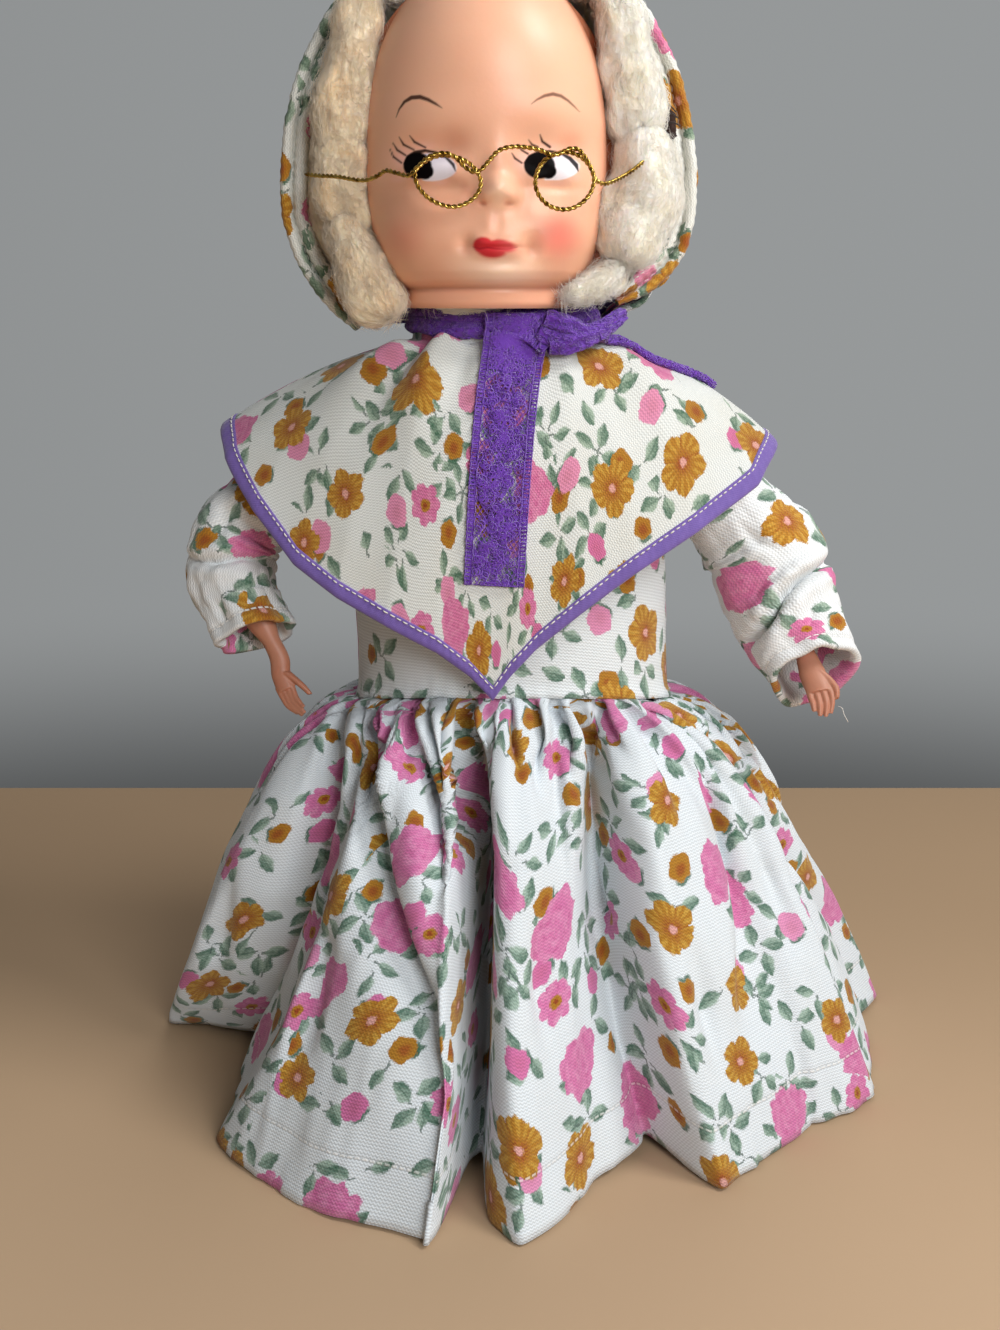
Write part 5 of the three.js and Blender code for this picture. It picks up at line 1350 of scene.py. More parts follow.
azs = np.linspace(-178, 178, 360)
c1, o1 = neck_ring(azs, 241.4, 0.5, 1)
c2, o2 = neck_ring(azs, 245.3, -0.2, 2)
# it sits lower beside the jaw, so that the mask clears it when the head turns
c2[:, 2] -= 2.9 * np.exp(-((azs - 80) / 22.0) ** 2)
band_a, band_b = crushed(c1, o1, 5.0, 1.7, 11), crushed(c2, o2, 4.4, 1.5, 12)
band = join([band_a, band_b])
neck_band = make("lace_neck_band", band, M_LACE_DENSE, "base")
solidify(neck_band, 0.25, 0.0)


def lace_work(name, grids, density, seed, loop=0.95, r=0.22):
    """looped thread over crushed lace; grids are (grid data, rows along, columns across)"""
    out = []
    for k, (data, n, m) in enumerate(grids):
        G = np.asarray(data[0]).reshape(n, m, 3)
        vv_ = np.concatenate([[0], np.cumsum(np.linalg.norm(np.diff(G.mean(1), axis=0), axis=1))])
        uu_ = np.concatenate([[0], np.cumsum(np.linalg.norm(np.diff(G[n // 2], axis=0), axis=1))])
        g_ = np.random.default_rng(seed + k)
        cnt = int(density * vv_[-1] * uu_[-1])
        lu, lv = loops(cnt, g_.uniform(0, uu_[-1], cnt), g_.uniform(0, vv_[-1], cnt), (0.1, uu_[-1] - 0.1), (0.1, vv_[-1] - 0.1), 16, loop, 3.0, seed + 40 + k)
        out.append(many_tubes(lay_on(G, uu_, vv_, lu, lv, 0.22), r * g_.uniform(0.7, 1.2, cnt), 3))
    return make(name, join(out), M_LACE_THREAD, "base")


lace_work("lace_neck_threads", [(band_a, 360, 26), (band_b, 360, 26)], 0.20, 51)
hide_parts("neck_ribbon")

# the tie: crushed wraps at the right of the front tail, and the free end over the shoulder
def px_path(points, count):
    return catmull([at_y(x, y, d) for x, y, d in points], count)


parts = []
for pts, wd, dp, sd in (
        ([(538, 330, -31.0), (560, 337, -32.5), (585, 336, -32.0), (603, 328, -29.5), (622, 315, -24.0)], [6.5, 7.4, 6.6, 5.0, 4.2], 1.7, 21),
        ([(548, 346, -33.2), (566, 344, -34.2), (584, 339, -33.5), (601, 332, -30.5)], [5.0, 6.0, 5.0, 4.0], 1.5, 22),
        ([(545, 318, -31.5), (562, 322, -33.0), (580, 330, -33.2), (590, 343, -32.0)], [5.0, 5.6, 5.2, 3.4], 1.4, 23)):
    c = px_path(pts, 46)
    o = normalize(c - np.array([AXIS_X, 6, 232]))
    parts.append(crushed(c, o, np.interp(np.linspace(0, 1, 46), np.linspace(0, 1, len(wd)), wd), dp, sd, folds=4))
lace_work("lace_knot_threads", [(q_, 46, 26) for q_ in parts], 0.30, 61)
knot = make("lace_knot", join(parts), M_LACE_DENSE, "base")
solidify(knot, 0.25, 0.0)
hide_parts("ribbon_knot")

fs = np.linspace(0, 1, 90)
dcs = 50 + 42 * fs
tcs = 0.13 + 0.56 * fs
pp, nn = cape_surface(dcs, tcs)
path = pp + nn * (1.5 + 1.6 * (1 - smoothstep(0, 0.25, fs)))[:, None]
k0 = at_y(596, 334, -31.0)
path[:18] += (k0 - path[0]) * (1 - smoothstep(0, 0.2, fs[:18]))[:, None]
sidew = 5.2 - 2.2 * smoothstep(0.0, 0.8, fs)
tail_side_data = crushed(path, nn, sidew, 0.9, 31, folds=3)
tail_side = make("lace_tail_side", tail_side_data, M_LACE_DENSE, "base")
lace_work("lace_side_threads", [(tail_side_data, 90, 26)], 0.30, 71)
solidify(tail_side, 0.25, 0.0)
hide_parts("ribbon_tail_side")


# --------------------------------------------------------------------- arms
ARM = {
    "right": dict(c=[(-49, 0, 213), (-62, 0, 201), (-76, 0, 188), (-87, -1, 175), (-88.5, -5, 163), (-84.5, -11, 153), (-79.5, -17, 144.5)],
                  a=(-27, 0, -25), end=(0.3, -0.5, -0.8), r=[15, 15.5, 16, 16.5, 15.5, 13.5, 12.5],
                  hand=[(-86, -8, 163), (-81.5, -12.5, 156), (-77.4, -16.5, 148.5), (-71.8, -20, 138.5), (-70.9, -22, 132.8), (-69.0, -24.2, 128), (-66.4, -26.3, 123.8), (-62.8, -27.8, 121.2)]),
    "left": dict(c=[(52, 0, 212), (64, 0, 199.5), (76, 0, 187), (87, -1, 173), (91, -5, 158), (96, -13, 145), (102, -21, 132.5)],
                 a=(25, 0, -26), end=(0.22, -0.80, -0.55), r=[15, 16, 18.5, 21, 20, 16.5, 14.5],
                 hand=[(92.8, -7, 156.5), (95.5, -12, 149), (98, -17.5, 142), (100, -23, 135.5), (101, -26.5, 132), (102, -30, 128.8), (102.5, -33, 125.5), (102.3, -34, 122)]),
}


def sleeve(side, seed, mat, wrinkle):
    D = ARM[side]
    n, m = 150, 110
    path = catmull(D["c"], m)
    T = normalize(np.gradient(path, axis=0))
    T[0] = np.array(D["a"]) / np.linalg.norm(D["a"])
    e = np.array(D["end"]) / np.linalg.norm(D["end"])
    w = smoothstep(0.82, 1.0, np.linspace(0, 1, m))[:, None]
    T = normalize(T * (1 - w) + e * w)
    ref = np.array([0, 1.0, 0])
    u = normalize(ref - T * (T @ ref)[:, None])
    v = np.cross(T, u)
    s = np.concatenate([[0], np.cumsum(np.linalg.norm(np.diff(path, axis=0), axis=1))])
    L = s[-1]
    rad = np.interp(np.linspace(0, 1, m), np.linspace(0, 1, len(D["r"])), D["r"])
    ph = np.linspace(0, 2 * math.pi, n, endpoint=False)
    PH, S = np.meshgrid(ph, s)
    q = np.stack([np.cos(PH) * 1.1, np.sin(PH) * 1.1, S / 12.0], -1)
    body = smoothstep(4, 18, S) * smoothstep(L + 3, L - 9, S)
    d = wrinkle * 1.5 * fbm(q, 1.0, seed) * body
    # creases across the sleeve, deepest where it bends
    bend = np.exp(-((S - 0.56 * L) / (0.17 * L)) ** 2)
    warp = S + 3.2 * np.sin(PH + 0.6) + 2.4 * vnoise(q, 1.4, seed + 3)
    cr = np.abs(np.sin(warp / 7.2 * math.pi)) ** 1.3
    d -= wrinkle * 2.1 * (1 - cr) * bend * smoothstep(-0.9, 0.5, np.cos(PH - 0.4 * (1 if side == "left" else 3)))
    q2 = np.stack([np.cos(PH) * 3, np.sin(PH) * 3, S / 40.0], -1)
    d += wrinkle * 0.8 * fbm(q2, 1.0, seed + 7) * body
    # soft lengthwise gathers near the cuff, and its turned edge
    cuff = smoothstep(L - 16, L - 2, S)
    d += 0.8 * np.sin(PH * 5 + 1.2 * np.sin(PH * 2 + seed)) * cuff
    d += 0.5 * smoothstep(L - 1.6, L - 0.2, S) - 0.35 * np.exp(-((S - (L - 4.2)) / 0.8) ** 2)
    rr = rad[:, None] - 0.4 + d
    P = path[:, None] + (rr * np.cos(PH))[..., None] * u[:, None] + (rr * np.sin(PH))[..., None] * v[:, None]
    nr = normalize(P - path[:, None])
    f = np.linspace(0, 1, m)[:, None]
    if side == "left":
        far = np.maximum(0, nr @ normalize(np.array([0.7, 0, 0.7]))) ** 1.5
        tip = np.maximum(0, nr @ normalize(np.array([1.0, 0, -0.1]))) ** 4
        P = P + nr * (far * np.interp(f, [0, 0.16, 0.33, 0.48, 0.58, 0.68], [-1.5, -5.0, -7.0, -6.5, -2.5, 0]) + tip * (3.4 * np.exp(-((f - 0.53) / 0.05) ** 2) - 2.2 * np.exp(-((f - 0.64) / 0.045) ** 2)))[..., None]
        lines = [([(838, 560), (818, 570), (802, 579), (783, 596), (773, 614), (756, 634), (733, 660)], [-3.5, -6.0, -6.2, -5.2, -3.0], [4, 5.5]),
                 ([(824, 552), (798, 566), (774, 590), (760, 612)], [1.6, 2.8, 2.0], [6, 8]), ([(832, 575), (806, 592), (788, 610), (774, 640)], [1.0, 1.8, 1.0], [6, 8]),
                 ([(700, 560), (716, 600), (730, 640)], [0, -2.4, 0], [6, 7]),
                 ([(812, 585), (812, 615), (806, 640)], [0, -2.2, 0], [6, 7]),
                 ([(735, 520), (760, 545), (790, 552)], [0, -2.0, 0], [6, 7])]
    else:
        far = np.maximum(0, nr @ normalize(np.array([-0.75, 0, 0.66]))) ** 1.5
        tip = np.maximum(0, nr @ normalize(np.array([-1.0, 0, 0.0]))) ** 4
        P = P + nr * (far * np.interp(f, [0, 0.16, 0.33, 0.48, 0.58, 0.68], [-0.5, -2.5, -4.8, -4.5, -2.0, 0]) + tip * (1.6 * np.exp(-((f - 0.56) / 0.04) ** 2) - 2.6 * np.exp(-((f - 0.655) / 0.035) ** 2)))[..., None]
        lines = [([(184, 560), (215, 562), (244, 556), (285, 565)], [-3.2, -3.6, -3.0, -1.5], [4.5, 6]),
                 ([(190, 547), (225, 549), (262, 541)], [0.6, 1.0, 0.4], [5, 6]),
                 ([(196, 574), (230, 573), (270, 577)], [0.4, 0.9, 0.4], [5, 6]),
                 ([(262, 572), (252, 592), (246, 612)], [0, -2.0, 0], [5, 6]),
                 ([(232, 500), (225, 525), (212, 545)], [0, -2.2, 0], [6, 7])]
    P = P + nr * traced(P, nr, lines)[..., None]
    # the turned-in hem
    rows = []
    for k, back_mm in enumerate(np.linspace(0.5, 12, 14)):
        base = path[-1] - T[-1] * (back_mm if k else 0.25)
        r2 = rr[-1] - 1.0 - 0.35 * np.minimum(back_mm, 2)
        rows.append(base + (r2 * np.cos(ph))[:, None] * u[-1] + (r2 * np.sin(ph))[:, None] * v[-1])
    P = np.concatenate([P, np.stack(rows)])
    sv = np.concatenate([L - s, -np.linspace(0.5, 12, 14)])
    circ = ph / (2 * math.pi) * 2 * math.pi * 15.0
    circ = np.append(circ, 2 * math.pi * 15.0)
    uv = np.stack(np.broadcast_arrays(circ[None, :], sv[:, None]), -1) * MM
    ob = make("sleeve_cloth_" + side, grid(P, closed_u=True, uv=uv, flip=True), mat, "arm_" + side)
    solidify(ob, 0.6)
    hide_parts("sleeve_" + side)
    # white hem stitches
    parts = []
    k = int(np.argmin(np.abs(s - (L - 4.2))))
    ringp = P[k] + normalize(P[k] - path[k]) * 0.12
    ringc = np.concatenate([ringp, ringp[:1]])
    acc = np.concatenate([[0], np.cumsum(np.linalg.norm(np.diff(ringc, axis=0), axis=1))])
    x = 0.0
    while x < acc[-1] - 2.4:
        qq = np.linspace(x, x + 2.3, 5)
        pts = np.stack([np.interp(qq, acc, ringc[:, c]) for c in range(3)], -1)
        parts.append(tube(pts, [0.15, 0.24, 0.25, 0.24, 0.15], 6))
        x += 2.7
    st = make("sleeve_stitch_" + side, join(parts), M_THREAD, "arm_" + side)
    return ob, (2 * math.pi * 15.5 * MM, (L + 12) * MM)


sleeve_r, flat_sr = sleeve("right", 41, M_SLEEVE_R, 1.0)
sleeve_l, flat_sl = sleeve("left", 57, M_SLEEVE_L, 0.8)


def hand(side):
    H = np.array(ARM[side]["hand"], float)
    T = normalize(np.gradient(H, axis=0))
    ref = np.array([0, 1.0, 0])
    u = normalize(ref - T * (T @ ref)[:, None])       # thickness of the hand
    v = np.cross(T, u)                                # width of the hand
    parts = []

    def flat_tube(pts, ru, rv, uu, vv, count=20, sides=18):
        pts = np.asarray(pts, float)
        p = catmull(pts, count)
        k = np.linspace(0, len(pts) - 1, count)
        ru = np.interp(k, range(len(pts)), ru)
        rv = np.interp(k, range(len(pts)), rv)
        uu = normalize(np.stack([np.interp(k, range(len(pts)), uu[:, c]) for c in range(3)], -1))
        vv = normalize(np.stack([np.interp(k, range(len(pts)), vv[:, c]) for c in range(3)], -1))
        t = np.arange(sides) / sides * 2 * math.pi
        P = p[:, None] + (ru[:, None] * np.cos(t))[..., None] * uu[:, None] + (rv[:, None] * np.sin(t))[..., None] * vv[:, None]
        P = np.concatenate([np.repeat(p[:1, None], sides, 1), P, np.repeat(p[-1:, None], sides, 1)])
        V, F, _ = grid(P, closed_u=True)
        return V, F, None

    # forearm and palm
    if side == "right":
        parts.append(flat_tube(H[:6], [4.6, 5.0, 4.6, 2.9, 2.5, 1.8], [4.8, 5.6, 5.1, 2.9, 3.3, 3.0], u[:6], v[:6], 40, 24))
    else:
        parts.append(flat_tube(H[:6], [4.2, 4.3, 3.7, 2.7, 2.7, 1.9], [4.2, 4.4, 3.8, 3.1, 4.3, 4.0], u[:6], v[:6], 40, 24))
    fing = [(-3.25, 0.82, 1.05), (-1.1, 1.0, 1.15), (1.1, 1.02, 1.15), (3.2, 0.88, 1.08)]
    root, mid, tip = H[5], H[6], H[7]
    for k, (o, ln, r) in enumerate(fing):
        spread = 0.62 if side == "right" else 1.0
        a0 = root - T[5] * 2.0 + v[5] * o * (0.7 if side == "right" else 0.95)
        a1 = root + T[5] * 2.0 * ln + v[5] * o * spread
        curl = -u[6] * (0.5 + 0.5 * k * 0.3)
        a2 = root + (mid - root) * ln + v[6] * o * spread * 0.95 + curl * 0.3
        a3 = root + (tip - root) * ln + v[7] * o * spread * 0.8 + curl * 1.4
        parts.append(flat_tube([a0, a1, a2, a3], [r * 1.02, r, r * 0.92, r * 0.62], [r * 1.0, r * 0.95, r * 0.88, r * 0.6], np.stack([u[5], u[5], u[6], u[7]]), np.stack([v[5], v[5], v[6], v[7]]), 14, 12))
    thumb = {"right": [(-69.2, -22.4, 133.4), (-66.2, -23.6, 131.4), (-63.4, -24.6, 129.2), (-61.2, -25.4, 127.0)],
             "left": [(102.4, -25.4, 134.4), (105.4, -27.6, 132.2), (107.1, -30, 130), (107.0, -32.4, 127.6)]}[side]
    tu = np.repeat(u[4:5], 4, 0)
    tv = np.repeat(v[4:5], 4, 0)
    parts.append(flat_tube(thumb, [1.9, 1.55, 1.3, 0.85], [1.7, 1.45, 1.25, 0.85], tu, tv, 16, 12))
    ob = make("hand_" + side, join(parts), M_HAND, None)
    modifier(ob, "REMESH", mode="VOXEL", voxel_size=0.27 * MM, use_smooth_shade=True)
    modifier(ob, "SMOOTH", factor=0.5, iterations=3)
    apply_modifiers(ob)
    ob.name = "vinyl_hand_" + side
    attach(ob, "arm_" + side)
    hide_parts("forearm_" + side)
    return ob


hand("right")
hand("left")

# a loose thread end at the left cuff
thread = tube(catmull([at_y(838, 706, -27), at_y(842, 708, -28), at_y(844, 714, -28.5), at_y(848, 722, -28)], 16), 0.12, 6)
make("loose_thread", thread, M_THREAD, "arm_left")


# --------------------------------------------------------------------- face
# section of the mask by height: z, half width, depth in front of HEAD_CY
FACE = [[247.7, 25.6, 28.0], [248.3, 26.6, 29.2], [249.4, 27.0, 29.7], [252.4, 26.6, 29.4], [253.3, 26.0, 28.6],
        [254.2, 27.4, 30.2], [255.6, 29.4, 32.4], [258, 31.4, 34.2], [262, 33.2, 35.6], [268, 34.9, 36.2], [276, 36.0, 36.6],
        [284, 36.4, 37.0], [292, 36.3, 37.6], [302, 35.8, 38.6], [312, 34.2, 38.8], [320, 32.0, 37.6], [328, 28.2, 34.5],
        [335, 23.2, 30], [341, 17, 23], [345, 10.2, 14.5], [347.2, 3.5, 5.0], [347.6, 0.6, 0.8]]


def px_xz(px, py, y=-47.5):
    p = at_y(px, py, y)
    return p[0], p[2]


def bell(x, z, px, py, sx, sz, h, tilt=0.0):
    cx_, cz_ = px_xz(px, py)
    dx, dz = x - cx_, z - cz_
    c_, s_ = math.cos(tilt), math.sin(tilt)
    a_, b_ = dx * c_ + dz * s_, -dx * s_ + dz * c_
    return h * np.exp(-(a_ / sx) ** 2 - (b_ / sz) ** 2)


def face_relief(x, z):
    # nose: a small round button, with its bridge, wings and nostrils
    d = bell(x, z, 497, 189, 3.7, 3.5, 4.4) + bell(x, z, 498, 170, 3.3, 7.5, 1.3)
    d += bell(x, z, 484, 195, 2.4, 2.1, 1.5) + bell(x, z, 511, 196, 2.4, 2.1, 1.5)
    d -= bell(x, z, 482.5, 203.5, 1.2, 0.8, 0.7) + bell(x, z, 508.5, 203.5, 1.2, 0.8, 0.4)
    d -= bell(x, z, 472, 196, 2.4, 4.4, 0.5) + bell(x, z, 523, 196, 2.4, 4.4, 0.5)
    # philtrum and its two ridges
    d -= bell(x, z, 497, 222, 1.5, 2.4, 0.30)
    d += bell(x, z, 488.5, 222, 1.9, 3.2, 0.42) + bell(x, z, 505, 226, 2.6, 4.0, 0.2)
    d += bell(x, z, 497, 240, 11, 9.0, 2.1)
    # lips
    d += bell(x, z, 483.5, 241.5, 2.7, 1.7, 1.15) + bell(x, z, 503, 242.5, 3.8, 1.5, 1.0) + bell(x, z, 493, 252, 4.9, 1.9, 1.35)
    d -= bell(x, z, 495, 247.2, 6.6, 0.55, 0.75)
    d -= bell(x, z, 466, 244, 2.4, 2.6, 1.4) + bell(x, z, 530, 247, 2.6, 3.4, 1.8)
    d -= bell(x, z, 494, 262, 6.0, 1.7, 0.9)
    # cheeks, chin, eye sockets, lids and brow
    d += bell(x, z, 412, 226, 11.0, 11.5, 2.5) + bell(x, z, 563, 232, 10.5, 11.0, 2.9)
    d += bell(x, z, 498, 276, 9.0, 4.6, 1.8)
    d -= bell(x, z, 446, 146, 7.5, 6.0, 1.5) + bell(x, z, 534, 146, 6.5, 6.0, 1.3)
    d -= bell(x, z, 420, 148, 9.0, 5.0, 0.8) + bell(x, z, 568, 146, 8.0, 5.0, 0.8)
    d += bell(x, z, 430, 169, 7.0, 3.9, 1.5) + bell(x, z, 556, 168, 7.0, 3.9, 1.5)
    d -= bell(x, z, 432, 186, 8.0, 1.5, 0.6) + bell(x, z, 558, 186, 8.0, 1.5, 0.6)
    d += bell(x, z, 420, 116, 12, 6.0, 0.8) + bell(x, z, 560, 110, 12, 6.0, 0.8)
    return d


def spaced(spans):
    out = [np.array([spans[0][0]])]
    for lo, hi, step in spans:
        n = max(1, int(round((hi - lo) / step)))
        out.append(np.linspace(lo, hi, n + 1)[1:])
    return np.concatenate(out)


D1, D2, D3, D4 = 0.27 / 37, 0.7 / 37, 0.85 / 37, 0.6 / 37
ths = spaced([(math.radians(-104), math.radians(-86), D3), (math.radians(-86), math.radians(-76), D4), (math.radians(-76), math.radians(-47), D2),
              (math.radians(-47), math.radians(47), D1), (math.radians(47), math.radians(76), D2), (math.radians(76), math.radians(86), D4),
              (math.radians(86), math.radians(104), D3)])
zz = spaced([(247.7, 256, 0.3), (256, 262, 0.5), (262, 312, 0.27), (312, 345, 0.8), (345, 347.6, 0.25)])
TH, Z = np.meshgrid(ths, zz)
hw = smooth_interp(Z, [r[:2] for r in FACE], soft=0.8)
hd = smooth_interp(Z, [[r[0], r[2]] for r in FACE], soft=0.8)
hw2 = smooth_interp(Z, [r[:2] for r in FACE], soft=5)
hd2 = smooth_interp(Z, [[r[0], r[2]] for r in FACE], soft=5)
w = smoothstep(258, 264, Z) * smoothstep(345, 338, Z)
hw, hd = hw * (1 - w) + hw2 * w, hd * (1 - w) + hd2 * w
sq = 1 - 0.03 * np.cos(2 * TH) * smoothstep(262, 275, Z)
FX = hw * np.sin(TH) * sq
FY = -hd * np.cos(TH) * sq
rel = face_relief(HEAD_CX + FX, Z) * smoothstep(math.radians(85), math.radians(58), np.abs(TH))
# the mask's rim turns out at the sides
tall = smoothstep(256, 266, Z) * smoothstep(342, 332, Z)
rim = smoothstep(math.radians(79), math.radians(85), np.abs(TH)) * tall
crease = np.exp(-((np.abs(TH) - math.radians(77.5)) / math.radians(3.0)) ** 2) * tall
grow = rel + 2.4 * rim - 1.0 * crease
NX, NY = np.sin(TH), -np.cos(TH)
dome = smoothstep(315, 347, Z)
FP = np.stack([HEAD_CX + FX + NX * grow * (1 - dome), HEAD_CY + FY + NY * grow * (1 - 0.4 * dome), Z], -1)
FP[..., 1] = np.minimum(FP[..., 1], -6.5)
face_uv = np.stack([TH * 36.0, Z], -1) * MM

# the painting, drawn on the front of the mask; places are in pixels of the camera's image
Q = to_px(FP)
QX, QY = Q[..., 0], Q[..., 1]
front = smoothstep(math.radians(78), math.radians(70), np.abs(TH))


def brush(points, widths, soft=0.7):
    """a line of varying width"""
    best = np.full(QX.shape, -99.0)
    for (x0, y0), (x1, y1), w0, w1 in zip(points[:-1], points[1:], widths[:-1], widths[1:]):
        dx, dy = x1 - x0, y1 - y0
        h_ = np.clip(((QX - x0) * dx + (QY - y0) * dy) / (dx * dx + dy * dy), 0, 1)
        d = np.hypot(QX - x0 - h_ * dx, QY - y0 - h_ * dy)
        best = np.maximum(best, (w0 + (w1 - w0) * h_) / 2 - d)
    return smoothstep(-soft, soft, best)


def oval(cx, cy, rx, ry, tilt=0.0, soft=0.8):
    c_, s_ = math.cos(tilt), math.sin(tilt)
    a_ = ((QX - cx) * c_ + (QY - cy) * s_) / rx
    b_ = (-(QX - cx) * s_ + (QY - cy) * c_) / ry
    k = soft / min(rx, ry)
    return smoothstep(1 + k, 1 - k, np.hypot(a_, b_))


def haze(cx, cy, rx, ry, tilt=0.0):
    c_, s_ = math.cos(tilt), math.sin(tilt)
    a_ = ((QX - cx) * c_ + (QY - cy) * s_) / rx
    b_ = (-(QX - cx) * s_ + (QY - cy) * c_) / ry
    return smoothstep(1.0, 0.0, np.hypot(a_, b_))


def over(base, cover, color):
    c_ = (cover * front)[..., None]
    return base * (1 - c_) + np.array(color[:3]) * c_


VS = np.stack([FP[..., 0], FP[..., 1], FP[..., 2]], -1)
mott = 0.5 + 0.5 * fbm(VS, 0.05, 301, 2)[..., None]
SKIN_A, SKIN_B = np.array(srgb(248, 190, 158)[:3]), np.array(srgb(243, 180, 148)[:3])
skin = SKIN_A * (1 - mott) + SKIN_B * mott
# painted shade: the skin darkens to a warm brown at the sides of the mask, which turn away from the light
sidew = smoothstep(math.radians(58), math.radians(84), np.abs(TH))[..., None] * 0.75
skin = skin * (1 - sidew) + np.array(srgb(212, 126, 88)[:3]) * sidew
# painted shade: the skin darkens towards the underside of the chin
chin_underside_shade = (smoothstep(257, 250, Z) * 0.22)[..., None]
skin = skin * (1 - chin_underside_shade) + np.array(srgb(222, 146, 116)[:3]) * chin_underside_shade
skin = over(skin, 0.68 * haze(558, 237, 32, 31), srgb(242, 112, 102))
skin = over(skin, 0.35 * haze(559, 236, 36, 36), srgb(244, 140, 124))
skin = over(skin, 0.34 * haze(402, 240, 34, 32), srgb(226, 116, 98))
# painted highlights: lighter patches on the chin, the nose and the muzzle
skin = over(skin, 0.90 * haze(503, 271, 60, 26), srgb(255, 216, 190))
skin = over(skin, 0.85 * haze(498, 195, 17, 22), srgb(255, 213, 184))
skin = over(skin, 0.55 * haze(466, 262, 34, 18), srgb(255, 208, 180))
skin = over(skin, 0.35 * haze(455, 222, 22, 18), srgb(252, 196, 166))
# painted shade: above the eyes, beside the nose, in the nostrils, in the philtrum and at the corners of the mouth
skin = over(skin, 0.34 * haze(455, 140, 26, 22), srgb(206, 118, 86))
skin = over(skin, 0.32 * haze(570, 142, 22, 16), srgb(222, 120, 90))
skin = over(skin, 0.20 * haze(425, 138, 30, 18), srgb(222, 136, 104))
skin = over(skin, 0.35 * haze(533, 190, 8, 16), srgb(206, 124, 96))
skin = over(skin, 0.35 * haze(465, 190, 8, 14), srgb(206, 124, 96))
skin = over(skin, 0.50 * np.maximum(haze(482.5, 204, 6, 4.5), haze(508.5, 203.5, 6.5, 4.5)), srgb(176, 88, 70))
skin = over(skin, 0.30 * haze(494.5, 219, 4.5, 9), srgb(200, 124, 100))
skin = over(skin, 0.30 * haze(531, 248, 9, 13), srgb(190, 106, 84))
skin = over(skin, 0.25 * haze(466, 246, 8, 10), srgb(190, 106, 84))
# pale pink printed round the lashes and the eyes' corners
for x_, y_, rx_, ry_, k_ in ((404, 158, 20, 17, 0.6), (424, 146, 16, 10, 0.4), (526, 161, 20, 16, 0.55), (548, 148, 16, 9, 0.35), (398, 179, 12, 6, 0.35), (574, 178, 12, 6, 0.35), (440, 182, 18, 6, 0.4), (560, 183, 18, 6, 0.4)):
    skin = over(skin, k_ * haze(x_, y_, rx_, ry_), srgb(250, 190, 180))
paint_cover = np.zeros_like(QX)
INK = srgb(14, 10, 11)


def lay(cover, color, k=1.0):
    global skin, paint_cover
    skin = over(skin, cover * k, color)
    paint_cover = np.maximum(paint_cover, cover * front)


# viewer's left eye: black iris at the outer side, white at the inner, looking aside
eye_l = np.minimum(oval(430, 167.3, 26.5, 13.8, 0.03), oval(432, 178, 34, 25.5))
eye_l = np.minimum(eye_l, smoothstep(182.0, 180.4, QY))
lay(eye_l * smoothstep(421, 424, QX), srgb(240, 232, 240))
lay(eye_l * smoothstep(421, 424, QX) * smoothstep(165, 155, QY), srgb(196, 184, 202), 0.6)
lay(eye_l * smoothstep(446, 456, QX), srgb(216, 200, 212), 0.5)
lay(oval(417.5, 165.8, 14.2, 13.4), INK)
lay(oval(425.0, 171.5, 8.6, 8.0), INK)
lay(brush([(404.5, 164), (408, 157), (415, 152.6), (425, 150.6), (436, 152.4), (446, 157.4), (453, 164.5), (455.5, 171)], [2.5, 4.0, 4.0, 3.2, 2.4, 2.6, 3.4, 1.0]), INK, 0.95)
# painted highlight: a small pale glint on the pupil
lay(haze(431.5, 178.5, 3.4, 3.0), srgb(232, 226, 236), 0.75)
# viewer's right eye
eye_r = np.minimum(oval(553, 167.0, 26.5, 13.6, -0.02), oval(551, 178, 34, 25.5))
eye_r = np.minimum(eye_r, smoothstep(181.0, 179.4, QY))
lay(eye_r * smoothstep(543, 546, QX), srgb(246, 238, 244))
lay(eye_r * smoothstep(543, 546, QX) * smoothstep(164, 155, QY), srgb(206, 192, 208), 0.55)
lay(oval(539.5, 165.6, 15.6, 13.2), INK)
lay(oval(548.3, 171.3, 8.2, 7.6), INK)
lay(brush([(525, 163), (530, 156.5), (539, 152.3), (550, 151.3), (561, 153.2), (570, 158.5), (576, 165), (578.2, 171)], [2.5, 4.0, 4.0, 3.0, 2.6, 4.2, 4.6, 1.2]), INK, 0.95)
# painted highlight: a small pale glint on the pupil
lay(haze(555.5, 177.5, 3.4, 3.0), srgb(236, 230, 238), 0.75)
# lashes
for l_, w_ in (([(389.8, 149), (393.5, 156.8), (401.5, 162.8)], [0.6, 2.1, 1.7]), ([(392.8, 142.6), (397.2, 150), (405.4, 155.2)], [0.6, 2.2, 1.9]),
               ([(399, 137), (403.6, 144.6), (413.8, 149.8)], [0.7, 2.3, 1.6]), ([(409.6, 135.6), (414.5, 142), (425.4, 147.5)], [0.7, 2.3, 1.8]),
               ([(511.8, 153), (515, 158.3), (521.8, 162.9)], [0.8, 2.2, 1.9]), ([(517.5, 144.5), (521.5, 150), (527.8, 153.8)], [0.6, 2.0, 2.2]),
               ([(528.5, 139.8), (532, 144.6), (538, 147)], [0.8, 2.2, 1.9]), ([(540, 134.8), (542.4, 141.6), (549.8, 146.9)], [1.0, 2.6, 2.9])):
    lay(brush(l_, w_, 0.75), srgb(26, 14, 14), 0.95)
# brows
lay(brush([(396, 117.5), (399.3, 109), (404.5, 101.8), (411.5, 97.6), (420, 96.9), (428, 99.6), (435.5, 103.7), (442, 108)], [0.4, 1.6, 2.9, 4.1, 4.3, 3.6, 2.6, 0.6], 0.8), srgb(50, 30, 27), 0.93)
lay(brush([(531.3, 104), (537, 99.6), (544.5, 95.8), (553, 94), (561, 96), (568, 100.6), (574, 106.2), (579.5, 111.8)], [0.5, 1.8, 3.0, 3.6, 3.2, 2.4, 1.6, 0.4], 0.9), srgb(88, 60, 50), 0.82)
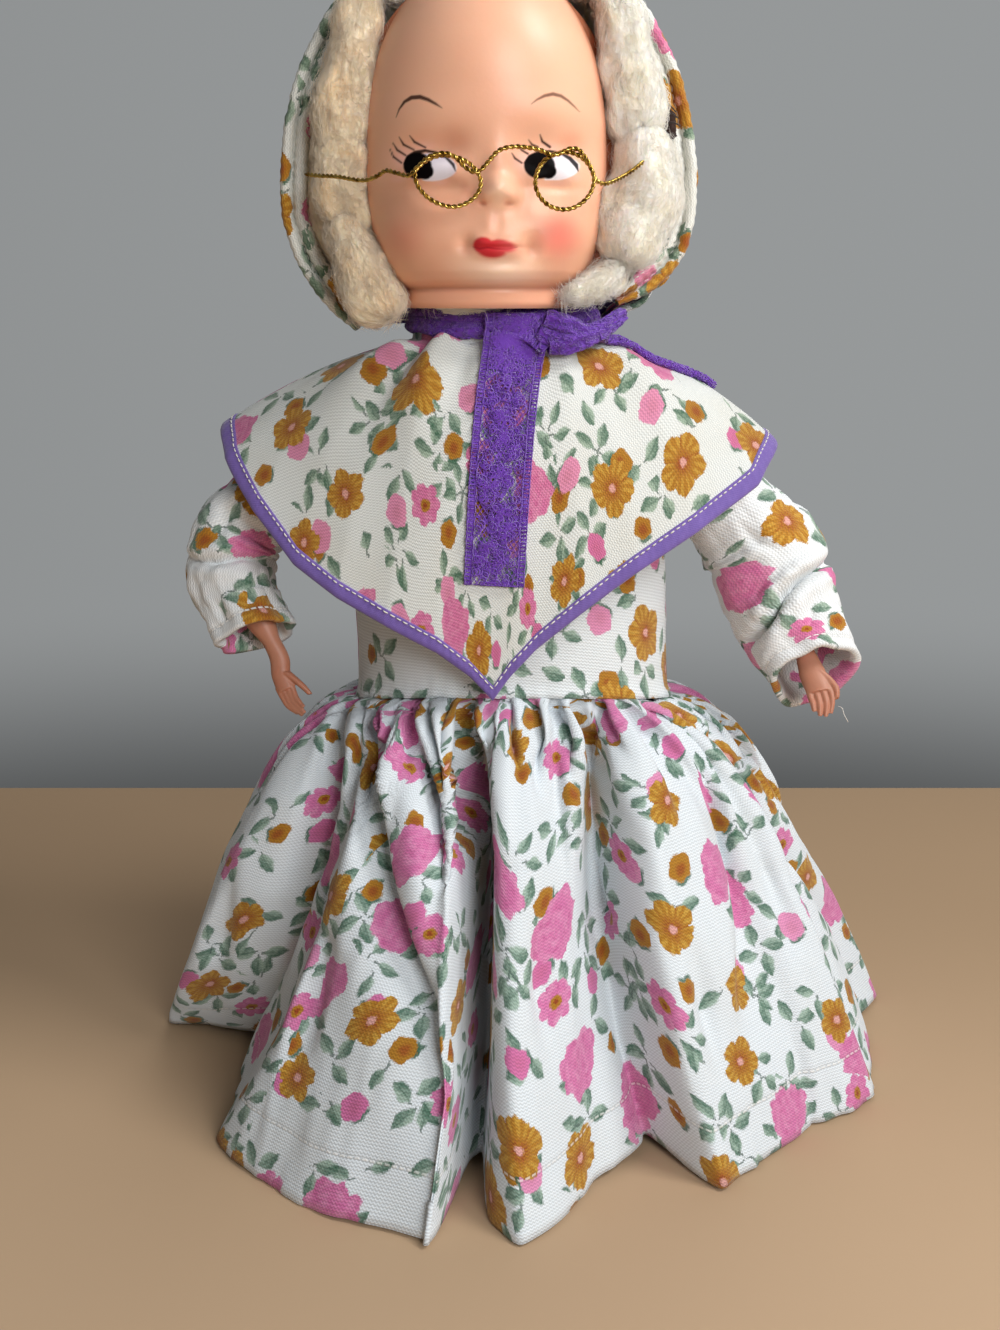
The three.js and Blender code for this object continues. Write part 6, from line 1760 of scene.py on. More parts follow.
# lips: a red left lobe, paler to the right, where a painted highlight turns the red to pale pink
lip = np.maximum(oval(483.6, 245.6, 10.6, 8.6, 0.15, 1.6), oval(500.5, 246.0, 15.5, 6.6, 0.12, 2.0))
lip = np.maximum(lip, oval(492.0, 250.6, 15.0, 7.4, 0.05, 1.8))
lip = lip * (1 - 0.9 * oval(493, 236.2, 4.0, 3.6, 0.0, 1.5))
lay(np.maximum(haze(490, 247, 27, 19), haze(506, 248, 26, 14)), srgb(238, 140, 126), 0.45)
tone = smoothstep(490, 521, QX)[..., None] * 0.45
lip_red_and_highlight = np.array(srgb(206, 36, 50)[:3]) * (1 - tone) + np.array(srgb(238, 132, 128)[:3]) * tone
k_ = (lip * front * 0.95)[..., None]
skin = skin * (1 - k_) + lip_red_and_highlight * k_
paint_cover = np.maximum(paint_cover, lip * front)
lay(brush([(473, 247), (480, 248.6), (488, 247.4), (496, 248.8), (507, 249.2), (517, 247.4)], [0.6, 1.6, 1.8, 1.6, 1.0, 0.4], 1.0), srgb(120, 16, 26), 0.6)
# painted shade: the crease under the chin and the side creases are darkened
crease_shade = (np.exp(-((Z - 253.3) / 0.9) ** 2) * 0.45)[..., None]
skin = skin * (1 - crease_shade) + np.array(srgb(150, 84, 72)[:3]) * crease_shade
crease_shade = (crease * 0.45)[..., None]
skin = skin * (1 - crease_shade) + np.array(srgb(196, 104, 66)[:3]) * crease_shade
fcol = np.concatenate([skin, paint_cover[..., None]], -1)

fm, fn = TH.shape
outer = grid(FP, uv=face_uv)
ui = np.linspace(0, fn - 1, 56).astype(int)
vi = np.linspace(0, fm - 1, 60).astype(int)
inn = FP[np.ix_(vi, ui)].copy()
nrm = normalize(np.stack([NX, NY, 0.25 * smoothstep(320, 347, Z)], -1))[np.ix_(vi, ui)]
edge = np.ones(inn.shape[:2])
edge[0, :] = edge[-1, :] = 0
edge[:, 0] = edge[:, -1] = 0
inn -= nrm * 1.3 * edge[..., None]
icol = fcol[np.ix_(vi, ui)] * np.array([0.95, 0.9, 0.85, 0.0])
inner = grid(inn, uv=face_uv[np.ix_(vi, ui)], flip=True)
face = make("face_vinyl", join([outer, inner]), M_FACE, "head", colors=np.concatenate([fcol.reshape(-1, 4), icol.reshape(-1, 4)]))
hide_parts("face_mask")


# --------------------------------------------------------------------- hair
def keep_off_face(P, margin):
    """moves points that lie inside the face out through its side"""
    z = P[..., 2]
    aa = np.interp(z, [r[0] for r in FACE], [r[1] for r in FACE]) + margin
    bb = np.interp(z, [r[0] for r in FACE], [r[2] for r in FACE]) + margin
    ok = (z > FACE[0][0]) & (z < FACE[-1][0]) & (P[..., 1] < 0)
    dx, dy = (P[..., 0] - HEAD_CX) / aa, (P[..., 1] - HEAD_CY) / bb
    r = np.sqrt(dx * dx + dy * dy) + 1e-6
    k = np.where(ok & (r < 1), 1 / r, 1.0)
    k = np.minimum(k, 1.6)
    out = P.copy()
    out[..., 0] = HEAD_CX + (P[..., 0] - HEAD_CX) * k
    out[..., 1] = HEAD_CY + (P[..., 1] - HEAD_CY) * k
    return out


def wool_roll(name, pts, radii, seed, node=None, lump=2.3, fibres=1500, body="head", n=150, m=110, twist=0.6, margin=0.7, flyaway=0.12, streak=0.09):
    path = catmull(pts, m)
    T, u, v = frames(path, (0, 1, 0))
    R0 = np.interp(np.linspace(0, 1, m), np.linspace(0, 1, len(radii)), radii)
    e = np.linspace(0, math.pi / 2, 26)[::-1][:-1]
    c0 = path[0] - T[0] * (np.sin(e) * R0[0] * 0.85)[:, None]
    c1 = path[-1] + T[-1] * (np.sin(e[::-1]) * R0[-1] * 0.85)[:, None]
    path = np.concatenate([c0, path, c1])
    rad = np.concatenate([R0[0] * np.cos(e) ** 0.8, R0, R0[-1] * np.cos(e[::-1]) ** 0.8])
    rad = np.maximum(rad, 0.02)
    u = np.concatenate([np.repeat(u[:1], 25, 0), u, np.repeat(u[-1:], 25, 0)])
    v = np.concatenate([np.repeat(v[:1], 25, 0), v, np.repeat(v[-1:], 25, 0)])
    M = len(path)
    s = np.concatenate([[0], np.cumsum(np.linalg.norm(np.diff(path, axis=0), axis=1))])
    ph = np.linspace(0, 2 * math.pi, n, endpoint=False)
    PH, S = np.meshgrid(ph, s)
    ph2 = PH + twist * S / 30.0
    q_ = np.stack([np.cos(PH) * 0.9, np.sin(PH) * 0.9, S / 14.0], -1)
    d = lump * fbm(q_ + seed, 1.0, seed, 2)
    q_ = np.stack([np.cos(ph2) * 4.0, np.sin(ph2) * 4.0, S / 18.0], -1)
    d += streak * 1.6 * fbm(q_, 1.0, seed + 11, 2)
    q_ = np.stack([np.cos(PH) * 5.0, np.sin(PH) * 5.0, S / 2.6], -1)
    d += 0.38 * fbm(q_ + seed, 1.0, seed + 23, 3)
    q_ = np.stack([np.cos(ph2) * 15, np.sin(ph2) * 15, S / 9.0], -1)
    d += streak * 0.45 * fbm(q_, 1.0, seed + 17, 2)
    scale = np.minimum(1, rad / 4.0)[:, None]
    rr = rad[:, None] + d * scale
    P = path[:, None] + (rr * np.cos(PH))[..., None] * u[:, None] + (rr * np.sin(PH))[..., None] * v[:, None]
    P = keep_off_face(P, margin)
    uv = np.stack(np.broadcast_arrays(np.append(ph, 2 * math.pi)[None, :] * float(np.mean(R0)), S[:, :1]), -1) * MM
    # rolls on the doll's right take the warmer, darker painted-shade copies of the wool
    m_wool, m_fib = (M_HAIR_SHADE, M_FIBRE_SHADE) if name.endswith("_right") else (M_HAIR, M_FIBRE)
    ob = make(name, grid(P, closed_u=True, uv=uv, flip=True), m_wool, body)
    if node:
        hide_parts(node)
    # fibres that lie on it, some lifting at the outline
    nr = normalize(P - path[:, None])
    K = 9
    cnt = int(fibres * 0.45)
    i0 = rng.integers(3, M - 14, cnt)
    ln = rng.integers(8, 40, cnt)
    t_ = np.linspace(0, 1, K)
    idx = np.clip(i0[:, None] + ln[:, None] * t_[None, :], 0, M - 2.001)
    j0 = rng.uniform(0, n, cnt)
    drift = rng.normal(0, 4.5, cnt)
    wav = rng.uniform(0.4, 2.2, cnt)
    phs = rng.uniform(0, 6.28, cnt)
    jj_ = (j0[:, None] + drift[:, None] * t_ + wav[:, None] * np.sin(phs[:, None] + 4.5 * t_)) % n
    ia, ja = idx.astype(int), jj_.astype(int)
    fi, fj = (idx - ia)[..., None], (jj_ - ja)[..., None]
    jb = (ja + 1) % n
    pos = (P[ia, ja] * (1 - fi) + P[ia + 1, ja] * fi) * (1 - fj) + (P[ia, jb] * (1 - fi) + P[ia + 1, jb] * fi) * fj
    nn = nr[ia, ja]
    lift = np.abs(rng.normal(0, 0.35, cnt)) + (rng.random(cnt) < flyaway) * rng.uniform(0.5, 1.8, cnt)
    base_l = rng.uniform(-0.05, 0.25, cnt)
    C = pos + nn * (base_l[:, None] + lift[:, None] * np.sin(np.pi * np.clip(t_ * 0.9 + 0.08, 0, 1)))[..., None]
    C = C + rng.normal(0, 0.10, C.shape)
    # short loose fuzz that points every way and stands off the surface
    c2_ = int(fibres * 2.4)
    i1, j1 = rng.integers(1, M - 2, c2_), rng.integers(0, n, c2_)
    p1, n1_ = P[i1, j1], nr[i1, j1]
    t1 = normalize(P[np.minimum(i1 + 1, M - 1), j1] - P[i1 - 1, j1] + 1e-9)
    b1_ = np.cross(n1_, t1)
    an = rng.normal(0, 0.85, c2_) + math.pi * (rng.random(c2_) < 0.5)
    dr = t1 * np.cos(an)[:, None] + b1_ * np.sin(an)[:, None]
    ln1 = rng.uniform(2.5, 8.0, c2_) * np.minimum(1, rad[i1] / 4 + 0.2)
    hh = np.abs(rng.normal(0.2, 0.5, c2_)) + (rng.random(c2_) < 0.12) * rng.uniform(0.4, 1.4, c2_)
    cv = rng.normal(0, 0.9, c2_)
    k1 = np.linspace(0, 1, 5)
    C1 = p1[:, None] + dr[:, None] * (ln1[:, None] * k1)[..., None] + np.cross(n1_, dr)[:, None] * (cv[:, None] * np.sin(3.1 * k1))[..., None]
    C1 = C1 + n1_[:, None] * (-0.15 + hh[:, None] * np.sin(2.6 * k1) - (ln1[:, None] * k1) ** 2 / (2 * rad[i1] + 4)[:, None])[..., None]
    C1 = keep_off_face(C1, margin - 0.3)
    fo = make(name + "_fibres", join([many_tubes(C, rng.uniform(0.030, 0.055, cnt)), many_tubes(C1, rng.uniform(0.035, 0.07, c2_))]), m_fib, body)
    return ob


wool_roll("wool_upper_right", [(-38.5, -19, 339), (-41.5, -18.5, 329), (-45, -18.5, 314), (-46.5, -17.5, 297)], [4.6, 6.6, 8.6, 8.4], 3, "hair_roll_upper_right", fibres=2400)
wool_roll("wool_middle_right", [(-46.5, -18, 291), (-47.5, -19, 282), (-45.5, -19, 273.5)], [7.6, 7.8, 6.8], 7, "hair_roll_middle_right", fibres=1500)
wool_roll("wool_lower_right", [(-45, -20, 268.5), (-41.5, -24.5, 259), (-36.0, -28.5, 250.5)], [6.8, 8.8, 8.2], 12, "hair_roll_lower_right", fibres=2000)
wool_roll("wool_upper_left", [(30, -19, 341), (34.5, -19, 331), (38, -19, 318), (39.5, -18, 303)], [4.8, 7.2, 9.2, 8.6], 15, "hair_roll_upper_left", fibres=2400)
wool_roll("wool_lower_left", [(42.5, -18.5, 293), (42.5, -20.5, 280), (39, -23, 267.5)], [8.6, 11.2, 9.2], 21, "hair_roll_lower_left", fibres=2200)
wool_roll("wool_neck_left", [(33, -24.5, 257), (27.5, -28.5, 253.5), (22, -31.5, 251.5)], [5.0, 4.4, 3.0], 24, "hair_roll_neck_left", fibres=900, lump=0.8)
wool_roll("wool_fringe", [(-27, -18.5, 345), (-14, -24, 350.5), (-2, -26, 352), (12, -22.5, 350), (22, -18, 345.5)], [4.6, 4.6, 4.4, 4.6, 4.6], 28, "hair_fringe", fibres=1500, lump=0.9, margin=0.9)
# a thin roll of the same wool tucked in under the chin, round the neck
azn = np.radians(np.linspace(-120, 120, 9))
wool_roll("wool_under_chin", [(AXIS_X - 2 + 23.5 * math.sin(t), -4 - 21.5 * math.cos(t), 247.2) for t in azn], [2.2] * 9, 33, None, fibres=260, lump=0.4, body="base", n=60, m=200, margin=-6)

# loose wool packed behind the rolls, out to the brim
wool_roll("wool_fill_right", [(-43, -5, 255), (-51.5, -5, 266), (-54.5, -5, 282), (-53.5, -5, 300), (-49.5, -5, 316), (-42, -5, 331)], [4.0, 4.5, 4.8, 4.8, 4.8, 4.5], 81, None, fibres=1800, lump=1.0)
wool_roll("wool_fill_top", [(-31, -10, 339.5), (-19, -13.5, 346.8), (-4, -15, 349.6), (12, -13.5, 347.2), (25, -10, 340.5)], [5.0, 5.6, 5.6, 5.6, 5.0], 87, None, fibres=1300, lump=1.0)
wool_roll("wool_fill_left", [(38, -5, 260), (44.5, -5, 268), (47.5, -5, 282), (46.5, -5, 300), (42.5, -5, 316), (35, -5, 331)], [4.0, 4.5, 4.8, 4.8, 4.8, 4.5], 84, None, fibres=1800, lump=1.0)

# the hair behind, which fills the back of the bonnet
n_, m_ = 120, 70
ph = np.linspace(0, math.pi, n_)
ps = np.linspace(0.02, math.pi / 2, m_)
rowsP = []
PHm, PSm = np.meshgrid(np.linspace(0, 2 * math.pi, n_, endpoint=False), ps)
C0 = np.array([BONNET_CX, 4.5, 305.0])
dirx = np.sin(PSm) * np.sin(PHm)
dirz = np.sin(PSm) * np.cos(PHm)
diry = np.cos(PSm)
kk = 1 + 0.025 * fbm(np.stack([dirx * 6, diry * 6, dirz * 6], -1), 1.0, 51)
PB = np.stack([C0[0] + dirx * 56 * kk, C0[1] + diry * 43 * kk, C0[2] + dirz * 44 * kk], -1)
PF = PB[-1:].copy()
PF[..., 1] -= 1.0
PM = np.stack([PF[0] * (1 - f) + np.array([C0[0], C0[1] - 1.0, C0[2]]) * f for f in np.linspace(0, 0.99, 20)])
PB = np.concatenate([PB, PM])
a_in = np.interp(PB[..., 2], [r[0] for r in BONNET], [r[1] for r in BONNET]) - 3.2
b_in = np.interp(PB[..., 2], [r[0] for r in BONNET], [r[2] for r in BONNET]) - 3.2
rr = np.sqrt(((PB[..., 0] - BONNET_CX) / a_in) ** 2 + (np.maximum(PB[..., 1], 0) / b_in) ** 2)
kk = np.where(rr > 1, 1 / rr, 1)
PB[..., 0] = BONNET_CX + (PB[..., 0] - BONNET_CX) * kk
PB[..., 1] = PB[..., 1] * kk
uvh = np.stack([PB[..., 0], PB[..., 2]], -1) * MM
uvh = np.concatenate([uvh, uvh[:, :1]], 1)
hb = make("wool_back", grid(PB, closed_u=True, uv=uvh), M_HAIR, "head")
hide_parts("hair_back_pad")

# ------------------------------------------------------------------- bonnet
nu, nv = 240, 120
TH, Q = np.meshgrid(np.linspace(math.radians(88), math.radians(272), nu), np.linspace(0, 1, nv))
Z = 243 + (362.0 - 243) * np.sin(Q * math.pi / 2) ** 1.0 * 1.0
aw = smooth_interp(Z, [r[:2] for r in BONNET], soft=1.6)
bw = smooth_interp(Z, [[r[0], r[2]] for r in BONNET], soft=1.6)
X = BONNET_CX + aw * np.sin(TH)
Y = -bw * np.cos(TH)
D = normalize(np.stack([(X - BONNET_CX), Y * 1.1, (Z - 300) * 0.9], -1))
psi = np.arctan2(np.sqrt((X - BONNET_CX) ** 2 + (Z - 300) ** 2), np.maximum(Y, 0.01))
phi = np.arctan2(X - BONNET_CX, Z - 300)
near = smoothstep(math.radians(48), math.radians(84), psi)
rip = np.abs(np.sin(phi * 19 + 1.3 * vnoise(np.stack([phi * 3, phi * 0], -1), 1.0, 6)))
g = -1.7 * (1 - rip) * near
g += -1.5 * (1 - np.abs(np.sin(TH * 22 + Z / 50))) * smoothstep(264, 246, Z)
g += 1.0 * fbm(np.stack([X / 24, Y / 24, Z / 24], -1), 1.0, 61) - 0.4
g *= smoothstep(362.2, 354, Z) * 0.9 + 0.1
BP = np.stack([X, Y, Z], -1) + D * g[..., None]
BP[..., 1] = np.maximum(BP[..., 1], 0.6)
uvb = np.stack([psi * 57 * np.sin(phi), psi * 57 * np.cos(phi)], -1) * MM
# rows that close the crown at its top
top_c = np.array([BONNET_CX, 0.7, 362.1])
more = np.stack([top_c + (BP[-1] - top_c) * f for f in (0.8, 0.6, 0.4, 0.2, 0.02)])
m_psi = np.arctan2(np.sqrt((more[..., 0] - BONNET_CX) ** 2 + (more[..., 2] - 300) ** 2), np.maximum(more[..., 1], 0.01))
m_phi = np.arctan2(more[..., 0] - BONNET_CX, more[..., 2] - 300)
uvb = np.concatenate([uvb, np.stack([m_psi * 57 * np.sin(m_phi), m_psi * 57 * np.cos(m_phi)], -1) * MM])
BP = np.concatenate([BP, more])
crown = make("bonnet_crown_cloth", grid(BP, uv=uvb, flip=True), M_BONNET, "head")
solidify(crown, 0.9)
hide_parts("bonnet_crown")

# the brim: a doubled strip whose two turned edges lie side by side
LOOP = [(-44.5, 241.5), (-55, 252), (-61.8, 263), (-65.4, 276), (-65.2, 291), (-62.6, 306), (-57.5, 320), (-49, 334), (-37.5, 346.5),
        (-22, 356.5), (-3.5, 360.8), (15, 356.5), (30.5, 346.5), (42, 334), (50.5, 320), (55.6, 306), (58.2, 291), (58.4, 276),
        (54.8, 263), (46, 254), (36.5, 249.5)]
lp = catmull([(x, 0, z) for x, z in LOOP], 420)
Tl = normalize(np.gradient(lp, axis=0))
outl = np.stack([-Tl[:, 2], 0 * Tl[:, 0], Tl[:, 0]], -1)
flipl = np.sign(((lp - np.array([BONNET_CX, 0, 300])) * outl).sum(-1, keepdims=True))
outl = outl * flipl
sl = np.concatenate([[0], np.cumsum(np.linalg.norm(np.diff(lp, axis=0), axis=1))])
pull = np.maximum(0, (262 - lp[:, 2]) / 22)
# section: (outward, forward) in mm; forward is towards -Y
SECB = [(1.3, -2.4), (1.75, 1.0), (1.9, 4.2), (1.85, 7.0), (1.45, 8.8), (0.55, 9.75), (-0.5, 9.7), (-1.35, 8.9), (-1.75, 7.6), (-1.95, 6.7),
        (-2.2, 7.4), (-2.8, 9.0), (-3.9, 10.0), (-5.2, 9.9), (-6.2, 8.8), (-6.5, 7.2), (-6.0, 5.2), (-4.4, 2.8), (-2.2, 0.8), (-1.0, -1.0), (-0.2, -2.4)]
sec_ = catmull([(x, y, 0) for x, y in SECB], 64, closed=True)[:, :2]
puck = 0.22 * vnoise(np.stack([sl / 4.0, sl * 0], -1), 1.0, 71) + 0.12 * np.sin(sl / 3.1 * 2 * math.pi)
wv = 0.5 * vnoise(np.stack([sl / 22.0, sl * 0], -1), 1.0, 72)
endt = np.minimum(smoothstep(0, 12, sl), smoothstep(sl[-1], sl[-1] - 12, sl))
rows = []
for ox_, fy_ in sec_:
    inner_f = smoothstep(-1.2, -2.4, np.array(ox_))
    amp = 1 + (0.7 * inner_f)
    o = ox_ * (0.55 + 0.45 * endt) + puck * amp + wv * (1 - smoothstep(-2, 4, np.array(fy_)))
    fwd = fy_ + 0.35 * vnoise(np.stack([sl / 7.0, sl * 0 + ox_ / 3], -1), 1.0, 73)
    rows.append(lp + outl * o[:, None] + np.array([0, -1.0, 0]) * (fwd + 5.2 * pull)[:, None])
BR = np.stack(rows, 1)
wsec = np.concatenate([[0], np.cumsum(np.linalg.norm(np.roll(sec_, -1, 0) - sec_, axis=1))])
uvr = np.stack(np.broadcast_arrays(wsec[None, :], sl[:, None]), -1) * MM
brim = make("bonnet_brim_cloth", grid(BR, closed_u=True, uv=uvr), M_BRIM, "head")
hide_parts("bonnet_brim")
capsV, capsF = [], []

# two rows of machine stitching along the seam between the rolls
parts = []
for o_, f_ in ((-1.95, 7.05), (-4.6, 10.05)):
    line = lp + outl * (o_ + puck * 1.0)[:, None] + np.array([0, -1.0, 0]) * (f_ + 5.2 * pull + 0.35 * vnoise(np.stack([sl / 7.0, sl * 0 + o_ / 3], -1), 1.0, 73))[:, None]
    x = 6.0
    while x < sl[-1] - 8:
        qq = np.linspace(x, x + 1.7, 4)
        pts = np.stack([np.interp(qq, sl, line[:, c]) for c in range(3)], -1)
        parts.append(tube(pts, [0.10, 0.17, 0.17, 0.10], 5))
        x += 2.5
make("bonnet_stitch", join(parts), M_THREAD, "head")

# lace inside the bonnet's neck edge
tn = np.radians(np.linspace(96, 264, 260))
zl = np.linspace(242.6, 253.0, 26)
TN, ZL = np.meshgrid(tn, zl)
aw = np.interp(ZL, [r[0] for r in BONNET], [r[1] for r in BONNET]) - 2.6
bw = np.interp(ZL, [r[0] for r in BONNET], [r[2] for r in BONNET]) - 2.6
rf = 0.9 * np.sin(TN * 40) * smoothstep(251, 243, ZL) - 0.5
LP = np.stack([BONNET_CX + (aw + rf) * np.sin(TN), -(bw + rf) * np.cos(TN), ZL], -1)
uvl = np.stack([(ZL - 248) * 1.0, TN * 50], -1) * MM
lace_in = make("lace_bonnet_edge", grid(LP, uv=uvl), M_LACE_DENSE, "head")
solidify(lace_in, 0.25, 0.0)
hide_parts("bonnet_neck_lace")

# a dark tuft with a few stitches, caught between the wool and the brim
M_TUFT = simple_material("dark_felt", srgb(70, 48, 40), srgb(34, 22, 18), 0.95, 300.0, bump=0.0006)
tuft_pts = [tuple(at_y(x, y, -13.0)) for x, y in ((664, 106), (667, 120), (665, 134), (661, 147))]
tp = catmull(tuft_pts, 60)
Tt, ut, vt = frames(tp, (0, 1, 0))
ph = np.linspace(0, 2 * math.pi, 48, endpoint=False)
rt = 3.0 * np.sin(np.linspace(0.05, math.pi - 0.05, 60)) ** 0.5
PHt, It = np.meshgrid(ph, np.arange(60))
dd = 1 + 0.22 * fbm(np.stack([np.cos(PHt) * 2, np.sin(PHt) * 2, It / 8.0], -1), 1.0, 81)
PT = tp[:, None] + (rt[:, None] * dd * np.cos(PHt))[..., None] * ut[:, None] * 0.7 + (rt[:, None] * dd * np.sin(PHt))[..., None] * vt[:, None]
make("felt_tuft", grid(PT, closed_u=True), M_TUFT, "head")
M_DARK = plain_cloth("dark_thread", srgb(58, 44, 40), srgb(30, 22, 20), pitch=0.3)
parts = []
for (x0, y0, x1, y1) in ((655, 101, 664, 108), (664, 113, 678, 118), (667, 123, 680, 126), (664, 133, 677, 136), (658, 98, 676, 112)):
    a0, a1 = at_y(x0, y0, -15.5), at_y(x1, y1, -14.5)
    mid = 0.5 * (a0 + a1) + np.array([0, -1.0, 0.4])
    parts.append(tube(catmull([a0, mid, a1], 12), 0.22, 6))
make("tuft_stitches", join(parts), M_DARK, "head")

# --------------------------------------------------------------- spectacles


def twisted(path, strand=0.36, off=0.33, pitch=3.3, sides=7, closed=False):
    L = float(np.linalg.norm(np.diff(path, axis=0), axis=1).sum())
    count = max(24, int(L / 0.22))
    p = catmull(path, count, closed)
    T, u, v = frames(p, (0, -1, 0), closed)
    s = np.concatenate([[0], np.cumsum(np.linalg.norm(np.diff(p, axis=0), axis=1))])
    if closed:
        tot = s[-1] + float(np.linalg.norm(p[0] - p[-1]))
        # whole turns, and the frame's leftover turn is taken back
        back = math.atan2(float(u[0] @ np.cross(T[0], u[-1])), float(u[0] @ u[-1]))
        turns = round(tot / pitch)
        w = (2 * math.pi * turns - back) / tot
    else:
        w = 2 * math.pi / pitch
    out = []
    for k in (0, math.pi):
        an = s * w + k
        c = p + off * (np.cos(an)[:, None] * u + np.sin(an)[:, None] * v)
        out.append(tube(c, strand, sides, closed=closed))
    return out


def pxp(points):
    return np.array([at_y(x, y, d) for x, y, d in points])


GY = -53.0
main = pxp([(306, 174, -27.5), (318, 175.5, -31), (332, 176, -34.5), (341, 177, -36.5), (354, 179.5, -39), (366, 180, -41.5), (377, 176, -44), (386, 170.5, -46.5), (397, 173, -49.5), (409, 175.2, -52.0),
            (419, 166, -53.6), (428, 157.5, -54.2), (437, 153.8, -54.4), (447, 153.5, -54.4), (456, 158, -54.3), (465, 167, -54.2), (474, 172, -54.4), (481, 169.5, -55.0),
            (489, 161, -55.6), (497, 152, -56.0), (505, 148, -56.2), (516, 146.6, -56.0), (528, 147.6, -55.6), (540, 150, -55.2), (552, 155, -54.9), (560, 153.5, -54.7),
            (569, 149, -54.6), (578, 149.5, -54.2), (585, 157, -53.6), (591, 168, -52.6), (596, 180, -51.4), (604, 184, -49.0), (613, 181.5, -45.5), (623, 176.5, -41.5), (634, 169.5, -37.5), (643, 162, -34.0)])
loop_l = pxp([(415, 172, -53.4), (417, 184, -53.4), (425, 195, -53.4), (436, 202.5, -53.5), (449, 206.5, -53.8), (461, 205.5, -54.1), (472, 199.5, -54.4), (479.5, 190, -54.6), (480.5, 179, -54.6), (475, 169, -54.4),
              (467, 162, -54.1), (456, 157, -53.7), (443, 155.2, -53.4), (430, 158.5, -53.3), (420, 165, -53.3)])
loop_r = pxp([(535.5, 186, -54.6), (540, 197, -54.6), (549, 205.5, -54.5), (560, 209.3, -54.3), (572, 208.3, -54.0), (583, 202, -53.5), (591, 192, -53.0), (594, 180, -52.7), (591, 168.5, -52.8), (584, 159.5, -53.2),
              (574, 153.5, -53.7), (562, 152.5, -54.0), (551, 156, -54.3), (542, 163.5, -54.5), (536.5, 174.5, -54.6)])
parts = twisted(main) + twisted(loop_l, closed=True) + twisted(loop_r, closed=True)
specs = make("gilt_spectacles", join(parts), M_GILT, "head")
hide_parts("spectacles")

# ------------------------------------------------- finishes of the hidden parts
HIDDEN = {
    "body_bottle": simple_material("bottle_plastic", srgb(236, 232, 220), srgb(222, 216, 200), 0.4, 30.0),
    "ballast_sand": simple_material("sand_grain", srgb(206, 184, 140), srgb(150, 126, 88), 0.95, 900.0, bump=0.0008),
    "neck_stopper": simple_material("cork_grain", srgb(200, 160, 112), srgb(140, 100, 62), 0.9, 260.0, bump=0.0006),
    "torso_padding": simple_material("wadding_felt", srgb(244, 240, 232), srgb(222, 214, 202), 0.95, 200.0, bump=0.0012),
    "head_core": simple_material("stuffing_core", srgb(240, 224, 204), srgb(222, 200, 176), 0.92, 160.0, bump=0.0008),
}
WIRE = simple_material("drawn_wire", srgb(168, 170, 174), srgb(120, 122, 126), 0.35, 320.0, 1.0, 0.0002)
for k in ("arm_wire_yoke", "arm_wire_right", "arm_wire_left"):
    HIDDEN[k] = WIRE
for k, m_ in HIDDEN.items():
    for sl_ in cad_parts[k].material_slots:
        sl_.material = m_

# ------------------------------------- the wadding under the clothes and mask
def wadded(node, name, body, voxel, depth, seed):
    """the soft core of a CAD node, with the lumps of hand-packed wadding, inside the same space"""
    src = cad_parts[node]
    ob = bpy.data.objects.new(name, src.data.copy())
    ob.matrix_world = src.matrix_world.copy()
    bpy.context.scene.collection.objects.link(ob)
    modifier(ob, "REMESH", mode="VOXEL", voxel_size=voxel * MM, use_smooth_shade=True)
    apply_modifiers(ob)
    me = ob.data
    co = np.zeros(len(me.vertices) * 3, np.float32)
    no = np.zeros(len(me.vertices) * 3, np.float32)
    me.vertices.foreach_get("co", co)
    me.vertices.foreach_get("normal", no)
    co, no = co.reshape(-1, 3).astype(float), no.reshape(-1, 3)
    q = co / MM
    down_ = depth * (0.5 + 0.5 * fbm(q / 9.0, 1.0, seed, 3)) + 0.35 * depth * np.abs(vnoise(q / 2.6, 1.0, seed + 4))
    co = co - no * np.clip(down_, 0, 1.6 * depth)[:, None] * MM
    me.vertices.foreach_set("co", co.astype(np.float32).ravel())
    me.update()
    me.materials.clear()
    me.materials.append(HIDDEN[node])
    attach(ob, body)
    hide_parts(node)
    return ob


torso_wadding = wadded("torso_padding", "torso_wadding", "base", 1.9, 0.7, 91)
head_wadding = wadded("head_core", "head_stuffing", "head", 1.7, 0.6, 95)

# -------------------------------------------------------------- cloth sizes
print("AREAS", {o.name: round(area_of(o, 2) * 1e4, 1) for o in (skirt, bodice, cape, sleeve_r, sleeve_l, crown, brim, neck_band, knot, tail_side, tail_front)}, SKIRT_FLAT, flat_sr, flat_sl)

# ------------------------------------------------------------ stage, lights
bpy.context.scene.view_settings.view_transform = "Standard"


def stage_sheet():
    back, r = 0.248, 0.008
    prof = [(-1.6, 0.0), (-0.8, 0.0), (0.0, 0.0), (0.15, 0.0)] + [(back - r + r * math.sin(t), -r + r * math.cos(t)) for t in np.linspace(0, math.pi / 2, 9)] + [(back, -0.03)]
    xs = np.linspace(-2.2, 2.2, 12)
    P = np.array([[(x, y, z) for x in xs] for y, z in prof]) * 1000
    return grid(P, flip=True)


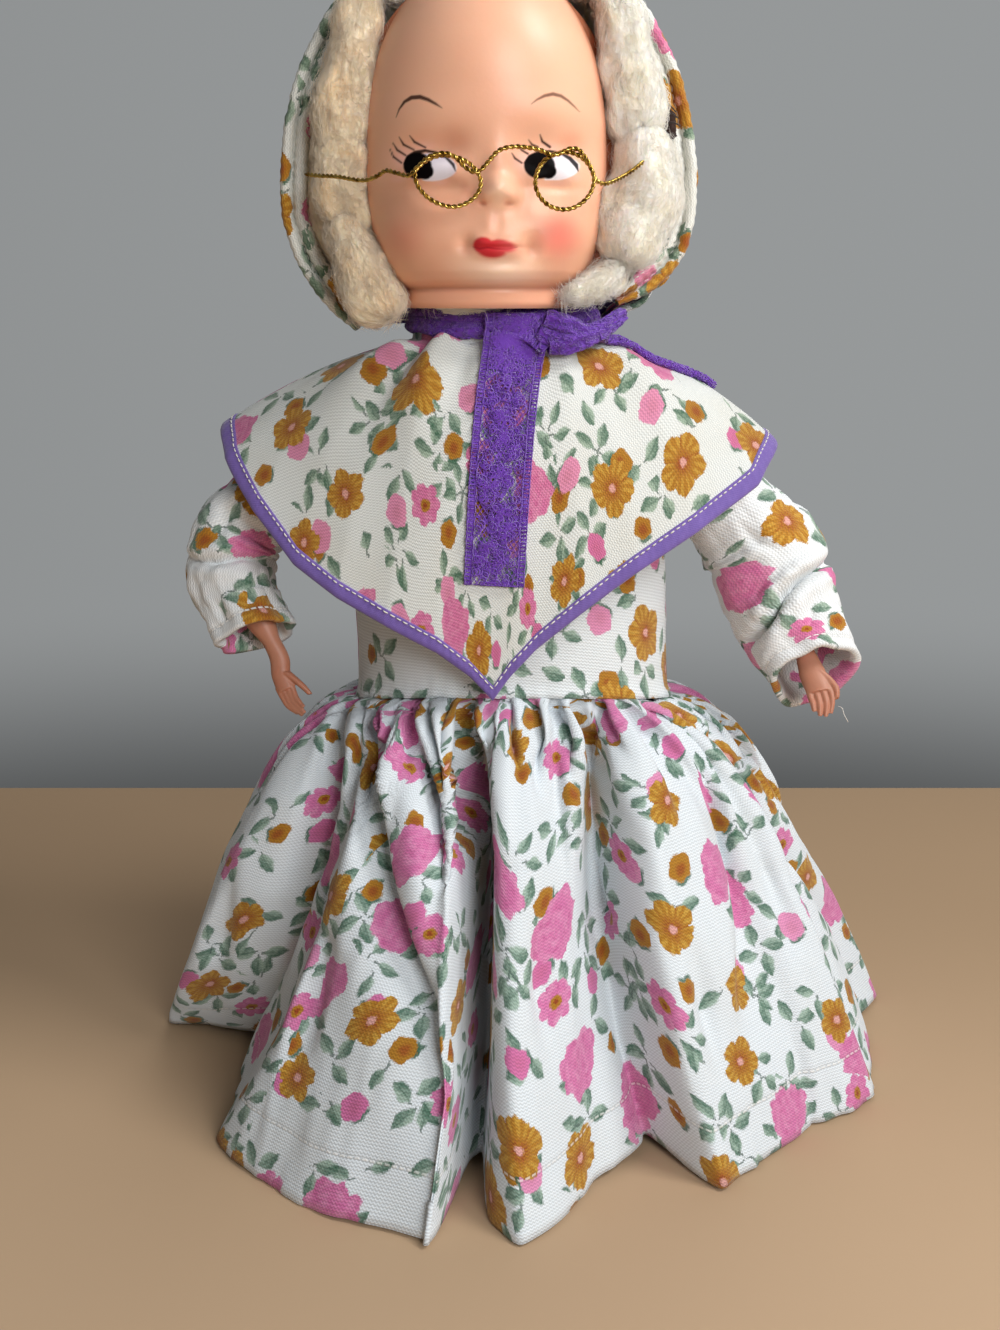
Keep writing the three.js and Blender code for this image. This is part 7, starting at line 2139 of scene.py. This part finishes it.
mtf, N, bs, out_ = material("stage_pale")
tc = N.new("ShaderNodeTexCoord")
n1 = N.noise(tc.outputs["Object"], 3.0, 2.0)
sx_, sy_, sz_ = N.xyz(tc.outputs["Object"])
# painted shade: the floor is darker around and behind the doll than in front of it
top_c = N.mix(n1, srgb(198, 169, 138), srgb(191, 162, 131))
far_floor_shade = N.mix(n1, srgb(168, 141, 111), srgb(162, 135, 106))
N.link(N.mix(N.step(-0.22, 0.10, sy_), top_c, far_floor_shade), bs.inputs["Base Color"])
bs.inputs["Roughness"].default_value = 0.75
bs.inputs["Specular IOR Level"].default_value = 0.2
st = make("stage", stage_sheet(), mtf, None)

# plain grey surroundings, lighter behind the doll than in front of it
world = bpy.data.worlds.new("world")
bpy.context.scene.world = world
world.use_nodes = True
bg = world.node_tree.nodes["Background"]
bg.inputs[0].default_value = (0.93, 0.965, 0.975, 1)
W = Nodes(world.node_tree)
wc = W.new("ShaderNodeTexCoord")
wx, wy, wz = W.xyz(wc.outputs["Generated"])
behind = W.step(-0.6, 1.5, W.m("MULTIPLY_ADD", wx, 0.35, wy))
low = W.step(-0.36, -0.2, wz)
W.link(W.m("MULTIPLY", W.m("MULTIPLY_ADD", behind, 0.22, 0.135), W.m("MULTIPLY_ADD", low, 0.74, 0.26)), bg.inputs[1])


def area_light(name, loc, target, size, watts, color=(1, 1, 1)):
    d = bpy.data.lights.new(name, "AREA")
    d.shape = "RECTANGLE"
    d.size, d.size_y = size
    d.energy = watts
    d.color = color
    o = bpy.data.objects.new(name, d)
    o.location = loc
    v_ = mathutils.Vector(target) - mathutils.Vector(loc)
    o.rotation_euler = v_.to_track_quat("-Z", "Y").to_euler()
    bpy.context.scene.collection.objects.link(o)
    return o


area_light("key", (0.62, -0.26, 0.92), (0, 0, 0.2), (0.34, 0.34), 6.0, (1.0, 0.99, 0.975))
area_light("front", (0.46, -1.04, 0.60), (0, 0, 0.18), (0.5, 0.5), 9.0, (0.98, 0.99, 1.0))
area_light("back_fill", (0.20, 0.82, 1.10), (0, 0, 0.2), (0.6, 0.6), 3.2, (1.0, 0.99, 0.98))
